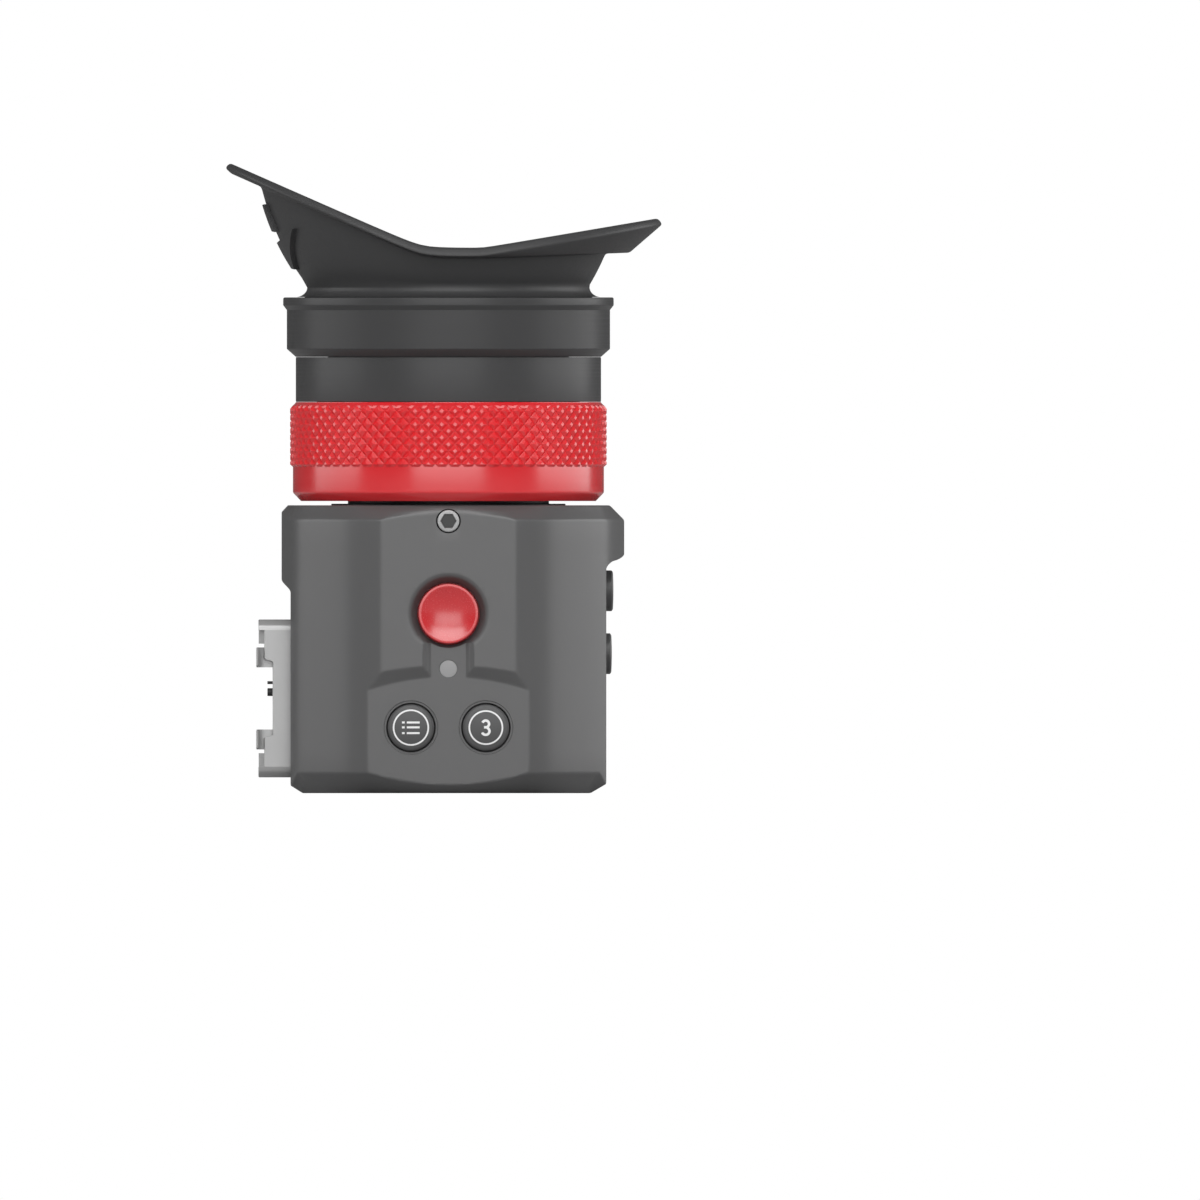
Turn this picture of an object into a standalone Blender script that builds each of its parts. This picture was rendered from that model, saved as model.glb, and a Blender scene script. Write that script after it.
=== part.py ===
"""Electronic viewfinder of a cinema camera, as an assembly of separate pieces.

Metres, +Z up along the optical axis, eyepiece on top. The button face looks towards -Y,
the side buttons towards +X and the interface receptacle towards -X. The origin is on the
optical axis at the flat bottom face.
"""

import math

import bmesh
import bpy
from mathutils import Matrix, Vector

MM = 0.001

# Fits and cuts
SEAT_GAP = 0.3 * MM
RUN_GAP = 0.3 * MM
CUT_OVERRUN = 1.0 * MM

# Steps round a circle
LARGE_STEPS = 40
LENS_STEPS = 24
SMALL_STEPS = 16
SCREW_STEPS = 8
CORNER_STEPS = 5
FACE_STEPS = 4
ARCH_STEPS = 8
HEXAGON_SIDES = 6
SHARP_ANGLE = math.radians(30.0)

# Housing, outside
BODY_HEIGHT = 54.7 * MM
BODY_HALF_WIDTH = 30.0 * MM
BODY_HALF_DEPTH = 29.5 * MM
BODY_CORNER_RADIUS = 20.0 * MM
BODY_FACE_RADIUS = 60.0 * MM
BASE_CHAMFER_WIDTH = 2.7 * MM
BASE_CHAMFER_HEIGHT = 3.8 * MM
TOP_CHAMFER_WIDTH = 2.2 * MM
TOP_CHAMFER_HEIGHT = 2.8 * MM

# Shoulder, the wider top of the housing
LEFT_SHOULDER = 1.7 * MM
LEFT_SHOULDER_DROP = 14.2 * MM
LEFT_SHOULDER_SWEEP = 2.3 * MM
LEFT_EDGE_HEIGHT = 1.3 * MM
LEFT_EDGE_WIDTH = 1.2 * MM
RIGHT_SHOULDER = 3.4 * MM
RIGHT_SHOULDER_DROP = 9.2 * MM
RIGHT_SHOULDER_SWEEP = 3.1 * MM
RIGHT_SWEEP_RISE_SHARES = (0.23, 0.65, 0.81)
RIGHT_SWEEP_REACH_SHARES = (0.11, 0.61, 0.88)

# Button face
UPPER_PANEL_HALF_WIDTH = 12.7 * MM
LOWER_PANEL_HALF_WIDTH = 15.3 * MM
LOWER_PANEL_TOP_SHARE = 0.4058
LOWER_PANEL_ARCH_RADIUS = 46.0 * MM
PANEL_SLOPE_HEIGHT = 2.0 * MM
PANEL_SLOPE_ARCH_RADIUS = 67.0 * MM
CHANNEL_HALF_WIDTH = 3.3 * MM
CHANNEL_SLOPE_WIDTH = 1.6 * MM

# Housing, inside
FRONT_WALL = 4.0 * MM
SIDE_WALL = 3.0 * MM
REAR_WALL = 5.1 * MM
BOTTOM_WALL = 5.0 * MM
TOP_WALL = 8.7 * MM
CAVITY_CORNER_RADIUS = 15.0 * MM
BOARD_BOSS_RADIUS = 2.0 * MM

# Base cover
BASE_COVER_RADIUS = 22.9 * MM
BASE_COVER_THICKNESS = 2.3 * MM
BASE_OPENING_RADIUS = 16.5 * MM
SPANNER_HOLE_RADIUS = 1.2 * MM
SPANNER_HOLE_OFFSET = 17.5 * MM
SPANNER_HOLE_DEPTH = 1.3 * MM

# Rear cover and its gasket
REAR_FLAT_DEPTH = 27.6 * MM
REAR_COVER_HALF_WIDTH = 13.5 * MM
REAR_COVER_HEIGHT = 40.0 * MM
REAR_COVER_CENTER_SHARE = 0.4936
REAR_COVER_THICKNESS = 2.0 * MM
REAR_COVER_CORNER = 3.0 * MM
REAR_LEDGE = 3.4 * MM
GASKET_THICKNESS = 0.6 * MM
GASKET_INSET = 0.4 * MM
REAR_SCREW_INSET = 3.4 * MM

# Small screws of the covers and boards
SCREW_SHANK_RADIUS = 0.9 * MM
SCREW_HEAD_RADIUS = 1.7 * MM
SCREW_HEAD_HEIGHT = 1.1 * MM
REAR_SCREW_LENGTH = 3.4 * MM
BOARD_SCREW_LENGTH = 5.0 * MM
SCREW_RECESS_RADIUS = 0.9 * MM
SCREW_RECESS_DEPTH = 0.5 * MM

# Clamp screw of the ocular barrel, a socket grub screw
CLAMP_SCREW_RADIUS = 2.13 * MM
CLAMP_SCREW_DROP = 3.0 * MM
CLAMP_SCREW_SINK = 0.2 * MM
CLAMP_KEY_FLATS = 2.5 * MM
CLAMP_KEY_DEPTH = 2.4 * MM
CLAMP_EDGE = 0.25 * MM

# Ocular barrel, the fixed tube of the eyepiece
FOOT_RADIUS = 22.2 * MM
FOOT_SEAT_DEPTH = 4.7 * MM
FOOT_PROUD = 0.3 * MM
NECK_RADIUS = 19.0 * MM
NECK_HEIGHT = 0.7 * MM
THROAT_RADIUS = 17.0 * MM
TUBE_RADIUS = 25.0 * MM
TUBE_WALL = 1.8 * MM
TUBE_HEIGHT = 24.3 * MM
TUBE_FLOOR = 2.8 * MM
TUBE_FLANGE_RADIUS = 26.2 * MM
TUBE_FLANGE_HEIGHT = 1.1 * MM
FRICTION_GROOVE_RISE = 3.3 * MM
FRICTION_RING_HEIGHT = 1.2 * MM
FRICTION_RING_WIDTH = 0.45 * MM

# Diopter ring
RING_LIFT = 0.5 * MM
RING_HEIGHT = 18.8 * MM
RING_BAND_RADIUS = 29.55 * MM
RING_KNURL_RADIUS = 30.08 * MM
RING_FOOT_RADIUS = 28.0 * MM
RING_TOP_RADIUS = 29.0 * MM
RING_FOOT_CHAMFER = 1.6 * MM
RING_BAND_HEIGHT = 6.45 * MM
RING_STEP_HEIGHT = 0.55 * MM
RING_TOP_CHAMFER = 1.15 * MM
KNURL_COUNT = 74
KNURL_ROWS = 8
KNURL_TOP_SHARE = 0.947
KNURL_DEPTH = 0.5 * MM
RING_TURN = math.radians(45.0)

# Follower pins, helical grooves and the stop pin
CARRIER_TRAVEL = 2.0 * MM
PIN_COUNT = 3
PIN_RADIUS = 1.2 * MM
PIN_ENGAGEMENT = 1.5 * MM
PIN_RISE = 10.5 * MM
PIN_START_ANGLE = math.radians(30.0)
GROOVE_STEPS = 10
STOP_PIN_RADIUS = 0.9 * MM
STOP_PIN_REACH = 1.1 * MM
STOP_PIN_ROOT = 1.0 * MM
STOP_PIN_DROP = 3.0 * MM
STOP_PIN_ANGLE = math.radians(90.0)

# Upper barrel and eyecup holder
UPPER_BARREL_RADIUS = 29.0 * MM
UPPER_BARREL_HEIGHT = 8.0 * MM
UPPER_BARREL_LIP = 2.0 * MM
HOLDER_RADIUS = 30.7 * MM
HOLDER_HEIGHT = 11.3 * MM
HOLDER_FOOT_CHAMFER = 1.5 * MM
HOLDER_LIP_RADIUS = 31.4 * MM
HOLDER_LIP_HEIGHT = 1.5 * MM
HOLDER_LIP_CHAMFER = 0.9 * MM
HOLDER_BORE_GAP = 0.5 * MM

# Eyepiece bezel
BEZEL_RADIUS = 24.6 * MM
BEZEL_HEIGHT = 2.2 * MM
BEZEL_OPENING_RADIUS = 18.5 * MM
BEZEL_MOUTH_RADIUS = 22.0 * MM
BEZEL_EDGE = 0.7 * MM

# Lens carrier and what it holds
CARRIER_WALL = 2.6 * MM
CARRIER_HEIGHT = 24.5 * MM
CARRIER_LIP_RADIUS = 17.5 * MM
CARRIER_LIP_HEIGHT = 2.0 * MM
LENS_CURVE_STEPS = 4
LENS_RIM = 2.6 * MM
FIELD_LENS_EDGE = 2.4 * MM
FIELD_LENS_BULGE = 2.2 * MM
MIDDLE_LENS_EDGE = 2.0 * MM
MIDDLE_LENS_BULGE = 1.9 * MM
EYE_LENS_EDGE = 2.4 * MM
EYE_LENS_BULGE = 2.4 * MM
SPACER_HEIGHT = 5.0 * MM
SPACER_WALL = 2.0 * MM
RETAINER_HEIGHT = 3.0 * MM
RETAINER_WALL = 2.2 * MM

# Eyecup foot, wall and brim
EYECUP_SPIGOT_RADIUS = 27.3 * MM
EYECUP_SPIGOT_DEPTH = 2.4 * MM
EYECUP_BEAD_REACH = 0.8 * MM
EYECUP_BEAD_HEIGHT = 0.7 * MM
EYECUP_INNER_RADIUS = 25.2 * MM
EYECUP_FOOT_REACH = 1.6 * MM
EYECUP_NECK_RADIUS = 26.8 * MM
EYECUP_NECK_RISE = 1.6 * MM
EYECUP_FILLET_SHARES = (0.25, 0.33)
EYECUP_WALL = 2.0 * MM
EYECUP_FLARE_START = 0.8 * MM
EYECUP_FLARE_HEIGHT = 16.0 * MM
EYECUP_FLARE_LEFT = 12.7 * MM
EYECUP_FLARE_RIGHT = 9.7 * MM
EYECUP_FLARE_FRONT = 8.7 * MM
EYECUP_STEPS = 32
EYECUP_WALL_SHARES = (0.2, 0.4, 0.6, 0.8, 1.0)
BRIM_LEFT = 42.0 * MM
BRIM_RIGHT = 40.2 * MM
BRIM_HALF_DEPTH = 32.0 * MM
BRIM_THICKNESS = 1.9 * MM
BRIM_EDGE_THICKNESS = 1.6 * MM
BRIM_KNEE_INSET = 0.7 * MM
BRIM_VISOR_OVERHANG = 5.5 * MM
RIM_RISE = 9.35 * MM
RIM_LEFT_SLOPE_SHARE = 0.441
RIM_LEFT_START = 4.9 * MM
RIM_LEFT_ROUND = 2.6 * MM
RIM_RIGHT_SLOPE_SHARE = 0.170
RIM_RIGHT_START = 6.5 * MM
RIM_RIGHT_ROUND = 1.0 * MM
VISOR_UNDER_SLOPE_SHARE = 0.040
CORE_RING_WALL = 0.9 * MM
CORE_RING_HEIGHT = 3.4 * MM

# Display and its board
BOARD_THICKNESS = 1.6 * MM
WINDOW_THICKNESS = 1.6 * MM
WINDOW_RIM = 0.8 * MM
DISPLAY_FRAME_HALF_WIDTH = 22.6 * MM
DISPLAY_FRAME_HALF_DEPTH = 13.5 * MM
DISPLAY_FRAME_THICKNESS = 2.8 * MM
DISPLAY_OPENING_HALF_WIDTH = 11.0 * MM
DISPLAY_OPENING_HALF_DEPTH = 7.0 * MM
DISPLAY_PANEL_HALF_WIDTH = 13.0 * MM
DISPLAY_PANEL_HALF_DEPTH = 10.0 * MM
DISPLAY_PANEL_THICKNESS = 1.6 * MM
DISPLAY_RECESS_DEPTH = 1.3 * MM
DISPLAY_BOARD_HALF_WIDTH = 15.0 * MM
DISPLAY_BOARD_HALF_DEPTH = 12.0 * MM
DISPLAY_SCREW_OFFSET = 20.3 * MM
DISPLAY_SCREW_LENGTH = 5.8 * MM

# Main board
MAIN_BOARD_HALF_WIDTH = 23.0 * MM
MAIN_BOARD_HALF_DEPTH = 17.5 * MM
MAIN_BOARD_CORNER = 3.0 * MM
MAIN_BOARD_LIFT = 6.0 * MM
MAIN_SCREW_OFFSET_X = 19.0 * MM
MAIN_SCREW_OFFSET_Y = 12.0 * MM
PROCESSOR_HALF_WIDTH = 7.0 * MM
PROCESSOR_THICKNESS = 1.6 * MM

# Ribbon cable between the display board and the main board
RIBBON_HALF_WIDTH = 6.0 * MM
RIBBON_THICKNESS = 0.3 * MM
RIBBON_LAP = 3.0 * MM
RIBBON_BEND_RADIUS = 4.0 * MM
RIBBON_BEND_STEPS = 6

# Buttons: depths are counted from the wall's inner face
BUTTON_FLANGE_REACH = 1.0 * MM
BUTTON_FLANGE_THICKNESS = 0.8 * MM
BUTTON_FLANGE_REST = 0.4 * MM
BUTTON_STEM_RADIUS = 1.6 * MM
BUTTON_STEM_GAP = 0.1 * MM
BUTTON_CAP_EDGE = 0.4 * MM
BUTTON_DOME_STEPS = 3
SWITCH_TIP_DEPTH = 0.6 * MM
SWITCH_PLUNGER_HEIGHT = 0.5 * MM
SWITCH_PLUNGER_RADIUS = 1.2 * MM
SWITCH_HALF_WIDTH = 2.25 * MM
SWITCH_BODY_HEIGHT = 1.5 * MM
BUTTON_TRAVEL = 0.4 * MM

# Record button and its recess
RECORD_CENTER_SHARE = 0.6234
RECORD_CAP_RADIUS = 5.8 * MM
RECORD_DISH_RADIUS = 5.3 * MM
RECORD_DISH_DEPTH = 0.8 * MM
RECORD_PROUD = 0.2 * MM
RECORD_TRAVEL = 0.5 * MM
RECORD_RECESS_RADIUS = 7.75 * MM
RECORD_RECESS_DEPTH = 2.0 * MM

# Menu and number buttons
KEY_CENTER_SHARE = 0.2278
KEY_OFFSET = 7.12 * MM
KEY_CAP_RADIUS = 4.55 * MM
KEY_PROUD = 0.5 * MM
KEY_DOME_RISE = 0.35 * MM
KEY_BEZEL_WIDTH = 0.35 * MM

# Side buttons
UPPER_SIDE_CENTER_SHARE = 0.7029
UPPER_SIDE_PROUD = 1.35 * MM
LOWER_SIDE_CENTER_SHARE = 0.4845
LOWER_SIDE_PROUD = 1.05 * MM
SIDE_CAP_RADIUS = 3.88 * MM
SIDE_DOME_RISE = 0.1 * MM

# Status light
STATUS_CENTER_SHARE = 0.4314
STATUS_RADIUS = 1.7 * MM
STATUS_SINK = 0.05 * MM
STATUS_LAMP_HALF_WIDTH = 1.0 * MM
STATUS_LAMP_HEIGHT = 0.8 * MM

# Button boards
BUTTON_BOARD_HALF_WIDTH = 14.0 * MM
BUTTON_BOARD_BOTTOM = 6.2 * MM
BUTTON_BOSS_OFFSET = 11.4 * MM
BUTTON_BOSS_INSET = 2.4 * MM
SIDE_BOARD_HALF_WIDTH = 6.6 * MM
SIDE_BOARD_MARGIN = 7.4 * MM
SIDE_BOSS_INSET = 2.2 * MM

# Interface receptacle
RECEPTACLE_CENTER = 18.0 * MM
RECEPTACLE_HALF_HEIGHT = 15.0 * MM
RECEPTACLE_HALF_WIDTH = 7.2 * MM
RECEPTACLE_REACH = 6.0 * MM
RECEPTACLE_ROOT = 4.5 * MM
RECEPTACLE_WALL = 0.7 * MM
RECEPTACLE_CORNER = 1.2 * MM
RECEPTACLE_CORNER_STEPS = 3
RECEPTACLE_TRIM = 1.0 * MM
RECEPTACLE_TRIM_MARGIN = 2.2 * MM
RECEPTACLE_NOTCH_DEPTH = 2.6 * MM
RECEPTACLE_NOTCH_HALF_HEIGHT = 7.25 * MM
INSULATOR_BLOCK = 3.7 * MM
TONGUE_LENGTH = 4.1 * MM
TONGUE_HALF_THICKNESS = 1.0 * MM
CONTACT_COUNT = 9
CONTACT_PITCH = 2.6 * MM
CONTACT_WIDTH = 1.2 * MM
CONTACT_LENGTH = 3.1 * MM
CONTACT_THICKNESS = 0.3 * MM
CONTACT_BAR = 0.5 * MM
RECEPTACLE_BOARD_HALF_WIDTH = 9.0 * MM
RECEPTACLE_BOARD_BOTTOM = 7.0 * MM
RECEPTACLE_BOARD_TOP = 36.0 * MM

# Colours as linear values, with roughness and metallic value
FINISHES = {
    "painted_body": ((0.105, 0.105, 0.107, 1.0), 0.55, 0.0),
    "black_barrel": ((0.060, 0.060, 0.061, 1.0), 0.45, 0.0),
    "red_anodised": ((0.620, 0.050, 0.055, 1.0), 0.40, 0.2),
    "rubber": ((0.040, 0.040, 0.041, 1.0), 0.70, 0.0),
    "red_plastic": ((0.560, 0.060, 0.065, 1.0), 0.30, 0.0),
    "button_plastic": ((0.045, 0.045, 0.047, 1.0), 0.50, 0.0),
    "black_plastic": ((0.030, 0.030, 0.031, 1.0), 0.50, 0.0),
    "bright_metal": ((0.600, 0.600, 0.600, 1.0), 0.25, 1.0),
    "steel": ((0.500, 0.500, 0.500, 1.0), 0.35, 1.0),
    "black_screw": ((0.040, 0.040, 0.040, 1.0), 0.40, 1.0),
    "contact_gold": ((0.780, 0.560, 0.230, 1.0), 0.30, 1.0),
    "lens_glass": ((0.800, 0.850, 0.900, 1.0), 0.05, 0.0),
    "display_glass": ((0.020, 0.020, 0.025, 1.0), 0.10, 0.0),
    "board_green": ((0.030, 0.140, 0.060, 1.0), 0.50, 0.0),
    "chip_black": ((0.020, 0.020, 0.022, 1.0), 0.40, 0.0),
    "ribbon_amber": ((0.450, 0.200, 0.050, 1.0), 0.45, 0.0),
    "lamp_white": ((0.330, 0.330, 0.335, 1.0), 0.40, 0.0),
}

FACE_FORWARD = (math.pi / 2, 0, 0)
FACE_RIGHT = (0, math.pi / 2, 0)


def face_depth(half_width):
    """Distance from the optical axis to the bulged face at this half width."""
    center = BODY_HALF_DEPTH - BODY_FACE_RADIUS
    return center + math.sqrt(BODY_FACE_RADIUS**2 - half_width**2)


# Places worked out from the sizes above
UPPER_PANEL_DEPTH = face_depth(UPPER_PANEL_HALF_WIDTH)
LOWER_PANEL_DEPTH = face_depth(LOWER_PANEL_HALF_WIDTH)
FRONT_INNER = LOWER_PANEL_DEPTH - FRONT_WALL
REAR_INNER = REAR_FLAT_DEPTH - REAR_WALL
SIDE_INNER = BODY_HALF_WIDTH - SIDE_WALL
CEILING = BODY_HEIGHT - TOP_WALL
LOWER_PANEL_TOP = LOWER_PANEL_TOP_SHARE * BODY_HEIGHT
REAR_COVER_CENTER = REAR_COVER_CENTER_SHARE * BODY_HEIGHT
RECORD_CENTER = RECORD_CENTER_SHARE * BODY_HEIGHT
KEY_CENTER = KEY_CENTER_SHARE * BODY_HEIGHT
UPPER_SIDE_CENTER = UPPER_SIDE_CENTER_SHARE * BODY_HEIGHT
LOWER_SIDE_CENTER = LOWER_SIDE_CENTER_SHARE * BODY_HEIGHT
STATUS_CENTER = STATUS_CENTER_SHARE * BODY_HEIGHT
FOOT_SEAT = BODY_HEIGHT - FOOT_SEAT_DEPTH
FOOT_TOP = BODY_HEIGHT + FOOT_PROUD
NECK_TOP = FOOT_TOP + NECK_HEIGHT
FLANGE_TOP = NECK_TOP + TUBE_FLANGE_HEIGHT
TUBE_TOP = NECK_TOP + TUBE_HEIGHT
TUBE_BORE = TUBE_RADIUS - TUBE_WALL
TUBE_FLOOR_TOP = NECK_TOP + TUBE_FLOOR
RING_BASE = FOOT_TOP + RING_LIFT
RING_TOP = RING_BASE + RING_HEIGHT
RING_BORE = TUBE_RADIUS + RUN_GAP
UPPER_BARREL_BASE = RING_TOP + RUN_GAP
UPPER_BARREL_TOP = UPPER_BARREL_BASE + UPPER_BARREL_HEIGHT
HOLDER_BASE = UPPER_BARREL_TOP + SEAT_GAP
HOLDER_TOP = HOLDER_BASE + HOLDER_HEIGHT
CARRIER_RADIUS = TUBE_BORE - RUN_GAP
CARRIER_BORE = CARRIER_RADIUS - CARRIER_WALL
CARRIER_BASE = TUBE_FLOOR_TOP + CARRIER_TRAVEL + SEAT_GAP
CARRIER_TOP = CARRIER_BASE + CARRIER_HEIGHT
HOLDER_BORE = CARRIER_RADIUS + HOLDER_BORE_GAP
SPIGOT_BOTTOM = HOLDER_TOP - EYECUP_SPIGOT_DEPTH
HOLDER_FLOOR = SPIGOT_BOTTOM - SEAT_GAP
BEZEL_TOP = HOLDER_FLOOR - SEAT_GAP
BEZEL_BASE = BEZEL_TOP - BEZEL_HEIGHT
PIN_HEIGHT = RING_BASE + PIN_RISE
SWITCH_BOARD_DEPTH = SWITCH_TIP_DEPTH + SWITCH_PLUNGER_HEIGHT + SWITCH_BODY_HEIGHT + SEAT_GAP
WINDOW_BASE = CEILING
DISPLAY_FRAME_TOP = CEILING - SEAT_GAP
DISPLAY_FRAME_BASE = DISPLAY_FRAME_TOP - DISPLAY_FRAME_THICKNESS
BUTTON_BOARD_TOP = DISPLAY_FRAME_BASE - SEAT_GAP
DISPLAY_PANEL_TOP = DISPLAY_FRAME_BASE + DISPLAY_RECESS_DEPTH - SEAT_GAP
DISPLAY_PANEL_BASE = DISPLAY_PANEL_TOP - DISPLAY_PANEL_THICKNESS
DISPLAY_BOARD_TOP = DISPLAY_PANEL_BASE - SEAT_GAP
DISPLAY_BOARD_BASE = DISPLAY_BOARD_TOP - BOARD_THICKNESS
MAIN_BOARD_BASE = BOTTOM_WALL + MAIN_BOARD_LIFT
MAIN_BOARD_TOP = MAIN_BOARD_BASE + BOARD_THICKNESS
RECEPTACLE_INNER_END = BODY_HALF_WIDTH - RECEPTACLE_ROOT
RIM_LOW = HOLDER_TOP + RIM_RISE


def clear_scene():
    """Remove every object of the open scene."""
    for item in list(bpy.data.objects):
        bpy.data.objects.remove(item, do_unlink=True)


def finish(name):
    """The material of this name, made once."""
    material = bpy.data.materials.get(name)
    if material is None:
        color, roughness, metallic = FINISHES[name]
        material = bpy.data.materials.new(name)
        material.use_nodes = True
        shader = material.node_tree.nodes["Principled BSDF"]
        shader.inputs["Base Color"].default_value = color
        shader.inputs["Roughness"].default_value = roughness
        shader.inputs["Metallic"].default_value = metallic
        material.diffuse_color = color
    return material


def add_object(name, mesh_data, finish_name, location=(0, 0, 0), rotation=(0, 0, 0)):
    """Turn a bmesh into a placed object with its own finish."""
    mesh = bpy.data.meshes.new(name)
    mesh_data.to_mesh(mesh)
    mesh_data.free()
    mesh.shade_smooth()
    mesh.set_sharp_from_angle(angle=SHARP_ANGLE)
    item = bpy.data.objects.new(name, mesh)
    item.data.materials.append(finish(finish_name))
    item.location = location
    item.rotation_euler = rotation
    bpy.context.scene.collection.objects.link(item)
    return item


def as_cutter(item):
    """Mark an object as a cutter, which the build leaves out."""
    item.hide_render = True
    item.display_type = "WIRE"
    return item


def combine(target, other, operation):
    """Join another solid to the target, or cut it away, with an exact Boolean."""
    as_cutter(other)
    modifier = target.modifiers.new(other.name, "BOOLEAN")
    modifier.operation = operation
    modifier.solver = "EXACT"
    modifier.object = other
    return target


def cut(target, cutter):
    """Cut a solid away from the target."""
    return combine(target, cutter, "DIFFERENCE")


def fuse(target, other):
    """Join a solid to the target."""
    return combine(target, other, "UNION")


def bridge(mesh_data, lower, upper):
    """Faces between two rings of points, or between a ring and a pole."""
    count = max(len(lower), len(upper))
    for index in range(count):
        after = (index + 1) % count
        if len(lower) == 1 and len(upper) == 1:
            return
        if len(lower) == 1:
            mesh_data.faces.new((lower[0], upper[after], upper[index]))
        elif len(upper) == 1:
            mesh_data.faces.new((lower[index], lower[after], upper[0]))
        else:
            mesh_data.faces.new((lower[index], lower[after], upper[after], upper[index]))


def split_bridge(mesh_data, lower, upper):
    """Faces between two rings of one count, each cell split between its two inner corners."""
    count = len(lower)
    for index in range(count):
        after = (index + 1) % count
        corners = [lower[index], lower[after], upper[after], upper[index]]
        if corners[0].co.xy.length > corners[1].co.xy.length:
            corners.append(corners.pop(0))
        mesh_data.faces.new(corners[:3])
        mesh_data.faces.new((corners[0], *corners[2:]))


def ring_mesh(rings, closed, join=bridge):
    """Skin over rings of points: a closed loop of rings, or a stack with two end caps."""
    mesh_data = bmesh.new()
    loops = [[mesh_data.verts.new(point) for point in ring] for ring in rings]
    for lower, upper in zip(loops, loops[1:]):
        join(mesh_data, lower, upper)
    if closed:
        join(mesh_data, loops[-1], loops[0])
    else:
        mesh_data.faces.new(list(reversed(loops[0])))
        mesh_data.faces.new(loops[-1])
    return mesh_data


def circle(radius, height, steps):
    """Points round the Z axis, or the one point of a pole."""
    if radius == 0:
        return [Vector((0, 0, height))]
    turns = (2 * math.pi * index / steps for index in range(steps))
    return [Vector((radius * math.cos(turn), radius * math.sin(turn), height)) for turn in turns]


def turned(name, outline, finish_name, steps=LARGE_STEPS, **place):
    """Turn a closed outline of radius and height, anticlockwise, about the Z axis."""
    rings = [circle(radius, height, steps) for radius, height in outline]
    return add_object(name, ring_mesh(rings, closed=True), finish_name, **place)


def rod(name, radius, bottom, top, finish_name, steps=SMALL_STEPS, **place):
    """A plain round rod between two heights."""
    outline = [(0, bottom), (radius, bottom), (radius, top), (0, top)]
    return turned(name, outline, finish_name, steps, **place)


def prism(name, outline, bottom, top, finish_name, **place):
    """Raise a flat anticlockwise outline from one height to another."""
    rings = [[Vector((x, y, height)) for x, y in outline] for height in (bottom, top)]
    return add_object(name, ring_mesh(rings, closed=False), finish_name, **place)


def box(name, low, high, finish_name, **place):
    """A box between two corners."""
    outline = [(low[0], low[1]), (high[0], low[1]), (high[0], high[1]), (low[0], high[1])]
    return prism(name, outline, low[2], high[2], finish_name, **place)


def arc(center_x, center_y, radius, start, end, steps):
    """Points along an arc, both ends included."""
    points = []
    for index in range(steps + 1):
        turn = start + (end - start) * index / steps
        points.append((center_x + radius * math.cos(turn), center_y + radius * math.sin(turn)))
    return points


def rounded_rectangle(low_x, low_y, high_x, high_y, radius, steps=CORNER_STEPS):
    """Anticlockwise rectangle with round corners."""
    quarter = math.pi / 2
    points = []
    points += arc(high_x - radius, high_y - radius, radius, 0, quarter, steps)
    points += arc(low_x + radius, high_y - radius, radius, quarter, 2 * quarter, steps)
    points += arc(low_x + radius, low_y + radius, radius, 2 * quarter, 3 * quarter, steps)
    points += arc(high_x - radius, low_y + radius, radius, 3 * quarter, 4 * quarter, steps)
    return points


def plan_outline(left, right, inset):
    """The housing's plan: flat sides, round corners and bulged faces, all moved in by the inset."""
    reach = BODY_FACE_RADIUS - BODY_CORNER_RADIUS
    face_center = BODY_HALF_DEPTH - BODY_FACE_RADIUS
    corner = BODY_CORNER_RADIUS - inset
    face = BODY_FACE_RADIUS - inset
    right_x = right - BODY_CORNER_RADIUS
    left_x = left - BODY_CORNER_RADIUS
    right_turn = math.asin(right_x / reach)
    left_turn = math.asin(left_x / reach)
    right_y = face_center + reach * math.cos(right_turn)
    left_y = face_center + reach * math.cos(left_turn)
    quarter = math.pi / 2
    back = [
        arc(right_x, right_y, corner, 0, quarter - right_turn, CORNER_STEPS),
        arc(0, face_center, face, quarter - right_turn, quarter + left_turn, FACE_STEPS),
        arc(-left_x, left_y, corner, quarter + left_turn, 2 * quarter, CORNER_STEPS),
    ]
    front = [
        arc(-left_x, -left_y, corner, 2 * quarter, 3 * quarter - left_turn, CORNER_STEPS),
        arc(0, -face_center, face, 3 * quarter - left_turn, 3 * quarter + right_turn, FACE_STEPS),
        arc(right_x, -right_y, corner, 3 * quarter + right_turn, 4 * quarter, CORNER_STEPS),
    ]
    points = []
    for arcs in (back, front):
        points += arcs[0][:-1]
        points += arcs[1]
        points += arcs[2][1:]
    return points


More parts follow.
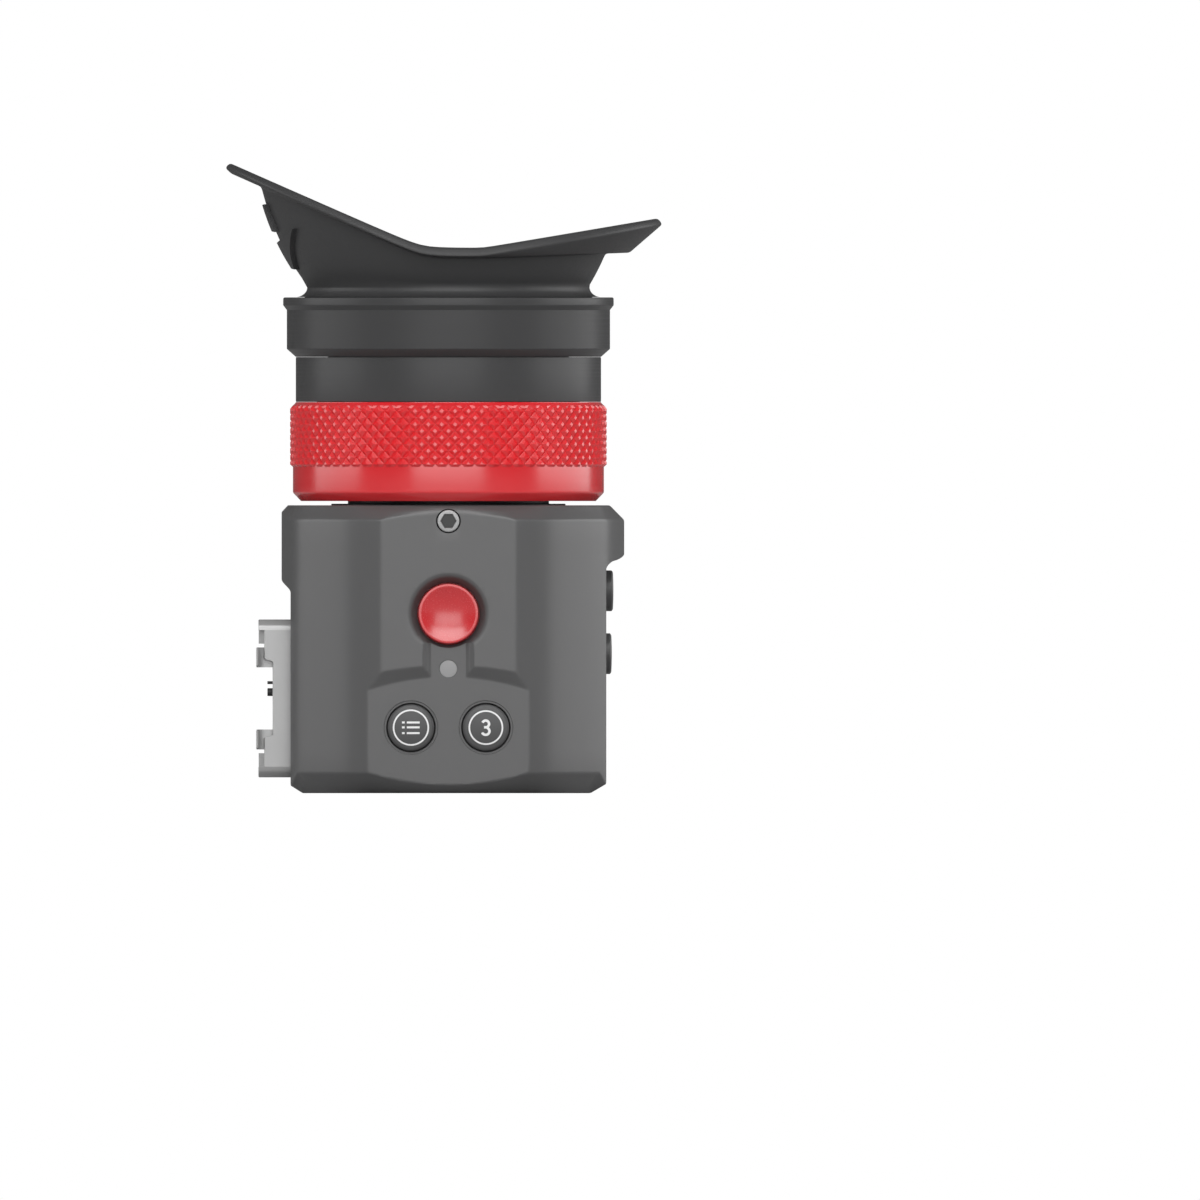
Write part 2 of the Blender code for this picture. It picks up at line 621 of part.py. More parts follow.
def housing_levels():
    """Height, left half width, right half width and inset of each level of the housing."""
    half = BODY_HALF_WIDTH
    left = half + LEFT_SHOULDER
    right = half + RIGHT_SHOULDER
    left_top = BODY_HEIGHT - LEFT_SHOULDER_DROP
    left_foot = left_top - LEFT_SHOULDER_SWEEP
    right_top = BODY_HEIGHT - RIGHT_SHOULDER_DROP
    right_foot = right_top - RIGHT_SHOULDER_SWEEP
    edge_inset = TOP_CHAMFER_WIDTH * (1 - LEFT_EDGE_HEIGHT / TOP_CHAMFER_HEIGHT)
    levels = [
        (0, half, half, BASE_CHAMFER_WIDTH),
        (BASE_CHAMFER_HEIGHT, half, half, 0),
        (left_foot, half, half, 0),
        ((left_foot + left_top) / 2, half + LEFT_SHOULDER / 2, half, 0),
        (left_top, left, half, 0),
        (right_foot, left, half, 0),
    ]
    for rise, reach in zip(RIGHT_SWEEP_RISE_SHARES, RIGHT_SWEEP_REACH_SHARES):
        height = right_foot + rise * RIGHT_SHOULDER_SWEEP
        levels.append((height, left, half + reach * RIGHT_SHOULDER, 0))
    levels += [
        (right_top, left, right, 0),
        (BODY_HEIGHT - TOP_CHAMFER_HEIGHT, left, right, 0),
        (BODY_HEIGHT - LEFT_EDGE_HEIGHT, left + edge_inset, right, edge_inset),
        (BODY_HEIGHT, left + TOP_CHAMFER_WIDTH - LEFT_EDGE_WIDTH, right, TOP_CHAMFER_WIDTH),
    ]
    return levels


def sloped_cutter(name, floor_outline, edge_outline):
    """Cutter with a flat floor at the lower panel and walls that slope out to the upper panel."""
    step = UPPER_PANEL_DEPTH - LOWER_PANEL_DEPTH
    stretch = (step + CUT_OVERRUN) / step
    floor = [Vector((x, -LOWER_PANEL_DEPTH, z)) for x, z in floor_outline]
    outer = []
    for (floor_x, floor_z), (edge_x, edge_z) in zip(floor_outline, edge_outline):
        x = floor_x + (edge_x - floor_x) * stretch
        z = floor_z + (edge_z - floor_z) * stretch
        outer.append(Vector((x, -LOWER_PANEL_DEPTH - step - CUT_OVERRUN, z)))
    return add_object(name, ring_mesh([floor, outer], closed=False), "painted_body")


def arch_outline(top, radius):
    """Lower panel outline in width and height, with an arched top."""
    wide = BODY_HALF_WIDTH
    points = [(-wide, -CUT_OVERRUN), (wide, -CUT_OVERRUN)]
    for index in range(ARCH_STEPS + 1):
        x = wide * (1 - 2 * index / ARCH_STEPS)
        points.append((x, top - x * x / (2 * radius)))
    return points


def cut_button_face(housing):
    """Flat upper panel, lower panel under its slope, and the channel that joins them."""
    far = BODY_HALF_DEPTH + CUT_OVERRUN
    wide = BODY_HALF_WIDTH
    high = BODY_HEIGHT + CUT_OVERRUN
    low_corner = (-wide, -far, -CUT_OVERRUN)
    cut(housing, box("upper_panel_cut", low_corner, (wide, -UPPER_PANEL_DEPTH, high), "painted_body"))
    floor = arch_outline(LOWER_PANEL_TOP, LOWER_PANEL_ARCH_RADIUS)
    edge = arch_outline(LOWER_PANEL_TOP + PANEL_SLOPE_HEIGHT, PANEL_SLOPE_ARCH_RADIUS)
    cut(housing, sloped_cutter("lower_panel_cut", floor, edge))
    foot = LOWER_PANEL_TOP - PANEL_SLOPE_HEIGHT
    narrow = CHANNEL_HALF_WIDTH
    slope = CHANNEL_HALF_WIDTH + CHANNEL_SLOPE_WIDTH
    floor = [(-narrow, foot), (narrow, foot), (narrow, RECORD_CENTER), (-narrow, RECORD_CENTER)]
    edge = [(-slope, foot), (slope, foot), (slope, RECORD_CENTER), (-slope, RECORD_CENTER)]
    cut(housing, sloped_cutter("channel_cut", floor, edge))


def cut_cavity(housing):
    """Inner room for the boards, open to the optics above and to the base cover below."""
    outline = rounded_rectangle(-SIDE_INNER, -FRONT_INNER, SIDE_INNER, REAR_INNER, CAVITY_CORNER_RADIUS)
    cut(housing, prism("cavity_cut", outline, BOTTOM_WALL, CEILING, "painted_body"))
    bore = THROAT_RADIUS + WINDOW_RIM
    low = CEILING - CUT_OVERRUN
    cut(housing, rod("optic_bore_cut", bore, low, BODY_HEIGHT, "painted_body", LARGE_STEPS))
    seat = FOOT_RADIUS + SEAT_GAP
    top = BODY_HEIGHT + CUT_OVERRUN
    cut(housing, rod("foot_seat_cut", seat, FOOT_SEAT, top, "painted_body", LARGE_STEPS))
    seat = BASE_COVER_RADIUS + SEAT_GAP
    depth = BASE_COVER_THICKNESS + SEAT_GAP
    cut(housing, rod("base_seat_cut", seat, -CUT_OVERRUN, depth, "painted_body", LARGE_STEPS))
    top = BOTTOM_WALL + CUT_OVERRUN
    cut(housing, rod("base_opening_cut", BASE_OPENING_RADIUS, 0, top, "painted_body", LARGE_STEPS))


def make_board_bosses(housing):
    """Posts inside the housing that the boards are fixed to."""
    radius = BOARD_BOSS_RADIUS
    root = BOTTOM_WALL - CUT_OVERRUN
    top = MAIN_BOARD_BASE - SEAT_GAP
    for index, sign in enumerate((-1, 1)):
        place = (sign * MAIN_SCREW_OFFSET_X, sign * MAIN_SCREW_OFFSET_Y, 0)
        fuse(housing, rod(f"main_boss_{index + 1}", radius, root, top, "painted_body", location=place))
    front_boss = SWITCH_BOARD_DEPTH - SEAT_GAP
    for index, (x, z) in enumerate(button_boss_places()):
        post = rod(f"front_boss_{index + 1}", radius, -front_boss, CUT_OVERRUN, "painted_body",
                   location=(x, -FRONT_INNER, z), rotation=FACE_FORWARD)
        fuse(housing, post)
    for index, z in enumerate(side_boss_heights()):
        post = rod(f"side_boss_{index + 1}", radius, -front_boss, CUT_OVERRUN, "painted_body",
                   location=(SIDE_INNER, 0, z), rotation=FACE_RIGHT)
        fuse(housing, post)


def button_boss_places():
    """Places of the button board's three posts, across and up."""
    high = BUTTON_BOARD_TOP - BUTTON_BOSS_INSET
    low = BUTTON_BOARD_BOTTOM + BUTTON_BOSS_INSET
    return [(-BUTTON_BOSS_OFFSET, high), (BUTTON_BOSS_OFFSET, high), (0, low)]


def side_board_span():
    """Lowest and highest point of the side button board."""
    low = LOWER_SIDE_CENTER - SIDE_BOARD_MARGIN
    return low, BUTTON_BOARD_TOP


def side_boss_heights():
    """Heights of the side button board's posts."""
    middle = (LOWER_SIDE_CENTER + UPPER_SIDE_CENTER) / 2
    return [side_board_span()[0] + SIDE_BOSS_INSET, middle]


def cut_receptacle_opening(housing):
    """Slot in the left side wall for the receptacle."""
    half_width = RECEPTACLE_HALF_WIDTH + SEAT_GAP
    half_height = RECEPTACLE_HALF_HEIGHT + SEAT_GAP
    inner = RECEPTACLE_INNER_END - SEAT_GAP
    outline = rounded_rectangle(-half_height, -half_width, half_height, half_width,
                                RECEPTACLE_CORNER + SEAT_GAP, RECEPTACLE_CORNER_STEPS)
    outer = BODY_HALF_WIDTH + LEFT_SHOULDER + CUT_OVERRUN
    slot = prism("receptacle_slot_cut", outline, inner, outer, "painted_body",
                 location=(0, 0, RECEPTACLE_CENTER), rotation=(0, -math.pi / 2, 0))
    cut(housing, slot)


def cut_rear_pocket(housing):
    """Flat rear face with a pocket for the cover and gasket, and the service opening."""
    half = BODY_HALF_WIDTH
    far = BODY_HALF_DEPTH + CUT_OVERRUN
    top = BODY_HEIGHT + CUT_OVERRUN
    low_corner = (-half, REAR_FLAT_DEPTH, -CUT_OVERRUN)
    cut(housing, box("rear_flat_cut", low_corner, (half, far, top), "painted_body"))
    floor = REAR_FLAT_DEPTH - REAR_COVER_THICKNESS - GASKET_THICKNESS - 2 * SEAT_GAP
    pocket = rear_outline(-SEAT_GAP)
    cut(housing, upright_plate("rear_pocket_cut", pocket, floor, far, "painted_body"))
    opening = rear_outline(REAR_LEDGE)
    cut(housing, upright_plate("rear_opening_cut", opening, REAR_INNER - CUT_OVERRUN, far, "painted_body"))
    radius = SCREW_SHANK_RADIUS + SEAT_GAP
    near = CUT_OVERRUN - REAR_INNER
    for index, (x, z) in enumerate(rear_screw_places()):
        hole = rod(f"rear_hole_cut_{index + 1}", radius, -far, near, "painted_body", SCREW_STEPS,
                   location=(x, 0, z), rotation=FACE_FORWARD)
        cut(housing, hole)


def rear_outline(inset):
    """Rounded outline of the rear cover, moved in by the inset, across and up."""
    half = REAR_COVER_HALF_WIDTH - inset
    rise = REAR_COVER_HEIGHT / 2 - inset
    corner = max(REAR_COVER_CORNER - inset, SEAT_GAP)
    low = REAR_COVER_CENTER - rise
    return rounded_rectangle(-half, low, half, low + 2 * rise, corner, RECEPTACLE_CORNER_STEPS)


def upright_plate(name, outline, near, far, finish_name):
    """Plate with its outline across and up, between two depths counted towards +Y."""
    return prism(name, outline, -far, -near, finish_name, rotation=FACE_FORWARD)


def rear_screw_places():
    """Places of the four rear cover screws, across and up."""
    across = REAR_COVER_HALF_WIDTH - REAR_LEDGE / 2
    rise = REAR_COVER_HEIGHT / 2 - REAR_SCREW_INSET
    return [(x, REAR_COVER_CENTER + z) for z in (-rise, rise) for x in (-across, across)]


def cut_clamp_hole(housing):
    """Round hole of the clamp screw, from the upper panel to the barrel's foot."""
    height = BODY_HEIGHT - CLAMP_SCREW_DROP
    radius = CLAMP_SCREW_RADIUS + SEAT_GAP
    hole = rod("clamp_hole_cut", radius, FOOT_RADIUS - CUT_OVERRUN, BODY_HALF_DEPTH, "painted_body",
               location=(0, 0, height), rotation=FACE_FORWARD)
    cut(housing, hole)


def cut_button_hole(housing, name, cap_radius, face, place, rotation):
    """Stepped hole of one button: the cap's bore outside, the flange's seat inside."""
    bore = cap_radius + RUN_GAP
    seat = cap_radius + BUTTON_FLANGE_REACH + RUN_GAP
    ledge = BUTTON_FLANGE_REST + BUTTON_FLANGE_THICKNESS + SEAT_GAP
    outline = [(0, -CUT_OVERRUN), (seat, -CUT_OVERRUN), (seat, ledge), (bore, ledge)]
    outline += [(bore, face + CUT_OVERRUN), (0, face + CUT_OVERRUN)]
    cut(housing, turned(name, outline, "painted_body", SMALL_STEPS, location=place, rotation=rotation))


def cut_button_holes(housing):
    """Holes, recess and bezel edges of all five buttons, and the status light's hole."""
    record_place = (0, -FRONT_INNER, RECORD_CENTER)
    upper_face = UPPER_PANEL_DEPTH - FRONT_INNER
    cut_button_hole(housing, "record_hole_cut", RECORD_CAP_RADIUS, upper_face, record_place, FACE_FORWARD)
    bore = RECORD_CAP_RADIUS + RUN_GAP
    floor = upper_face - RECORD_RECESS_DEPTH
    slope = (RECORD_RECESS_RADIUS - bore) / RECORD_RECESS_DEPTH
    wide = RECORD_RECESS_RADIUS + slope * CUT_OVERRUN
    cone = [(0, floor), (bore, floor), (wide, upper_face + CUT_OVERRUN), (0, upper_face + CUT_OVERRUN)]
    cut(housing, turned("record_recess_cut", cone, "painted_body", LENS_STEPS, location=record_place,
                        rotation=FACE_FORWARD))
    for sign, side in ((-1, "menu"), (1, "number")):
        place = (sign * KEY_OFFSET, -FRONT_INNER, KEY_CENTER)
        cut_button_hole(housing, f"{side}_hole_cut", KEY_CAP_RADIUS, FRONT_WALL, place, FACE_FORWARD)
        bore = KEY_CAP_RADIUS + RUN_GAP
        floor = FRONT_WALL - KEY_BEZEL_WIDTH
        wide = bore + KEY_BEZEL_WIDTH + CUT_OVERRUN
        cone = [(0, floor), (bore, floor), (wide, FRONT_WALL + CUT_OVERRUN), (0, FRONT_WALL + CUT_OVERRUN)]
        cut(housing, turned(f"{side}_bezel_cut", cone, "painted_body", SMALL_STEPS, location=place,
                            rotation=FACE_FORWARD))
    for side, height in (("upper", UPPER_SIDE_CENTER), ("lower", LOWER_SIDE_CENTER)):
        place = (SIDE_INNER, 0, height)
        cut_button_hole(housing, f"{side}_side_hole_cut", SIDE_CAP_RADIUS, SIDE_WALL, place, FACE_RIGHT)
    cut(housing, rod("status_hole_cut", STATUS_RADIUS + SEAT_GAP, -CUT_OVERRUN, FRONT_WALL + CUT_OVERRUN,
                     "painted_body", location=(0, -FRONT_INNER, STATUS_CENTER), rotation=FACE_FORWARD))


def cut_screw_holes(housing):
    """Blind holes of the main board's and the display frame's screws."""
    radius = SCREW_SHANK_RADIUS + SEAT_GAP
    low = MAIN_BOARD_TOP - BOARD_SCREW_LENGTH - SEAT_GAP
    for index, sign in enumerate((-1, 1)):
        place = (sign * MAIN_SCREW_OFFSET_X, sign * MAIN_SCREW_OFFSET_Y, 0)
        top = MAIN_BOARD_BASE + CUT_OVERRUN
        cut(housing, rod(f"main_hole_cut_{index + 1}", radius, low, top, "painted_body", SCREW_STEPS,
                         location=place))
        place = (sign * DISPLAY_SCREW_OFFSET, 0, 0)
        top = DISPLAY_FRAME_BASE + DISPLAY_SCREW_LENGTH + SEAT_GAP
        cut(housing, rod(f"display_hole_cut_{index + 1}", radius, CEILING - CUT_OVERRUN, top, "painted_body",
                         SCREW_STEPS, location=place))


def make_housing():
    """Body shell: one turned and milled aluminium piece with every opening."""
    rings = []
    for height, left, right, inset in housing_levels():
        rings.append([Vector((x, y, height)) for x, y in plan_outline(left, right, inset)])
    housing = add_object("housing", ring_mesh(rings, closed=False), "painted_body")
    cut_cavity(housing)
    make_board_bosses(housing)
    cut_button_face(housing)
    cut_rear_pocket(housing)
    cut_receptacle_opening(housing)
    cut_button_holes(housing)
    cut_clamp_hole(housing)
    cut_screw_holes(housing)


def make_base_cover():
    """Threaded disc that closes the bottom, with two spanner holes."""
    radius = BASE_COVER_RADIUS
    outline = [(0, 0), (radius, 0), (radius, BASE_COVER_THICKNESS), (0, BASE_COVER_THICKNESS)]
    cover = turned("base_cover", outline, "painted_body")
    for index, sign in enumerate((-1, 1)):
        hole = rod(f"spanner_hole_cut_{index + 1}", SPANNER_HOLE_RADIUS, -CUT_OVERRUN, SPANNER_HOLE_DEPTH,
                   "painted_body", SCREW_STEPS, location=(sign * SPANNER_HOLE_OFFSET, 0, 0))
        cut(cover, hole)


def screw_outline(length, head_radius=SCREW_HEAD_RADIUS, head_height=SCREW_HEAD_HEIGHT):
    """Pan head screw with a driver recess: shank down from zero, head above it."""
    recess = head_height - SCREW_RECESS_DEPTH
    return [
        (0, -length),
        (SCREW_SHANK_RADIUS, -length),
        (SCREW_SHANK_RADIUS, 0),
        (head_radius, 0),
        (head_radius, head_height / 2),
        (head_radius - head_height / 2, head_height),
        (SCREW_RECESS_RADIUS, head_height),
        (SCREW_RECESS_RADIUS, recess),
        (0, recess),
    ]


def make_rear_cover():
    """Rear cover, its gasket and its four screws."""
    outer = REAR_FLAT_DEPTH
    inner = outer - REAR_COVER_THICKNESS
    cover = upright_plate("rear_cover", rear_outline(0), inner, outer, "painted_body")
    gasket_outer = inner - SEAT_GAP
    gasket_inner = gasket_outer - GASKET_THICKNESS
    gasket = upright_plate("rear_gasket", rear_outline(GASKET_INSET), gasket_inner, gasket_outer, "rubber")
    opening = rear_outline(REAR_LEDGE - GASKET_INSET)
    far = BODY_HALF_DEPTH
    cut(gasket, upright_plate("gasket_opening_cut", opening, REAR_INNER, far, "rubber"))
    hole = SCREW_SHANK_RADIUS + SEAT_GAP
    head_seat = outer - SCREW_HEAD_HEIGHT
    for index, (x, z) in enumerate(rear_screw_places()):
        number = index + 1
        facing = {"location": (x, 0, z), "rotation": (-math.pi / 2, 0, 0)}
        cut(cover, rod(f"cover_hole_cut_{number}", hole, REAR_INNER, far, "painted_body", SCREW_STEPS,
                       **facing))
        cut(gasket, rod(f"gasket_hole_cut_{number}", hole, REAR_INNER, far, "rubber", SCREW_STEPS,
                        **facing))
        seat = rod(f"cover_seat_cut_{number}", SCREW_HEAD_RADIUS + SEAT_GAP, head_seat - SEAT_GAP, far,
                   "painted_body", SMALL_STEPS, **facing)
        cut(cover, seat)
        turned(f"rear_screw_{number}", screw_outline(REAR_SCREW_LENGTH), "black_screw", SCREW_STEPS,
               location=(x, head_seat, z), rotation=(-math.pi / 2, 0, 0))


def make_clamp_screw():
    """Socket grub screw that clamps the ocular barrel's foot."""
    tip = FOOT_RADIUS + SEAT_GAP
    face = UPPER_PANEL_DEPTH - CLAMP_SCREW_SINK
    radius = CLAMP_SCREW_RADIUS
    edge = radius - CLAMP_EDGE
    outline = [(0, tip), (edge, tip), (radius, tip + CLAMP_EDGE), (radius, face), (0, face)]
    place = {"location": (0, 0, BODY_HEIGHT - CLAMP_SCREW_DROP), "rotation": FACE_FORWARD}
    screw = turned("clamp_screw", outline, "steel", SMALL_STEPS, **place)
    corner = CLAMP_KEY_FLATS / math.sqrt(3)
    low = face - CLAMP_KEY_DEPTH
    high = face + CUT_OVERRUN
    cut(screw, rod("clamp_key_cut", corner, low, high, "steel", HEXAGON_SIDES, **place))


def sector_block(name, inner, outer, half_height, path, finish_name):
    """Solid that follows a path of turn and height between two radii."""
    rings = []
    for turn, height in path:
        ring = []
        for radius, rise in ((inner, -half_height), (outer, -half_height), (outer, half_height),
                             (inner, half_height)):
            ring.append(Vector((radius * math.cos(turn), radius * math.sin(turn), height + rise)))
        rings.append(list(reversed(ring)))
    return add_object(name, ring_mesh(rings, closed=False), finish_name)


def pin_turns():
    """Turns of the follower pins round the axis."""
    return [PIN_START_ANGLE + 2 * math.pi * index / PIN_COUNT for index in range(PIN_COUNT)]


def make_ocular_barrel():
    """Fixed inner tube: foot in the housing, neck, flange under the ring, slotted tube."""
    groove_low = NECK_TOP + FRICTION_GROOVE_RISE
    groove_high = groove_low + FRICTION_RING_HEIGHT + 2 * SEAT_GAP
    groove_radius = TUBE_RADIUS - FRICTION_RING_WIDTH - SEAT_GAP / 2
    outline = [
        (THROAT_RADIUS, FOOT_SEAT + SEAT_GAP),
        (FOOT_RADIUS, FOOT_SEAT + SEAT_GAP),
        (FOOT_RADIUS, FOOT_TOP),
        (NECK_RADIUS, FOOT_TOP),
        (NECK_RADIUS, NECK_TOP),
        (TUBE_FLANGE_RADIUS, NECK_TOP),
        (TUBE_FLANGE_RADIUS, FLANGE_TOP),
        (TUBE_RADIUS, FLANGE_TOP),
        (TUBE_RADIUS, groove_low),
        (groove_radius, groove_low),
        (groove_radius, groove_high),
        (TUBE_RADIUS, groove_high),
        (TUBE_RADIUS, TUBE_TOP),
        (TUBE_BORE, TUBE_TOP),
        (TUBE_BORE, TUBE_FLOOR_TOP),
        (THROAT_RADIUS, TUBE_FLOOR_TOP),
    ]
    barrel = turned("ocular_barrel", outline, "black_barrel")
    half_turn = (PIN_RADIUS + RUN_GAP) / TUBE_BORE
    half_height = PIN_RADIUS + CARRIER_TRAVEL + RUN_GAP
    for index, turn in enumerate(pin_turns()):
        path = [(turn - half_turn, PIN_HEIGHT), (turn + half_turn, PIN_HEIGHT)]
        slot = sector_block(f"pin_slot_cut_{index + 1}", TUBE_BORE - CUT_OVERRUN, TUBE_RADIUS + CUT_OVERRUN,
                            half_height, path, "black_barrel")
        cut(barrel, slot)
    radius = STOP_PIN_RADIUS + SEAT_GAP
    low = TUBE_RADIUS - STOP_PIN_ROOT - SEAT_GAP
    high = TUBE_RADIUS + CUT_OVERRUN
    cut(barrel, rod("stop_pin_hole_cut", radius, low, high, "black_barrel", SCREW_STEPS,
                    **radial_place(STOP_PIN_ANGLE, RING_TOP - STOP_PIN_DROP)))


def radial_place(turn, height):
    """Placement that lays a local Z axis along a radius at this turn and height."""
    return {"location": (0, 0, height), "rotation": (0, math.pi / 2, turn)}


def make_friction_ring():
    """Damping ring in the tube's groove, under the diopter ring."""
    outer = TUBE_RADIUS + SEAT_GAP / 2
    inner = outer - FRICTION_RING_WIDTH
    low = NECK_TOP + FRICTION_GROOVE_RISE + SEAT_GAP
    high = low + FRICTION_RING_HEIGHT
    turned("friction_ring", [(inner, low), (outer, low), (outer, high), (inner, high)], "rubber")


def make_stop_pin():
    """Pin that ends the diopter ring's turn in its slot."""
    low = TUBE_RADIUS - STOP_PIN_ROOT
    high = TUBE_RADIUS + STOP_PIN_REACH
    rod("stop_pin", STOP_PIN_RADIUS, low, high, "steel", SCREW_STEPS,
        **radial_place(STOP_PIN_ANGLE, RING_TOP - STOP_PIN_DROP))


def knurl_rings(low, high):
    """Rows of the diamond knurl: summits and groove floors by turns, staggered from row to row."""
    steps = 2 * KNURL_COUNT
    rings = []
    for row in range(KNURL_ROWS + 1):
        height = low + (high - low) * row / KNURL_ROWS
        ring = circle(RING_KNURL_RADIUS, height, steps)
        floor = circle(RING_KNURL_RADIUS - KNURL_DEPTH, height, steps)
        rings.append([(floor if (row + index) % 2 else ring)[index] for index in range(steps)])
    return rings


def make_diopter_ring():
    """Red ring with a diamond knurl outside and helical grooves inside for the follower pins."""
    flange_bore = TUBE_FLANGE_RADIUS + RUN_GAP
    step = FLANGE_TOP + RUN_GAP
    band_top = RING_BASE + RING_BAND_HEIGHT
    below = [
        (flange_bore, RING_BASE),
        (RING_FOOT_RADIUS, RING_BASE),
        (RING_BAND_RADIUS, RING_BASE + RING_FOOT_CHAMFER),
        (RING_BAND_RADIUS, band_top),
    ]
    above = [
        (RING_KNURL_RADIUS - KNURL_DEPTH / 2, RING_TOP - RING_TOP_CHAMFER),
        (RING_TOP_RADIUS, RING_TOP),
        (RING_BORE, RING_TOP),
        (RING_BORE, step),
        (flange_bore, step),
    ]
    steps = 2 * KNURL_COUNT
    rings = [circle(radius, height, steps) for radius, height in below]
    knurl_base = band_top + RING_STEP_HEIGHT
    chamfer_base = RING_TOP - RING_TOP_CHAMFER
    rings += knurl_rings(knurl_base, knurl_base + KNURL_TOP_SHARE * (chamfer_base - knurl_base))
    rings += [circle(radius, height, steps) for radius, height in above]
    ring = add_object("diopter_ring", ring_mesh(rings, closed=True, join=split_bridge), "red_anodised")
    groove_outer = TUBE_RADIUS + PIN_ENGAGEMENT + 2 * RUN_GAP
    rise_share = CARRIER_TRAVEL / RING_TURN
    spare = (PIN_RADIUS + 2 * RUN_GAP) / TUBE_RADIUS
    reach = RING_TURN + spare
    for index, turn in enumerate(pin_turns()):
        path = []
        for step_index in range(GROOVE_STEPS + 1):
            swing = reach * (2 * step_index / GROOVE_STEPS - 1)
            path.append((turn + swing, PIN_HEIGHT - rise_share * swing))
        half_height = PIN_RADIUS * math.hypot(1, rise_share / TUBE_RADIUS) + RUN_GAP
        cut(ring, sector_block(f"helix_cut_{index + 1}", TUBE_RADIUS, groove_outer, half_height, path,
                               "red_anodised"))
    spare = (STOP_PIN_RADIUS + RUN_GAP) / TUBE_RADIUS
    reach = RING_TURN + spare
    height = RING_TOP - STOP_PIN_DROP
    path = []
    for step_index in range(GROOVE_STEPS + 1):
        path.append((STOP_PIN_ANGLE + reach * (2 * step_index / GROOVE_STEPS - 1), height))
    outer = TUBE_RADIUS + STOP_PIN_REACH + 2 * RUN_GAP
    cut(ring, sector_block("stop_slot_cut", TUBE_RADIUS, outer, STOP_PIN_RADIUS + RUN_GAP, path,
                           "red_anodised"))


def make_upper_barrel():
    """Plain black ring above the diopter ring, screwed over the inner tube."""
    bore = TUBE_RADIUS + SEAT_GAP
    throat = CARRIER_RADIUS + HOLDER_BORE_GAP
    lip = max(UPPER_BARREL_TOP - UPPER_BARREL_LIP, TUBE_TOP + SEAT_GAP)
    outline = [
        (bore, UPPER_BARREL_BASE),
        (UPPER_BARREL_RADIUS, UPPER_BARREL_BASE),
        (UPPER_BARREL_RADIUS, UPPER_BARREL_TOP),
        (throat, UPPER_BARREL_TOP),
        (throat, lip),
        (bore, lip),
    ]
    turned("upper_barrel", outline, "black_barrel")


def make_eyecup_holder():
    """Wider black ring with the lip and the inner groove that keep the eyecup."""
    lip_base = HOLDER_TOP - HOLDER_LIP_HEIGHT
    socket = EYECUP_SPIGOT_RADIUS + SEAT_GAP
    groove = socket + EYECUP_BEAD_REACH
    groove_top = SPIGOT_BOTTOM + EYECUP_BEAD_HEIGHT + SEAT_GAP
    seat = BEZEL_RADIUS + SEAT_GAP
    outline = [
        (HOLDER_BORE, HOLDER_BASE),
        (UPPER_BARREL_RADIUS, HOLDER_BASE),
        (HOLDER_RADIUS, HOLDER_BASE + HOLDER_FOOT_CHAMFER),
        (HOLDER_RADIUS, lip_base - HOLDER_LIP_CHAMFER),
        (HOLDER_LIP_RADIUS, lip_base),
        (HOLDER_LIP_RADIUS, HOLDER_TOP),
        (socket, HOLDER_TOP),
        (socket, groove_top),
        (groove, groove_top),
        (groove, HOLDER_FLOOR),
        (seat, HOLDER_FLOOR),
        (seat, BEZEL_BASE - SEAT_GAP),
        (HOLDER_BORE, BEZEL_BASE - SEAT_GAP),
    ]
    turned("eyecup_holder", outline, "black_barrel")


def make_eyepiece_bezel():
    """Conical ring round the eye lens."""
    outline = [
        (BEZEL_OPENING_RADIUS, BEZEL_BASE),
        (BEZEL_RADIUS, BEZEL_BASE),
        (BEZEL_RADIUS, BEZEL_TOP),
        (BEZEL_MOUTH_RADIUS, BEZEL_TOP),
        (BEZEL_OPENING_RADIUS, BEZEL_BASE + BEZEL_EDGE),
    ]
    turned("eyepiece_bezel", outline, "black_plastic")


def lens_outline(edge_low, edge, bulge):
    """Biconvex lens between two bulges, with a flat rim and a plain edge."""
    radius = CARRIER_BORE - SEAT_GAP
    clear = radius - LENS_RIM
    curve = (clear * clear + bulge * bulge) / (2 * bulge)
    rise = []
    for index in range(LENS_CURVE_STEPS + 1):
        reach = clear * (1 - index / LENS_CURVE_STEPS)
        rise.append((reach, math.sqrt(curve * curve - reach * reach) - (curve - bulge)))
    under = [(reach, edge_low - height) for reach, height in reversed(rise)]
    over = [(reach, edge_low + edge + height) for reach, height in rise]
    return under + [(radius, edge_low), (radius, edge_low + edge)] + over


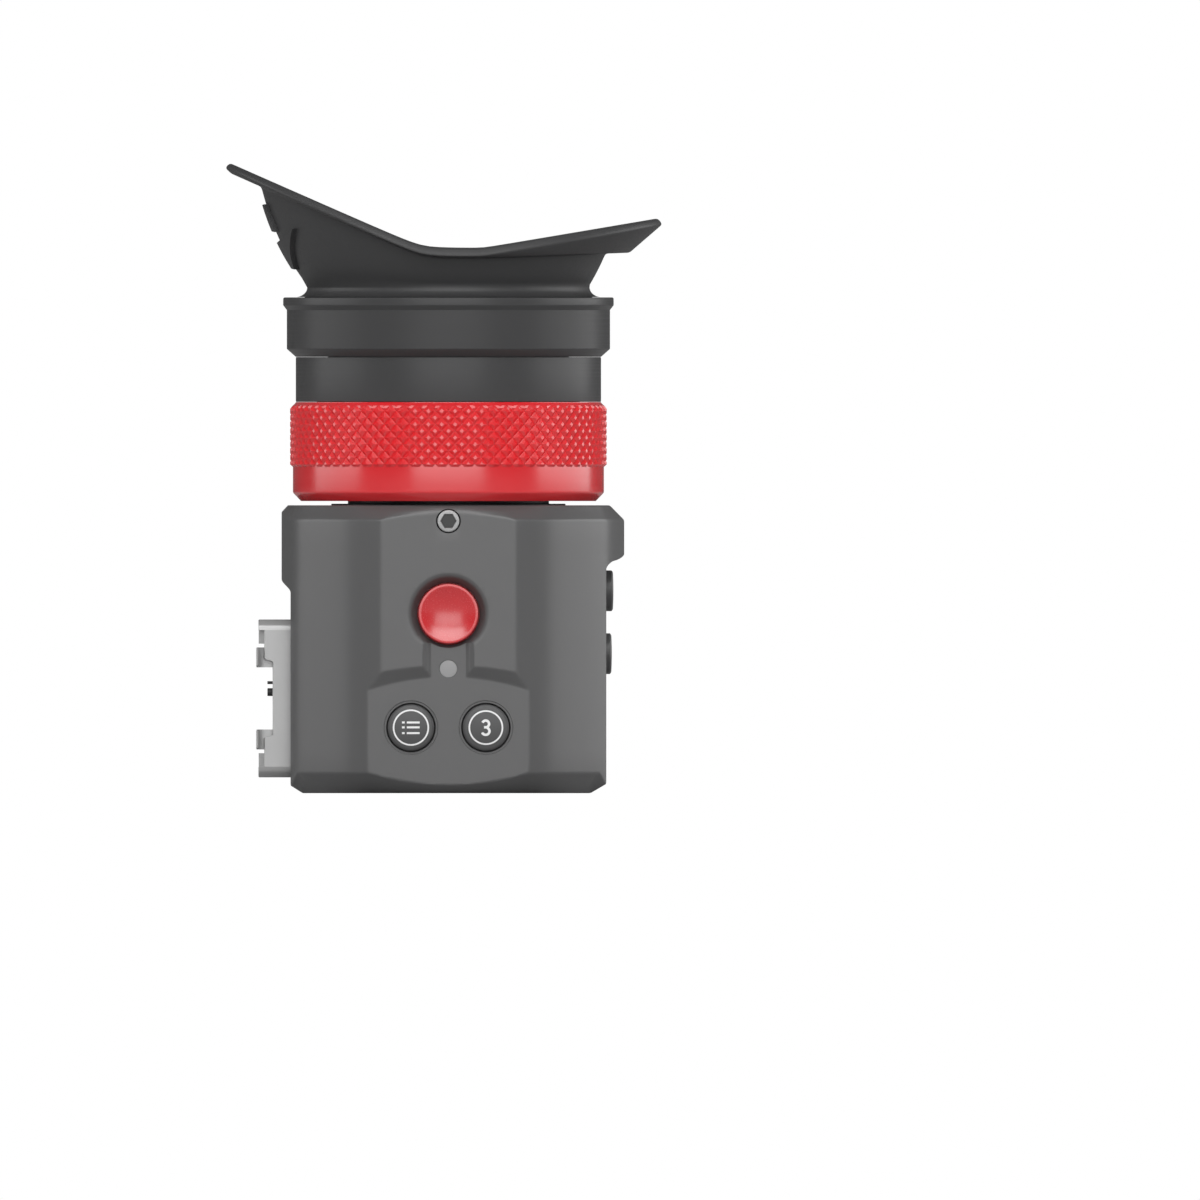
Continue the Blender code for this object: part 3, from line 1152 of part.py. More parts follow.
def make_lens_group():
    """Sliding carrier with its pins, three lenses, two spacers and the retainer."""
    floor = CARRIER_BASE + CARRIER_LIP_HEIGHT
    outline = [
        (CARRIER_LIP_RADIUS, CARRIER_BASE),
        (CARRIER_RADIUS, CARRIER_BASE),
        (CARRIER_RADIUS, CARRIER_TOP),
        (CARRIER_BORE, CARRIER_TOP),
        (CARRIER_BORE, floor),
        (CARRIER_LIP_RADIUS, floor),
    ]
    carrier = turned("lens_carrier", outline, "black_plastic")
    pin_root = CARRIER_BORE + SEAT_GAP
    pin_tip = TUBE_RADIUS + PIN_ENGAGEMENT
    for index, turn in enumerate(pin_turns()):
        place = radial_place(turn, PIN_HEIGHT)
        hole = rod(f"pin_hole_cut_{index + 1}", PIN_RADIUS + SEAT_GAP, 0, TUBE_RADIUS, "black_plastic",
                   SCREW_STEPS, **place)
        cut(carrier, hole)
        rod(f"follower_pin_{index + 1}", PIN_RADIUS, pin_root, pin_tip, "steel", SCREW_STEPS, **place)
    low = floor + SEAT_GAP
    turned("field_lens", lens_outline(low, FIELD_LENS_EDGE, FIELD_LENS_BULGE), "lens_glass", LENS_STEPS)
    low += FIELD_LENS_EDGE + SEAT_GAP
    low = make_spacer("lower_spacer", low, SPACER_HEIGHT, SPACER_WALL)
    turned("middle_lens", lens_outline(low, MIDDLE_LENS_EDGE, MIDDLE_LENS_BULGE), "lens_glass", LENS_STEPS)
    low += MIDDLE_LENS_EDGE + SEAT_GAP
    low = make_spacer("upper_spacer", low, SPACER_HEIGHT, SPACER_WALL)
    turned("eye_lens", lens_outline(low, EYE_LENS_EDGE, EYE_LENS_BULGE), "lens_glass", LENS_STEPS)
    low += EYE_LENS_EDGE + SEAT_GAP
    make_spacer("lens_retainer", low, RETAINER_HEIGHT, RETAINER_WALL)


def make_spacer(name, low, height, wall):
    """Plain ring in the carrier's bore; gives the seat height above it."""
    outer = CARRIER_BORE - SEAT_GAP
    inner = outer - wall
    high = low + height
    turned(name, [(inner, low), (outer, low), (outer, high), (inner, high)], "black_plastic", LENS_STEPS)
    return high + SEAT_GAP


def soft_ramp(distance, rounding):
    """Zero before the start and the distance after it, with a rounded corner."""
    return (distance + math.hypot(distance, rounding)) / 2


def rim_height(x):
    """Top edge of the brim at this place across."""
    left = RIM_LEFT_SLOPE_SHARE * soft_ramp(-x - RIM_LEFT_START, RIM_LEFT_ROUND)
    right = RIM_RIGHT_SLOPE_SHARE * soft_ramp(x - RIM_RIGHT_START, RIM_RIGHT_ROUND)
    return RIM_LOW + left + right


def under_height(x):
    """Underside of the brim at this place across; nearly level below the visor."""
    left = RIM_LEFT_SLOPE_SHARE * soft_ramp(-x - RIM_LEFT_START, RIM_LEFT_ROUND)
    right = VISOR_UNDER_SLOPE_SHARE * soft_ramp(x - RIM_RIGHT_START, RIM_RIGHT_ROUND)
    return RIM_LOW - BRIM_THICKNESS + left + right


def wall_radius(turn, height):
    """Outer radius of the eyecup's flared wall at this turn and height."""
    side = math.cos(turn)
    flare = EYECUP_FLARE_FRONT
    if side < 0:
        flare += (EYECUP_FLARE_LEFT - EYECUP_FLARE_FRONT) * side**2
    else:
        flare += (EYECUP_FLARE_RIGHT - EYECUP_FLARE_FRONT) * side**2
    rise = max(height - HOLDER_TOP - SEAT_GAP - EYECUP_NECK_RISE - EYECUP_FLARE_START, 0)
    return EYECUP_NECK_RADIUS + flare * (1 - math.exp(-rise / EYECUP_FLARE_HEIGHT))


def wall_top(turn):
    """Height where the wall meets the brim's underside."""
    height = HOLDER_TOP + RIM_RISE
    for _ in range(ARCH_STEPS):
        height = under_height(wall_radius(turn, height) * math.cos(turn))
    return height


def brim_point(turn, left, right, half_depth, height_at):
    """Point of a brim outline, an ellipse with unlike ends."""
    reach = right if math.cos(turn) > 0 else left
    x = reach * math.cos(turn)
    return Vector((x, half_depth * math.sin(turn), height_at(x)))


def edge_height(x):
    """Lower corner of the brim's outer edge."""
    return rim_height(x) - BRIM_EDGE_THICKNESS


def eyecup_rings():
    """Rings of the eyecup: foot and bead, neck, flared wall, brim, mouth and inner wall."""
    turns = [2 * math.pi * index / EYECUP_STEPS for index in range(EYECUP_STEPS)]
    seat = HOLDER_TOP + SEAT_GAP
    neck = seat + EYECUP_NECK_RISE
    bead_top = SPIGOT_BOTTOM + EYECUP_BEAD_HEIGHT
    bead = EYECUP_SPIGOT_RADIUS + EYECUP_BEAD_REACH - SEAT_GAP
    core_top = SPIGOT_BOTTOM + CORE_RING_HEIGHT + SEAT_GAP
    neck_bore = EYECUP_NECK_RADIUS - EYECUP_WALL
    fillet_reach = EYECUP_FOOT_REACH * EYECUP_FILLET_SHARES[0]
    fillet_rise = EYECUP_NECK_RISE * EYECUP_FILLET_SHARES[1]
    foot = [
        (EYECUP_INNER_RADIUS, SPIGOT_BOTTOM),
        (bead, SPIGOT_BOTTOM),
        (bead, bead_top),
        (EYECUP_SPIGOT_RADIUS, bead_top),
        (EYECUP_SPIGOT_RADIUS, seat),
        (EYECUP_NECK_RADIUS + EYECUP_FOOT_REACH, seat),
        (EYECUP_NECK_RADIUS + fillet_reach, seat + fillet_rise),
        (EYECUP_NECK_RADIUS, neck),
    ]
    rings = [circle(radius, height, EYECUP_STEPS) for radius, height in foot]
    outer_wall = []
    inner_wall = []
    for share in EYECUP_WALL_SHARES:
        outer_ring = []
        inner_ring = []
        for turn in turns:
            height = neck + share * (wall_top(turn) - neck)
            radius = wall_radius(turn, height)
            direction = Vector((math.cos(turn), math.sin(turn), 0))
            lift = Vector((0, 0, height))
            outer_ring.append(direction * radius + lift)
            inner_ring.append(direction * (radius - EYECUP_WALL) + lift)
        outer_wall.append(outer_ring)
        inner_wall.append(inner_ring)
    knee_left = BRIM_LEFT - BRIM_KNEE_INSET
    knee_right = BRIM_RIGHT - BRIM_VISOR_OVERHANG
    knee_depth = BRIM_HALF_DEPTH - BRIM_KNEE_INSET
    knee = [brim_point(turn, knee_left, knee_right, knee_depth, under_height) for turn in turns]
    tip_low = [brim_point(turn, BRIM_LEFT, BRIM_RIGHT, BRIM_HALF_DEPTH, edge_height) for turn in turns]
    tip_high = [brim_point(turn, BRIM_LEFT, BRIM_RIGHT, BRIM_HALF_DEPTH, rim_height) for turn in turns]
    mouth = []
    for turn in turns:
        radius = wall_radius(turn, wall_top(turn)) - EYECUP_WALL / 2
        x = radius * math.cos(turn)
        mouth.append(Vector((x, radius * math.sin(turn), rim_height(x) - BRIM_KNEE_INSET)))
    rings += outer_wall + [knee, tip_low, tip_high, mouth]
    rings += list(reversed(inner_wall))
    rings += [circle(neck_bore, height, EYECUP_STEPS) for height in (neck, core_top)]
    rings.append(circle(EYECUP_INNER_RADIUS, core_top, EYECUP_STEPS))
    return rings


def make_eyecup():
    """Rubber eyecup and the stiff core ring in its foot."""
    add_object("eyecup", ring_mesh(eyecup_rings(), closed=True), "rubber")
    outer = EYECUP_INNER_RADIUS - SEAT_GAP
    inner = outer - CORE_RING_WALL
    low = SPIGOT_BOTTOM
    high = low + CORE_RING_HEIGHT
    turned("eyecup_core_ring", [(inner, low), (outer, low), (outer, high), (inner, high)], "black_plastic",
           EYECUP_STEPS)


def make_display():
    """Window, frame, panel, board and screws of the display, under the ceiling."""
    rod("display_window", THROAT_RADIUS + WINDOW_RIM - SEAT_GAP, WINDOW_BASE, WINDOW_BASE + WINDOW_THICKNESS,
        "lens_glass", LENS_STEPS)
    half_x = DISPLAY_FRAME_HALF_WIDTH
    half_y = DISPLAY_FRAME_HALF_DEPTH
    frame = box("display_frame", (-half_x, -half_y, DISPLAY_FRAME_BASE), (half_x, half_y, DISPLAY_FRAME_TOP),
                "black_plastic")
    x = DISPLAY_OPENING_HALF_WIDTH
    y = DISPLAY_OPENING_HALF_DEPTH
    low = DISPLAY_FRAME_BASE - CUT_OVERRUN
    high = DISPLAY_FRAME_TOP + CUT_OVERRUN
    cut(frame, box("display_opening_cut", (-x, -y, low), (x, y, high), "black_plastic"))
    x = DISPLAY_PANEL_HALF_WIDTH + SEAT_GAP
    y = DISPLAY_PANEL_HALF_DEPTH + SEAT_GAP
    ceiling = DISPLAY_FRAME_BASE + DISPLAY_RECESS_DEPTH
    cut(frame, box("display_recess_cut", (-x, -y, low), (x, y, ceiling), "black_plastic"))
    x = DISPLAY_PANEL_HALF_WIDTH
    y = DISPLAY_PANEL_HALF_DEPTH
    box("display_panel", (-x, -y, DISPLAY_PANEL_BASE), (x, y, DISPLAY_PANEL_TOP), "display_glass")
    x = DISPLAY_BOARD_HALF_WIDTH
    y = DISPLAY_BOARD_HALF_DEPTH
    box("display_board", (-x, -y, DISPLAY_BOARD_BASE), (x, y, DISPLAY_BOARD_TOP), "board_green")
    radius = SCREW_SHANK_RADIUS + SEAT_GAP
    for index, sign in enumerate((-1, 1)):
        place = (sign * DISPLAY_SCREW_OFFSET, 0, 0)
        cut(frame, rod(f"frame_hole_cut_{index + 1}", radius, low, high, "black_plastic", SCREW_STEPS,
                       location=place))
        head = DISPLAY_FRAME_BASE - SEAT_GAP
        turned(f"display_screw_{index + 1}", screw_outline(DISPLAY_SCREW_LENGTH), "steel", SCREW_STEPS,
               location=(place[0], 0, head), rotation=(math.pi, 0, 0))


def make_main_board():
    """Main board on its posts, with two screws and the processor."""
    x = MAIN_BOARD_HALF_WIDTH
    y = MAIN_BOARD_HALF_DEPTH
    outline = rounded_rectangle(-x, -y, x, y, MAIN_BOARD_CORNER, RECEPTACLE_CORNER_STEPS)
    board = prism("main_board", outline, MAIN_BOARD_BASE, MAIN_BOARD_TOP, "board_green")
    radius = SCREW_SHANK_RADIUS + SEAT_GAP
    low = MAIN_BOARD_BASE - CUT_OVERRUN
    high = MAIN_BOARD_TOP + CUT_OVERRUN
    for index, sign in enumerate((-1, 1)):
        place = (sign * MAIN_SCREW_OFFSET_X, sign * MAIN_SCREW_OFFSET_Y, 0)
        cut(board, rod(f"board_hole_cut_{index + 1}", radius, low, high, "board_green", SCREW_STEPS,
                       location=place))
        turned(f"main_board_screw_{index + 1}", screw_outline(BOARD_SCREW_LENGTH), "steel", SCREW_STEPS,
               location=(place[0], place[1], MAIN_BOARD_TOP + SEAT_GAP))
    half = PROCESSOR_HALF_WIDTH
    base = MAIN_BOARD_TOP + SEAT_GAP
    box("processor", (-half, -half, base), (half, half, base + PROCESSOR_THICKNESS), "chip_black")


def make_ribbon_cable():
    """Flat cable from under the display board, down to the top of the main board."""
    radius = RIBBON_BEND_RADIUS
    top = DISPLAY_BOARD_BASE - SEAT_GAP
    bottom = MAIN_BOARD_TOP + SEAT_GAP
    edge = DISPLAY_BOARD_HALF_DEPTH
    quarter = math.pi / 2
    outer = [(edge - RIBBON_LAP, top)]
    outer += arc(edge, top - radius, radius, quarter, 0, RIBBON_BEND_STEPS)
    outer += arc(edge, bottom + radius, radius, 0, -quarter, RIBBON_BEND_STEPS)
    outer.append((edge - RIBBON_LAP, bottom))
    inner_radius = radius - RIBBON_THICKNESS
    inner = [(edge - RIBBON_LAP, bottom + RIBBON_THICKNESS)]
    inner += arc(edge, bottom + radius, inner_radius, -quarter, 0, RIBBON_BEND_STEPS)
    inner += arc(edge, top - radius, inner_radius, 0, quarter, RIBBON_BEND_STEPS)
    inner.append((edge - RIBBON_LAP, top - RIBBON_THICKNESS))
    outline = list(reversed(outer + inner))
    half = RIBBON_HALF_WIDTH
    turn = Matrix(((0, 0, 1), (1, 0, 0), (0, 1, 0))).to_euler()
    prism("ribbon_cable", outline, -half, half, "ribbon_amber", rotation=turn)


def make_switch(name, place, rotation):
    """Push switch on a button board: square body with a round plunger towards the button."""
    half = SWITCH_HALF_WIDTH
    tip = -SWITCH_TIP_DEPTH
    shoulder = tip - SWITCH_PLUNGER_HEIGHT
    base = shoulder - SWITCH_BODY_HEIGHT
    facing = {"location": place, "rotation": rotation}
    body = box(name, (-half, -half, base), (half, half, shoulder), "black_plastic", **facing)
    root = shoulder - SWITCH_BODY_HEIGHT / 2
    fuse(body, rod(f"{name}_plunger", SWITCH_PLUNGER_RADIUS, root, tip, "black_plastic", SCREW_STEPS,
                   **facing))


def make_button_boards():
    """Front and side button boards with their switches and the status lamp."""
    half = BUTTON_BOARD_HALF_WIDTH
    front = SWITCH_BOARD_DEPTH
    face = -FRONT_INNER + front
    low = (-half, face, BUTTON_BOARD_BOTTOM)
    high = (half, face + BOARD_THICKNESS, BUTTON_BOARD_TOP)
    box("button_board", low, high, "board_green")
    make_switch("record_switch", (0, -FRONT_INNER, RECORD_CENTER), FACE_FORWARD)
    make_switch("menu_switch", (-KEY_OFFSET, -FRONT_INNER, KEY_CENTER), FACE_FORWARD)
    make_switch("number_switch", (KEY_OFFSET, -FRONT_INNER, KEY_CENTER), FACE_FORWARD)
    half = STATUS_LAMP_HALF_WIDTH
    base = -front + SEAT_GAP
    box("status_lamp", (-half, -half, base), (half, half, base + STATUS_LAMP_HEIGHT), "lamp_white",
        location=(0, -FRONT_INNER, STATUS_CENTER), rotation=FACE_FORWARD)
    half = SIDE_BOARD_HALF_WIDTH
    bottom, top = side_board_span()
    face = SIDE_INNER - front
    box("side_button_board", (face - BOARD_THICKNESS, -half, bottom), (face, half, top), "board_green")
    make_switch("upper_side_switch", (SIDE_INNER, 0, UPPER_SIDE_CENTER), FACE_RIGHT)
    make_switch("lower_side_switch", (SIDE_INNER, 0, LOWER_SIDE_CENTER), FACE_RIGHT)


def make_light_pipe():
    """Round clear pipe from the status lamp to the channel's floor."""
    base = -SWITCH_BOARD_DEPTH + 2 * SEAT_GAP + STATUS_LAMP_HEIGHT
    rod("light_pipe", STATUS_RADIUS, base, FRONT_WALL - STATUS_SINK, "lamp_white",
        location=(0, -FRONT_INNER, STATUS_CENTER), rotation=FACE_FORWARD)


def button_outline(cap_radius, travel, top):
    """Stem, flange and straight side of a button's cap up to the given top outline."""
    stem = -SWITCH_TIP_DEPTH + travel + BUTTON_STEM_GAP
    rest = BUTTON_FLANGE_REST
    flange = cap_radius + BUTTON_FLANGE_REACH
    outline = [(0, stem), (BUTTON_STEM_RADIUS, stem), (BUTTON_STEM_RADIUS, rest), (flange, rest)]
    outline += [(flange, rest + BUTTON_FLANGE_THICKNESS), (cap_radius, rest + BUTTON_FLANGE_THICKNESS)]
    return outline + top


def domed_top(radius, edge_height, rise):
    """Rounded edge and low dome of a cap."""
    inner = radius - BUTTON_CAP_EDGE
    top = [(radius, edge_height - BUTTON_CAP_EDGE), (inner, edge_height)]
    for index in range(1, BUTTON_DOME_STEPS + 1):
        share = index / BUTTON_DOME_STEPS
        top.append((inner * (1 - share), edge_height + rise * (1 - (1 - share) ** 2)))
    return top


def dished_top(radius, dish_radius, edge_height, depth):
    """Narrow rim round a round dish."""
    top = [(radius, edge_height - BUTTON_CAP_EDGE / 2), (radius - BUTTON_CAP_EDGE / 2, edge_height)]
    top.append((dish_radius, edge_height))
    for index in range(1, BUTTON_DOME_STEPS + 1):
        share = index / BUTTON_DOME_STEPS
        top.append((dish_radius * (1 - share), edge_height - depth * (1 - (1 - share) ** 2)))
    return top


def make_buttons():
    """Record, menu, number and two side buttons, each on its own axis."""
    face = UPPER_PANEL_DEPTH - FRONT_INNER + RECORD_PROUD
    top = dished_top(RECORD_CAP_RADIUS, RECORD_DISH_RADIUS, face, RECORD_DISH_DEPTH)
    outline = button_outline(RECORD_CAP_RADIUS, RECORD_TRAVEL, top)
    turned("record_button", outline, "red_plastic", LENS_STEPS, location=(0, -FRONT_INNER, RECORD_CENTER),
           rotation=FACE_FORWARD)
    top = domed_top(KEY_CAP_RADIUS, FRONT_WALL + KEY_PROUD, KEY_DOME_RISE)
    outline = button_outline(KEY_CAP_RADIUS, BUTTON_TRAVEL, top)
    for name, sign in (("menu_button", -1), ("number_button", 1)):
        place = (sign * KEY_OFFSET, -FRONT_INNER, KEY_CENTER)
        turned(name, outline, "button_plastic", SMALL_STEPS, location=place, rotation=FACE_FORWARD)
    sides = (
        ("upper_side_button", UPPER_SIDE_CENTER, UPPER_SIDE_PROUD),
        ("lower_side_button", LOWER_SIDE_CENTER, LOWER_SIDE_PROUD),
    )
    for name, height, proud in sides:
        top = domed_top(SIDE_CAP_RADIUS, SIDE_WALL + proud - SIDE_DOME_RISE, SIDE_DOME_RISE)
        outline = button_outline(SIDE_CAP_RADIUS, BUTTON_TRAVEL, top)
        place = (SIDE_INNER, 0, height)
        turned(name, outline, "button_plastic", SMALL_STEPS, location=place, rotation=FACE_RIGHT)


def make_receptacle_shell():
    """Sheet metal shell: a rounded tube with its mouth trimmed and notched on both faces."""
    height = RECEPTACLE_HALF_HEIGHT
    width = RECEPTACLE_HALF_WIDTH
    mouth = BODY_HALF_WIDTH + RECEPTACLE_REACH
    facing = {"location": (0, 0, RECEPTACLE_CENTER), "rotation": (0, -math.pi / 2, 0)}
    outline = rounded_rectangle(-height, -width, height, width, RECEPTACLE_CORNER, RECEPTACLE_CORNER_STEPS)
    shell = prism("receptacle_shell", outline, RECEPTACLE_INNER_END, mouth, "bright_metal", **facing)
    wall = RECEPTACLE_WALL
    inner_corner = RECEPTACLE_CORNER - wall
    inner = rounded_rectangle(wall - height, wall - width, height - wall, width - wall, inner_corner,
                              RECEPTACLE_CORNER_STEPS)
    low = RECEPTACLE_INNER_END - CUT_OVERRUN
    high = mouth + CUT_OVERRUN
    cut(shell, prism("shell_room_cut", inner, low, high, "bright_metal", **facing))
    far = width + CUT_OVERRUN
    trim = height - RECEPTACLE_TRIM_MARGIN
    edge = mouth - RECEPTACLE_TRIM
    cut(shell, box("shell_trim_cut", (-trim, -far, edge), (trim, far, high), "bright_metal", **facing))
    notch = RECEPTACLE_NOTCH_HALF_HEIGHT
    edge = mouth - RECEPTACLE_NOTCH_DEPTH
    cut(shell, box("shell_notch_cut", (-notch, -far, edge), (notch, far, high), "bright_metal", **facing))


def make_receptacle_core():
    """Insulator with its tongue, one contact comb on each side, and the board behind it."""
    height = RECEPTACLE_HALF_HEIGHT - RECEPTACLE_WALL - SEAT_GAP
    width = RECEPTACLE_HALF_WIDTH - RECEPTACLE_WALL - SEAT_GAP
    root = RECEPTACLE_INNER_END
    block_end = root + INSULATOR_BLOCK
    tip = block_end + TONGUE_LENGTH
    thin = TONGUE_HALF_THICKNESS
    outline = [(root, -width), (block_end, -width), (block_end, -thin), (tip, -thin)]
    outline += [(tip, thin), (block_end, thin), (block_end, width), (root, width)]
    mirrored = [(-x, y) for x, y in reversed(outline)]
    low = RECEPTACLE_CENTER - height
    prism("receptacle_insulator", mirrored, low, low + 2 * height, "black_plastic")
    for side, sign in (("front", -1), ("rear", 1)):
        near = sign * (thin + SEAT_GAP / 2)
        far = near + sign * CONTACT_THICKNESS
        bottom, top = sorted((-near, -far))
        prism(f"{side}_contacts", contact_outline(block_end), bottom, top, "contact_gold",
              rotation=FACE_FORWARD, location=(0, 0, RECEPTACLE_CENTER))
    half = RECEPTACLE_BOARD_HALF_WIDTH
    face = -root + SEAT_GAP
    box("receptacle_board", (face, -half, RECEPTACLE_BOARD_BOTTOM),
        (face + BOARD_THICKNESS, half, RECEPTACLE_BOARD_TOP), "board_green")


def contact_outline(block_end):
    """Comb of contact fingers that leave the insulator block, across and up."""
    root = -(block_end + SEAT_GAP / 2)
    bar = root - CONTACT_BAR
    tip = bar - CONTACT_LENGTH
    first = -CONTACT_PITCH * (CONTACT_COUNT - 1) / 2
    half = CONTACT_WIDTH / 2
    points = []
    for index in range(CONTACT_COUNT):
        center = first + index * CONTACT_PITCH
        points += [(bar, center - half), (tip, center - half)]
        points += [(tip, center + half), (bar, center + half)]
    points += [(root, center + half), (root, first - half)]
    return list(reversed(points))


def turn_faces_outwards(item):
    """Turn a solid's faces outwards where a mirrored outline left them inside out."""
    mesh_data = bmesh.new()
    mesh_data.from_mesh(item.data)
    bmesh.ops.recalc_face_normals(mesh_data, faces=mesh_data.faces)
    mesh_data.to_mesh(item.data)
    mesh_data.free()


def main():
    """Build every piece and hang them all on one empty at the origin."""
    clear_scene()
    make_housing()
    make_base_cover()
    make_rear_cover()
    make_clamp_screw()
    make_ocular_barrel()
    make_friction_ring()
    make_stop_pin()
    make_diopter_ring()
    make_upper_barrel()
    make_eyecup_holder()
    make_eyepiece_bezel()
    make_lens_group()
    make_eyecup()
    make_display()
    make_main_board()
    make_ribbon_cable()
    make_button_boards()
    make_light_pipe()
    make_buttons()
    make_receptacle_shell()
    make_receptacle_core()
    viewfinder = bpy.data.objects.new("viewfinder", None)
    bpy.context.scene.collection.objects.link(viewfinder)
    for item in bpy.data.objects:
        if item.type == "MESH":
            turn_faces_outwards(item)
            item.parent = viewfinder


main()
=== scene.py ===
"""Electronic viewfinder: dressed pieces, finishes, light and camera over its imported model.

Every size inside the classes is in millimetres and becomes metres where a mesh is made. The optical
axis is Z with the eyepiece up, the button face looks towards -Y, the side buttons towards +X and the
interface receptacle towards -X.
"""

from __future__ import annotations

import logging
import math
from collections.abc import Sequence
from dataclasses import dataclass
from enum import Enum
from typing import Any

import bmesh
import bpy
from mathutils import Matrix, Vector


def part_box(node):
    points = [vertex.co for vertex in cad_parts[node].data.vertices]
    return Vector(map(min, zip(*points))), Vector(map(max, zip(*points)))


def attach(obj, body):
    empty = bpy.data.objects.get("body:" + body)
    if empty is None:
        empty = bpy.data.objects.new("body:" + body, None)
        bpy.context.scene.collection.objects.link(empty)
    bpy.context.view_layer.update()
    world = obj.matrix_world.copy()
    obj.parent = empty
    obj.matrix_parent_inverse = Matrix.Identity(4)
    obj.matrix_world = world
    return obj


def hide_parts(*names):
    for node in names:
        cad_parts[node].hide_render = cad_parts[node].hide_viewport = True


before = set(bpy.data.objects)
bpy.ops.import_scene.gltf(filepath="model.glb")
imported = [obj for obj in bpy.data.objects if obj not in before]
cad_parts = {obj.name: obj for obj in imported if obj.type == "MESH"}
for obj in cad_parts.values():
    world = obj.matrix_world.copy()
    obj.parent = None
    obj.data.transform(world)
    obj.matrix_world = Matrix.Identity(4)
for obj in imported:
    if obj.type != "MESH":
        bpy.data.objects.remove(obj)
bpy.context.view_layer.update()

LOG = logging.getLogger("viewfinder")
MM = 0.001
BODY = "viewfinder_body"
QUARTER = math.pi / 2
COAT_ROUGHNESS = 0.15
NOISE_ROUGHNESS = 0.55
NOISE_SPAN = (0.3, 0.7)
BRUSHED_STRETCH = 0.03
MIX_COLORS = (6, 7)
MIX_RESULT = 2
TRACK_SIZE = 2.2
TRACK_EDGE = 0.52
TRACK_TINT = (1.9, 0.01)
LONGEST_ROUND = 0.45
LIP_END = math.radians(80)
LIP_STEPS = 6
LIP_OVERRUN = 1.2
REAR_PLATE = (13.5, 20.0, 3.0)
WALL_TOP_ROUNDS = 10
LAMP_AIM = (0, 0, 0.055)

Flat = tuple[float, float]
Triple = tuple[float, float, float]
Outline = Sequence[tuple[float, ...]]
Ring = list[Vector]


class Facing(Enum):
    """Which way a piece's own outward axis points, as its three axes."""

    UP = ((1, 0, 0), (0, 1, 0), (0, 0, 1))
    DOWN = ((1, 0, 0), (0, -1, 0), (0, 0, -1))
    FRONT = ((1, 0, 0), (0, 0, 1), (0, -1, 0))
    REAR = ((-1, 0, 0), (0, 0, 1), (0, 1, 0))
    RIGHT = ((0, 1, 0), (0, 0, 1), (1, 0, 0))
    LEFT = ((0, -1, 0), (0, 0, 1), (-1, 0, 0))

    def at(self, place: Sequence[float] = (0, 0, 0)) -> Matrix:
        """Placement of a piece that faces this way.

        Args:
            place: where its own origin stands, in millimetres.

        Returns:
            The matrix from the piece's own axes to the frame.
        """
        matrix = Matrix(self.value).transposed().to_4x4()
        matrix.translation = Vector(place)
        return matrix


class Grain(Enum):
    """How a finish's fine texture lies on the surface."""

    EVEN = "the same in all directions"
    TURNED = "rings round the optical axis"
    BRUSHED = "lines along the optical axis"
    TRACKS = "square copper tracks under a solder mask"


class NodeGraph:
    """Short way to fill a node tree of either kind."""

    def __init__(self, tree: bpy.types.NodeTree) -> None:
        """Keep the tree that the nodes go into."""
        self.tree = tree

    def add(self, kind: str, inputs: dict[Any, Any] | None = None, **settings: Any) -> bpy.types.Node:
        """Add a node.

        Args:
            kind: Blender's name of the node type.
            inputs: values or output sockets by input name or number.
            settings: the node's own properties.

        Returns:
            The new node.
        """
        node = self.tree.nodes.new(kind)
        for key, value in settings.items():
            setattr(node, key, value)
        for key, value in (inputs or {}).items():
            if isinstance(value, bpy.types.NodeSocket):
                self.tree.links.new(value, node.inputs[key])
            else:
                node.inputs[key].default_value = value
        return node

    def math(self, operation: str, *values: Any) -> bpy.types.NodeSocket:
        """Add a Math node.

        Args:
            operation: Blender's name of the operation.
            values: numbers or sockets for its inputs, in order.

        Returns:
            The node's output socket.
        """
        node = self.add("ShaderNodeMath", dict(enumerate(values)), operation=operation)
        return node.outputs[0]


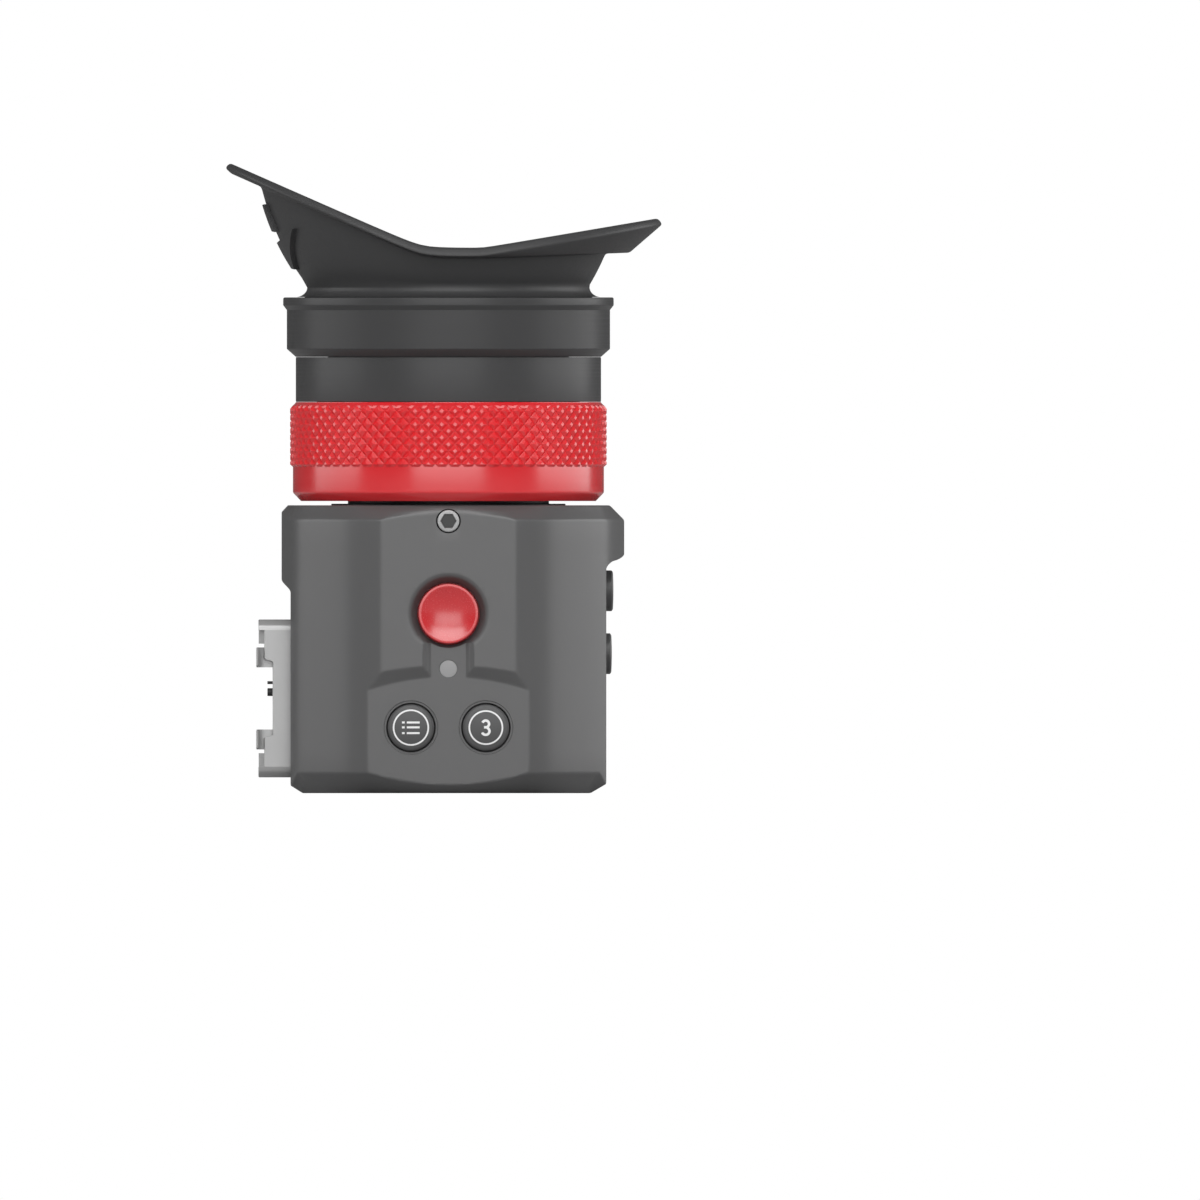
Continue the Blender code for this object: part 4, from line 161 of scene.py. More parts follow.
@dataclass(frozen=True)
class Finish:
    """One surface finish and the record slot it belongs to; grain and mottle sizes in millimetres."""

    name: str
    slot: str
    color: Triple
    roughness: float
    metallic: float = 0.0
    specular: float = 0.5
    grain: Grain = Grain.EVEN
    grain_size: float = 0.30
    grain_depth: float = 0.010
    mottle: float = 0.05
    mottle_size: float = 7.0
    roughness_spread: float = 0.04
    coat: float = 0.0
    transmission: float = 0.0
    film: float = 0.0

    def material(self) -> bpy.types.Material:
        """Build the node tree once.

        Returns:
            The material of this name.
        """
        known = bpy.data.materials.get(self.name)
        if known is not None:
            return known
        material = bpy.data.materials.new(self.name)
        material.use_nodes = True
        material.diffuse_color = (*self.color, 1)
        graph = NodeGraph(material.node_tree)
        shader = material.node_tree.nodes["Principled BSDF"]
        constants = {"Metallic": self.metallic, "Specular IOR Level": self.specular, "Coat Weight": self.coat,
                     "Coat Roughness": COAT_ROUGHNESS, "Transmission Weight": self.transmission,
                     "Thin Film Thickness": self.film}
        for label, value in constants.items():
            shader.inputs[label].default_value = value
        place = graph.add("ShaderNodeTexCoord").outputs["Object"]
        mottle = self.noise(graph, place, self.mottle_size, 3)
        fine = self.noise(graph, self.laid(graph, place), self.grain_size, 2)
        darker = tuple(max(part * (1 - self.mottle), 0) for part in self.color)
        lighter = tuple(part * (1 + self.mottle) for part in self.color)
        tint = self.blend(graph, mottle, darker, lighter)
        height = fine
        if self.grain is Grain.TRACKS:
            tracks = self.tracks(graph, place)
            scale, base = TRACK_TINT
            tint = self.blend(graph, tracks, tint, tuple(scale * part + base for part in self.color))
            height = tracks
        graph.tree.links.new(tint, shader.inputs["Base Color"])
        rough = graph.add("ShaderNodeMapRange", {
            0: fine, 1: NOISE_SPAN[0], 2: NOISE_SPAN[1], 3: max(self.roughness - self.roughness_spread, 0),
            4: min(self.roughness + self.roughness_spread, 1),
        })
        graph.tree.links.new(rough.outputs[0], shader.inputs["Roughness"])
        if self.grain_depth > 0:
            bump = graph.add("ShaderNodeBump", {
                "Strength": 1.0, "Distance": self.grain_depth * MM, "Height": height})
            graph.tree.links.new(bump.outputs[0], shader.inputs["Normal"])
        return material

    def laid(self, graph: NodeGraph, place: bpy.types.NodeSocket) -> bpy.types.NodeSocket:
        """Coordinates that stretch the grain the way it lies.

        Args:
            graph: the tree being filled.
            place: plain object coordinates.

        Returns:
            The coordinates for the grain's noise.
        """
        if self.grain is Grain.EVEN:
            return place
        parts = graph.add("ShaderNodeSeparateXYZ", {0: place}).outputs
        if self.grain is Grain.TURNED:
            square = graph.math("ADD", graph.math("MULTIPLY", parts[0], parts[0]),
                                graph.math("MULTIPLY", parts[1], parts[1]))
            values = {0: graph.math("SQRT", square), 1: 0.0, 2: parts[2]}
        else:
            values = {0: parts[0], 1: parts[1], 2: graph.math("MULTIPLY", parts[2], BRUSHED_STRETCH)}
        return graph.add("ShaderNodeCombineXYZ", values).outputs[0]

    @staticmethod
    def noise(graph: NodeGraph, place: bpy.types.NodeSocket, size: float,
              detail: float) -> bpy.types.NodeSocket:
        """Add a noise whose spots have this size.

        Args:
            graph: the tree being filled.
            place: the coordinates to read.
            size: spot size in millimetres.
            detail: how many finer layers it has.

        Returns:
            The noise value.
        """
        node = graph.add("ShaderNodeTexNoise", {
            "Vector": place, "Scale": 1 / (size * MM), "Detail": detail, "Roughness": NOISE_ROUGHNESS})
        return node.outputs[0]

    @staticmethod
    def blend(graph: NodeGraph, share: bpy.types.NodeSocket, low: Any, high: Any) -> bpy.types.NodeSocket:
        """Mix two colours.

        Args:
            graph: the tree being filled.
            share: how much of the second colour shows.
            low: first colour, three numbers or a socket.
            high: second colour, three numbers or a socket.

        Returns:
            The mixed colour.
        """
        node = graph.add("ShaderNodeMix", data_type="RGBA")
        graph.tree.links.new(share, node.inputs["Factor"])
        for index, value in zip(MIX_COLORS, (low, high)):
            if isinstance(value, bpy.types.NodeSocket):
                graph.tree.links.new(value, node.inputs[index])
            else:
                node.inputs[index].default_value = (*value, 1)
        return node.outputs[MIX_RESULT]

    @staticmethod
    def tracks(graph: NodeGraph, place: bpy.types.NodeSocket) -> bpy.types.NodeSocket:
        """Square cells that read as copper tracks.

        Args:
            graph: the tree being filled.
            place: plain object coordinates.

        Returns:
            Zero between the tracks and one on them.
        """
        cells = graph.add("ShaderNodeTexVoronoi", {
            "Vector": place, "Scale": 1 / (TRACK_SIZE * MM), "Randomness": 0.7}, distance="CHEBYCHEV")
        return graph.math("GREATER_THAN", cells.outputs["Distance"], TRACK_EDGE)


BODY_PAINT = Finish("body_paint", "painted_body", (0.080, 0.080, 0.081), 0.38, specular=0.66,
                    grain_size=0.20, grain_depth=0.008, mottle=0.03)
BLACK_ANODISED = Finish("black_anodised", "black_barrel", (0.048, 0.048, 0.049), 0.36, specular=0.26,
                        grain=Grain.TURNED, grain_size=0.35, grain_depth=0.002, mottle=0.03)
RED_ANODISED = Finish("red_anodised_satin", "red_anodised", (0.640, 0.014, 0.020), 0.20, specular=1.0,
                      grain=Grain.TURNED, grain_size=0.30, grain_depth=0.002, mottle=0.04)
RED_KNURL = Finish("red_anodised_knurl", "red_anodised", (0.700, 0.020, 0.026), 0.17, specular=1.0,
                   grain_size=0.20, grain_depth=0.002, mottle=0.05)
MOULDED_RUBBER = Finish("moulded_rubber", "rubber", (0.036, 0.036, 0.037), 0.50, specular=0.42,
                        grain_size=0.40, grain_depth=0.006, mottle=0.05)
RED_PLASTIC = Finish("red_button_plastic", "red_plastic", (0.560, 0.018, 0.024), 0.25, specular=1.0,
                     grain_size=0.25, grain_depth=0.002, mottle=0.04)
BUTTON_PLASTIC = Finish("black_button_plastic", "button_plastic", (0.062, 0.062, 0.063), 0.40,
                        grain_size=0.20, grain_depth=0.004, mottle=0.04)
WHITE_PRINT = Finish("white_print", "button_plastic", (0.780, 0.780, 0.780), 0.50, grain_size=0.15,
                     grain_depth=0.002, mottle=0.02)
BLACK_PLASTIC = Finish("matte_black_plastic", "black_plastic", (0.028, 0.028, 0.029), 0.55, specular=0.35,
                       grain=Grain.TURNED, grain_size=0.40, grain_depth=0.006)
NICKEL_SHEET = Finish("nickel_sheet", "bright_metal", (0.400, 0.400, 0.400), 0.38, metallic=0.35,
                      grain=Grain.BRUSHED, grain_size=0.10, grain_depth=0.002, mottle=0.04)
PLAIN_STEEL = Finish("plain_steel", "steel", (0.330, 0.330, 0.330), 0.36, metallic=0.5,
                     grain_size=0.12, grain_depth=0.003, mottle=0.06)
BLACK_STEEL = Finish("black_steel", "black_screw", (0.045, 0.045, 0.045), 0.38, metallic=0.6,
                     grain_size=0.12, grain_depth=0.004, mottle=0.08)
GOLD = Finish("contact_gold_plate", "contact_gold", (0.780, 0.540, 0.200), 0.28, metallic=1.0,
              grain_size=0.10, grain_depth=0.002)
LENS_GLASS = Finish("coated_lens_glass", "lens_glass", (0.96, 0.98, 0.99), 0.015, transmission=1.0,
                    grain_depth=0.0, mottle=0.01, roughness_spread=0.005, film=420.0)
DISPLAY_GLASS = Finish("dark_display_glass", "display_glass", (0.012, 0.013, 0.018), 0.08, grain_depth=0.0,
                       mottle=0.10, roughness_spread=0.02)
SOLDER_MASK = Finish("solder_mask", "board_green", (0.020, 0.120, 0.050), 0.40, grain=Grain.TRACKS,
                     grain_depth=0.030, mottle=0.08)
CHIP_PACKAGE = Finish("chip_package", "chip_black", (0.018, 0.018, 0.019), 0.50, grain_size=0.15,
                      grain_depth=0.008)
RIBBON_FILM = Finish("ribbon_film", "ribbon_amber", (0.420, 0.170, 0.030), 0.35, grain=Grain.BRUSHED,
                     grain_size=0.50, grain_depth=0.010, mottle=0.15, mottle_size=1.5)
FROSTED_LIGHT = Finish("frosted_light_pipe", "lamp_white", (0.285, 0.285, 0.287), 0.50, grain_size=0.20,
                       grain_depth=0.004, mottle=0.04)


def polar(radius: float, turn: float, height: float = 0.0) -> Vector:
    """Point at this distance from the Z axis, at this turn in radians and this height."""
    return Vector((radius * math.cos(turn), radius * math.sin(turn), height))


def clamped(value: float) -> float:
    """The value, but not under zero or over one."""
    return min(max(value, 0.0), 1.0)


def bend(start: Vector, corner: Vector, end: Vector, steps: int = 3) -> list[Vector]:
    """Points of the round that takes a corner's place."""
    shares = [step / steps for step in range(steps + 1)]
    return [(1 - share) ** 2 * start + 2 * share * (1 - share) * corner + share ** 2 * end
            for share in shares]


def softened(outline: Outline, radius: float, closed: bool = True, steps: int = 3) -> list[Flat]:
    """Round the corners of a flat outline.

    Args:
        outline: corners, each with an own radius as an optional third number.
        radius: radius where a corner has none of its own.
        closed: whether the last corner joins the first.
        steps: faces in each rounded corner.

    Returns:
        The corners and rounds as one list of points.
    """
    points: list[Flat] = []
    count = len(outline)
    for index, corner in enumerate(outline):
        here = Vector(corner[:2])
        wanted = corner[2] if len(corner) > 2 else radius
        before = Vector(outline[index - 1][:2]) - here
        after = Vector(outline[(index + 1) % count][:2]) - here
        ends = not closed and index in (0, count - 1)
        if ends or wanted <= 0 or before.length == 0 or after.length == 0:
            points.append((here.x, here.y))
            continue
        half = before.angle(after) / 2
        if abs(half - QUARTER) < 0.01:
            points.append((here.x, here.y))
            continue
        reach = min(wanted / math.tan(half), LONGEST_ROUND * before.length, LONGEST_ROUND * after.length)
        start = here + before.normalized() * reach
        end = here + after.normalized() * reach
        points += [(spot.x, spot.y) for spot in bend(start, here, end, steps)]
    return points


def skin(rings: Sequence[Ring], loop: bool) -> bmesh.types.BMesh:
    """Skin over rings of points that all have one count, or are single poles.

    Args:
        rings: rings from the first to the last.
        loop: whether the last ring joins the first; otherwise both ends get a cap.

    Returns:
        The mesh.
    """
    shape = bmesh.new()
    made = [[shape.verts.new(point) for point in ring] for ring in rings]
    pairs = list(zip(made, made[1:]))
    if loop:
        pairs.append((made[-1], made[0]))
    for lower, upper in pairs:
        count = max(len(lower), len(upper))
        if len(lower) == len(upper) == 1:
            continue
        for index in range(count):
            after = (index + 1) % count
            if len(lower) == 1:
                shape.faces.new((lower[0], upper[after], upper[index]))
            elif len(upper) == 1:
                shape.faces.new((lower[index], lower[after], upper[0]))
            else:
                shape.faces.new((lower[index], lower[after], upper[after], upper[index]))
    if not loop:
        for ring in (made[0], made[-1]):
            if len(ring) > 2:
                shape.faces.new(ring)
    return shape


def circle(radius: float, height: float, steps: int) -> Ring:
    """Points round the Z axis at this radius and height, or the one point of a pole."""
    if radius < 1e-6:
        return [Vector((0, 0, height))]
    return [polar(radius, 2 * math.pi * step / steps, height) for step in range(steps)]


def turned(outline: Outline, steps: int = 96) -> bmesh.types.BMesh:
    """Turn a closed outline of radius and height about the Z axis as it is."""
    return skin([circle(reach, height, steps) for reach, height in outline], loop=True)


def lathe(outline: Outline, steps: int = 96, radius: float = 0.15) -> bmesh.types.BMesh:
    """Turn a closed outline of radius and height about the Z axis, with its corners rounded.

    Args:
        outline: closed outline; a corner's third number is its own rounding.
        steps: faces round the axis.
        radius: rounding of the other corners.

    Returns:
        The mesh.
    """
    corners = [(*corner[:2], 0.0) if corner[0] == 0 else corner for corner in outline]
    return turned(softened(corners, radius), steps)


def prism(outline: Outline, bottom: float, top: float, edge: float = 0.0) -> bmesh.types.BMesh:
    """Raise a flat outline, with both rims bevelled.

    Args:
        outline: anticlockwise points.
        bottom: lower height.
        top: upper height.
        edge: width of the bevel.

    Returns:
        The mesh.
    """
    levels = [(bottom, 0.0), (top, 0.0)]
    if edge > 0:
        levels = [(bottom, edge), (bottom + edge / 3, edge / 3), (bottom + edge, 0.0),
                  (top - edge, 0.0), (top - edge / 3, edge / 3), (top, edge)]
    rings = [[Vector((x, y, height)) for x, y in inset(outline, amount)] for height, amount in levels]
    return skin(rings, loop=False)


def inset(outline: Outline, amount: float) -> list[Flat]:
    """Move an anticlockwise outline inwards.

    Args:
        outline: points without sharp notches.
        amount: how far every side moves in.

    Returns:
        The moved points.
    """
    if amount == 0:
        return [(point[0], point[1]) for point in outline]
    moved = []
    count = len(outline)
    for index in range(count):
        here = Vector(outline[index][:2])
        before = (here - Vector(outline[index - 1][:2])).normalized()
        after = (Vector(outline[(index + 1) % count][:2]) - here).normalized()
        normal = Vector((-before.y - after.y, before.x + after.x))
        scale = amount / max(normal.length_squared / 2, 0.2)
        moved.append((here.x + normal.x * scale, here.y + normal.y * scale))
    return moved


def rectangle(half_x: float, half_y: float, corner: float, steps: int = 6) -> list[Flat]:
    """Anticlockwise rectangle about zero with round corners."""
    points = []
    for index, (side_x, side_y) in enumerate(((1, 1), (-1, 1), (-1, -1), (1, -1))):
        for step in range(steps + 1):
            turn = QUARTER * (index + step / steps)
            points.append((side_x * (half_x - corner) + corner * math.cos(turn),
                           side_y * (half_y - corner) + corner * math.sin(turn)))
    return points


def joined(*shapes: bmesh.types.BMesh) -> bmesh.types.BMesh:
    """Put several shapes into the first one and free the others.

    Args:
        shapes: the meshes to gather.

    Returns:
        The first mesh, which now holds them all.
    """
    first = shapes[0]
    for other in shapes[1:]:
        spare = bpy.data.meshes.new("spare")
        other.to_mesh(spare)
        first.from_mesh(spare)
        other.free()
        bpy.data.meshes.remove(spare)
    return first


def placed(shape: bmesh.types.BMesh, matrix: Matrix) -> bmesh.types.BMesh:
    """Move a shape by a matrix and give it back."""
    shape.transform(matrix)
    return shape


def loose_object(name: str, shape: bmesh.types.BMesh) -> bpy.types.Object:
    """Hand a shape over to an object in the scene, still in millimetres.

    Args:
        name: the object's name.
        shape: the mesh, which is freed.

    Returns:
        The linked object.
    """
    bmesh.ops.recalc_face_normals(shape, faces=shape.faces)
    mesh = bpy.data.meshes.new(name)
    shape.to_mesh(mesh)
    shape.free()
    item = bpy.data.objects.new(name, mesh)
    bpy.context.scene.collection.objects.link(item)
    return item


def settled(item: bpy.types.Object) -> bmesh.types.BMesh:
    """Read an object's evaluated shape and remove the object.

    Args:
        item: object with live modifiers.

    Returns:
        Its final shape.
    """
    graph = bpy.context.evaluated_depsgraph_get()
    mesh = bpy.data.meshes.new_from_object(item.evaluated_get(graph), depsgraph=graph)
    shape = bmesh.new()
    shape.from_mesh(mesh)
    bpy.data.meshes.remove(mesh)
    bpy.data.objects.remove(item, do_unlink=True)
    return shape


def carved(solid: bmesh.types.BMesh, *cutters: bmesh.types.BMesh) -> bmesh.types.BMesh:
    """Cut shapes out of a solid with exact Booleans.

    Args:
        solid: the shape to cut.
        cutters: closed shapes, cut one after another.

    Returns:
        The cut shape.
    """
    target = loose_object("carved_solid", solid)
    tools = [loose_object("carving_tool", cutter) for cutter in cutters]
    for tool in tools:
        modifier = target.modifiers.new("carve", "BOOLEAN")
        modifier.operation = "DIFFERENCE"
        modifier.solver = "EXACT"
        modifier.object = tool
    bpy.context.view_layer.update()
    shape = settled(target)
    for tool in tools:
        bpy.data.objects.remove(tool, do_unlink=True)
    return shape


def finished(
    name: str,
    shape: bmesh.types.BMesh,
    finish: Finish,
    body: str = BODY,
    replaces: Sequence[str] = (),
    place: Matrix | None = None,
    sharp: float = 32.0,
) -> bpy.types.Object:
    """Turn a shape in millimetres into a dressed piece that rides on its body.

    Args:
        name: the piece's name.
        shape: the mesh, which is freed.
        finish: its surface finish.
        body: the CAD body that carries it.
        replaces: CAD nodes that it stands for.
        place: where it goes, or None for a shape that is already there.
        sharp: edges that bend more than this many degrees stay crisp.

    Returns:
        The finished object.
    """
    if place is not None:
        shape.transform(place)
    shape.transform(Matrix.Scale(MM, 4))
    item = loose_object(name, shape)
    item.data.shade_smooth()
    item.data.set_sharp_from_angle(angle=math.radians(sharp))
    item.data.materials.append(finish.material())
    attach(item, body)
    if replaces:
        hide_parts(*replaces)
    LOG.info("%s: %d faces, rides on %s", name, len(item.data.polygons), body)
    return item


class Repeat:
    """Geometry Nodes tree that sets copies of a unit in rows."""

    SOCKETS = {"Columns": "Int", "Rows": "Int", "Unit": "Object", "Finish": "Material"}

    def __init__(self, name: str, sizes: dict[str, str]) -> None:
        """Start a tree.

        Args:
            name: the tree's name.
            sizes: socket types of its own inputs by name.
        """
        self.tree = bpy.data.node_groups.new(name, "GeometryNodeTree")
        self.graph = NodeGraph(self.tree)
        self.tree.interface.new_socket("Geometry", in_out="OUTPUT", socket_type="NodeSocketGeometry")
        self.keys: dict[str, str] = {}
        for label, kind in {**self.SOCKETS, **sizes}.items():
            socket = self.tree.interface.new_socket(label, in_out="INPUT", socket_type=f"NodeSocket{kind}")
            self.keys[label] = socket.identifier
        self.given = self.graph.add("NodeGroupInput").outputs
        index = self.graph.add("GeometryNodeInputIndex").outputs[0]
        self.row = self.graph.math("FLOOR", self.graph.math("DIVIDE", index, self.given["Columns"]))
        self.column = self.graph.math(
            "SUBTRACT", index, self.graph.math("MULTIPLY", self.row, self.given["Columns"]))

    def close(self, position: bpy.types.NodeSocket, rotation: bpy.types.NodeSocket) -> None:
        """End the tree: points, copies, real geometry and finish.

        Args:
            position: place of each copy.
            rotation: turn of each copy, as angles.
        """
        add = self.graph.add
        count = self.graph.math("MULTIPLY", self.given["Columns"], self.given["Rows"])
        points = add("GeometryNodePoints", {"Count": count, "Position": position})
        unit = add("GeometryNodeObjectInfo", {"Object": self.given["Unit"]})
        turn = add("FunctionNodeEulerToRotation", {0: rotation})
        copies = add("GeometryNodeInstanceOnPoints", {
            "Points": points.outputs[0], "Instance": unit.outputs["Geometry"], "Rotation": turn.outputs[0]})
        real = add("GeometryNodeRealizeInstances", {0: copies.outputs[0]})
        dressed = add("GeometryNodeSetMaterial", {
            "Geometry": real.outputs[0], "Material": self.given["Finish"]})
        end = add("NodeGroupOutput")
        self.tree.links.new(dressed.outputs[0], end.inputs[0])

    def run(self, unit: bmesh.types.BMesh, finish: Finish, values: dict[str, Any]) -> bmesh.types.BMesh:
        """Evaluate the tree once.

        Args:
            unit: the shape that is repeated, which is freed.
            finish: the copies' finish.
            values: the tree's own inputs by name.

        Returns:
            All copies as one shape.
        """
        source = loose_object("repeat_unit", unit)
        carrier = bpy.data.objects.new("repeat_carrier", bpy.data.meshes.new("repeat_carrier"))
        bpy.context.scene.collection.objects.link(carrier)
        modifier = carrier.modifiers.new("repeat", "NODES")
        modifier.node_group = self.tree
        for label, value in {"Unit": source, "Finish": finish.material(), **values}.items():
            modifier[self.keys[label]] = value
        bpy.context.view_layer.update()
        shape = settled(carrier)
        bpy.data.objects.remove(source, do_unlink=True)
        return shape


class RingRepeat(Repeat):
    """Copies round the optical axis, each row turned by half a step against the last."""

    def __init__(self) -> None:
        """Build the tree."""
        super().__init__("staggered_rings", {"Radius": "Float", "Base": "Float", "Row step": "Float"})
        turn = self.graph.math
        stagger = turn("MULTIPLY", turn("MODULO", self.row, 2.0), 0.5)
        angle = turn("DIVIDE", turn("MULTIPLY", turn("ADD", self.column, stagger), math.tau),
                     self.given["Columns"])
        height = turn("ADD", self.given["Base"], turn("MULTIPLY", self.row, self.given["Row step"]))
        position = self.graph.add("ShaderNodeCombineXYZ", {
            0: turn("MULTIPLY", turn("COSINE", angle), self.given["Radius"]),
            1: turn("MULTIPLY", turn("SINE", angle), self.given["Radius"]),
            2: height,
        })
        rotation = self.graph.add("ShaderNodeCombineXYZ", {2: angle})
        self.close(position.outputs[0], rotation.outputs[0])


class GridRepeat(Repeat):
    """Copies on a flat grid of columns and rows."""

    def __init__(self) -> None:
        """Build the tree."""
        steps = {"Origin": "Vector", "Column step": "Vector", "Row step": "Vector"}
        super().__init__("flat_grid", steps)

        def vector(operation: str, *values: Any) -> bpy.types.NodeSocket:
            """Add a Vector Math node and give its result."""
            node = self.graph.add("ShaderNodeVectorMath", dict(enumerate(values)), operation=operation)
            return node.outputs[0]

        across = vector("MULTIPLY", self.given["Column step"], self.column)
        along = vector("MULTIPLY", self.given["Row step"], self.row)
        place = vector("ADD", self.given["Origin"], vector("ADD", across, along))
        rotation = self.graph.add("ShaderNodeCombineXYZ")
        self.close(place, rotation.outputs[0])


def ramp(value: float, low: float, high: float) -> float:
    """Smooth step from zero at low to one at high."""
    share = clamped((value - low) / (high - low))
    return share * share * (3 - 2 * share)


def soft_least(one: float, other: float, rounding: float) -> float:
    """The lesser of two values, with a rounded corner where they meet."""
    spread = max(rounding - abs(one - other), 0.0) / rounding
    return min(one, other) - spread * spread * rounding / 4


def hole_tool(bore: float, floor: float, face: float, lip: float, place: Matrix, inner: Outline = (),
              lean: float = 0.0, steps: int = 64) -> bmesh.types.BMesh:
    """Round cutter whose lip leaves the hole with a rounded edge.

    Args:
        bore: hole radius at the lip's foot.
        floor: depth where the bore starts.
        face: height of the surface that it comes out of.
        lip: radius of the rounded edge.
        place: the hole's axis and origin.
        inner: wider seats below the bore, from the bottom up.
        lean: slope of the bore's side, as outward reach per rise.
        steps: faces round the hole.

    Returns:
        The cutter.
    """
    points: list[Flat] = [(point[0], point[1]) for point in inner] + [(bore, floor)]
    first = math.atan(lean)
    top = face - lip * (1 - math.sin(first))
    foot = bore + lean * (top - floor)
    for step in range(LIP_STEPS + 1):
        turn = first + (LIP_END - first) * step / LIP_STEPS
        points.append((foot + lip * (math.cos(first) - math.cos(turn)),
                       top + lip * (math.sin(turn) - math.sin(first))))
    reach, height = points[-1]
    points.append((reach + LIP_OVERRUN, height + LIP_OVERRUN * math.tan(math.radians(10))))
    points.append((0, points[-1][1]))
    points.insert(0, (0, points[0][1]))
    return placed(turned(points, steps), place)


@dataclass
class Housing:
    """Body shell with its button face, shoulders and every opening."""

    height: float = 54.7
    half_width: float = 30.0
    half_depth: float = 29.5
    corner: float = 20.0
    bulge: float = 60.0
    left_reach: float = 1.7
    right_reach: float = 3.4
    upper_panel: float = 28.14
    lower_panel: float = 27.06
    front_apex: float = 30.2
    front_curve: Outline = (
        (0, 0), (9.0, 12), (12.75, 21), (16, 25), (18, 29), (19.4, 36), (20.4, 40), (21.7, 43.5), (23.6, 46),
        (26, 49), (28, 54))
    left_corner: Outline = ((28.9, 64), (29.6, 73), (30.0, 76))
    right_corner: Outline = ((29.5, 57), (31.0, 75))
    rear_flat: float = 27.6
    front_inner: float = 23.52
    rear_inner: float = 22.5
    side_inner: float = 27.0
    side_power: float = 0.85
    panel_round: float = 0.22
    rim_round: float = 0.7
    rear_round: float = 0.4
    slope_foot: float = 22.2
    slope_edge: float = 24.2
    arch_radii: Flat = (46.0, 67.0)
    arch_start: Flat = (13.0, 21.5)
    arch_end: Flat = (25.2, 33.5)
    channel_sides: Flat = (4.9, 4.05)
    channel_slope: float = 0.7
    channel_share: float = 0.45
    left_shoulder: Flat = (38.1, 40.7)
    right_hollow: Flat = (42.45, 1.8)
    right_bulge: Flat = (44.1, 1.4)
    hollow_share: float = 0.45
    base_chamfer: Flat = (2.7, 3.8)
    base_blend: float = 8.0
    base_gain: float = 1.92
    base_left: Flat = (2.3, 1.45)
    base_right: Flat = (3.0, 1.75)
    top_chamfer: Flat = (2.2, 2.8)
    top_blend: float = 7.0
    top_gain: float = 1.36
    top_left: Flat = (1.2, 1.3)
    top_right: Flat = (2.75, 2.8)
    gain_fade: Flat = (14.0, 24.0)
    cavity: Flat = (5.0, 46.0)
    cavity_corner: float = 15.0
    base_bore: Outline = (
        (0, -1), (23.6, -1), (23.25, 0.0), (23.05, 0.25), (23.05, 2.6), (16.5, 2.6), (16.5, 6), (0, 6))
    top_bore: Outline = (
        (0, 45), (17.8, 45), (17.8, 50.0), (22.4, 50.0), (22.4, 54.4), (22.7, 54.7), (23.2, 55.2), (0, 55.2))
    record_height: float = 34.1
    key_height: float = 12.46
    key_offset: float = 7.12
    status_height: float = 23.6
    clamp_height: float = 51.7
    side_heights: Flat = (38.45, 26.5)
    rear_height: float = 27.0
    receptacle_height: float = 18.0
    record_bore: float = 5.95
    record_depth: float = 1.9
    record_lip: float = 1.25
    record_lean: float = 0.66
    record_seat: Outline = ((7.1, -1), (7.1, 1.5), (5.95, 1.5))
    status_bore: float = 1.69
    clamp_bore: float = 2.32
    key_seat: Outline = ((0, -1), (5.85, -1), (5.85, 1.5), (4.68, 1.5))
    key_bezel: Outline = (
        (4.68, -0.26), (4.74, -0.2), (5.06, -0.2), (5.11, -0.15), (5.13, -0.04), (5.2, 0.02), (5.6, 0.5),
        (0, 0.5))
    side_bore: float = 4.08
    side_seat: Outline = ((5.18, -1), (5.18, 1.5), (4.08, 1.5))
    receptacle_slot: Triple = (7.35, 15.15, 2.1)
    receptacle_cut: Flat = (25.2, 31.5)
    service_opening: Triple = (10.1, 16.6, 1.0)
    service_cut: Flat = (21.5, 25.0)
    front_lines: tuple[float, ...] = (
        0, 1.2, 2.4, 3.1, 3.3, 3.45, 3.6, 3.8, 4.0, 4.2, 4.4, 4.55, 4.7, 4.85, 5.0, 5.2, 6.0, 7.2, 8.4,
        9.6, 10.8, 11.7, 12.2, 12.45, 12.6, 12.75, 12.9, 13.1, 13.5, 14.2, 14.8, 15.1, 15.25, 15.4, 15.6,
        15.9, 16.4, 17.0)
    back_lines: tuple[float, ...] = (0, 4, 8, 11, 13, 14.2, 14.7, 15.0, 15.3, 15.8, 17.0)
    lower_rows: tuple[float, ...] = (9.6, 11.2, 12.8, 14.4, 16.0, 17.4, 18.6, 19.6, 20.4)
    upper_rows: tuple[float, ...] = (26.0, 27.0, 28.4, 30.0, 31.6, 33.0, 34.0, 34.2, 35.4, 36.6, 37.6)
    lines_end: float = 17.0
    corner_steps: int = 18
    corner_lift: Flat = (0.90, 1.0)

    def face_depth(self, x: float, reach: float, inset_by: float) -> float:
        """Depth of the bulged face.

        Args:
            x: place across, from the optical axis outwards.
            reach: how far this side of the body reaches.
            inset_by: how far the wall is moved in here.

        Returns:
            The distance from the optical axis to the face.
        """
        sweep = self.bulge - self.corner
        center = self.half_depth - self.bulge
        side = reach - self.corner
        turn = math.asin(side / sweep)
        if x <= (self.bulge - inset_by) * math.sin(turn):
            return center + math.sqrt((self.bulge - inset_by) ** 2 - x * x)
        corner = self.corner - inset_by
        return center + sweep * math.cos(turn) + math.sqrt(max(corner ** 2 - (x - side) ** 2, 0.0))

    def panel_depth(self, x: float, z: float) -> float:
        """Depth of the flat button face, with the lower panel and the channel under their slopes."""
        x = abs(x)
        foot = self.slope_foot - x * x / (2 * self.arch_radii[0])
        edge = self.slope_edge - x * x / (2 * self.arch_radii[1])
        low = clamped((edge - z) / (edge - foot))
        outer, inner = (clamped((side - x) / self.channel_slope) for side in self.channel_sides)
        channel = self.channel_share * outer + (1 - self.channel_share) * inner
        share = max(low, channel if z < self.record_height else 0.0)
        return self.upper_panel - (self.upper_panel - self.lower_panel) * share

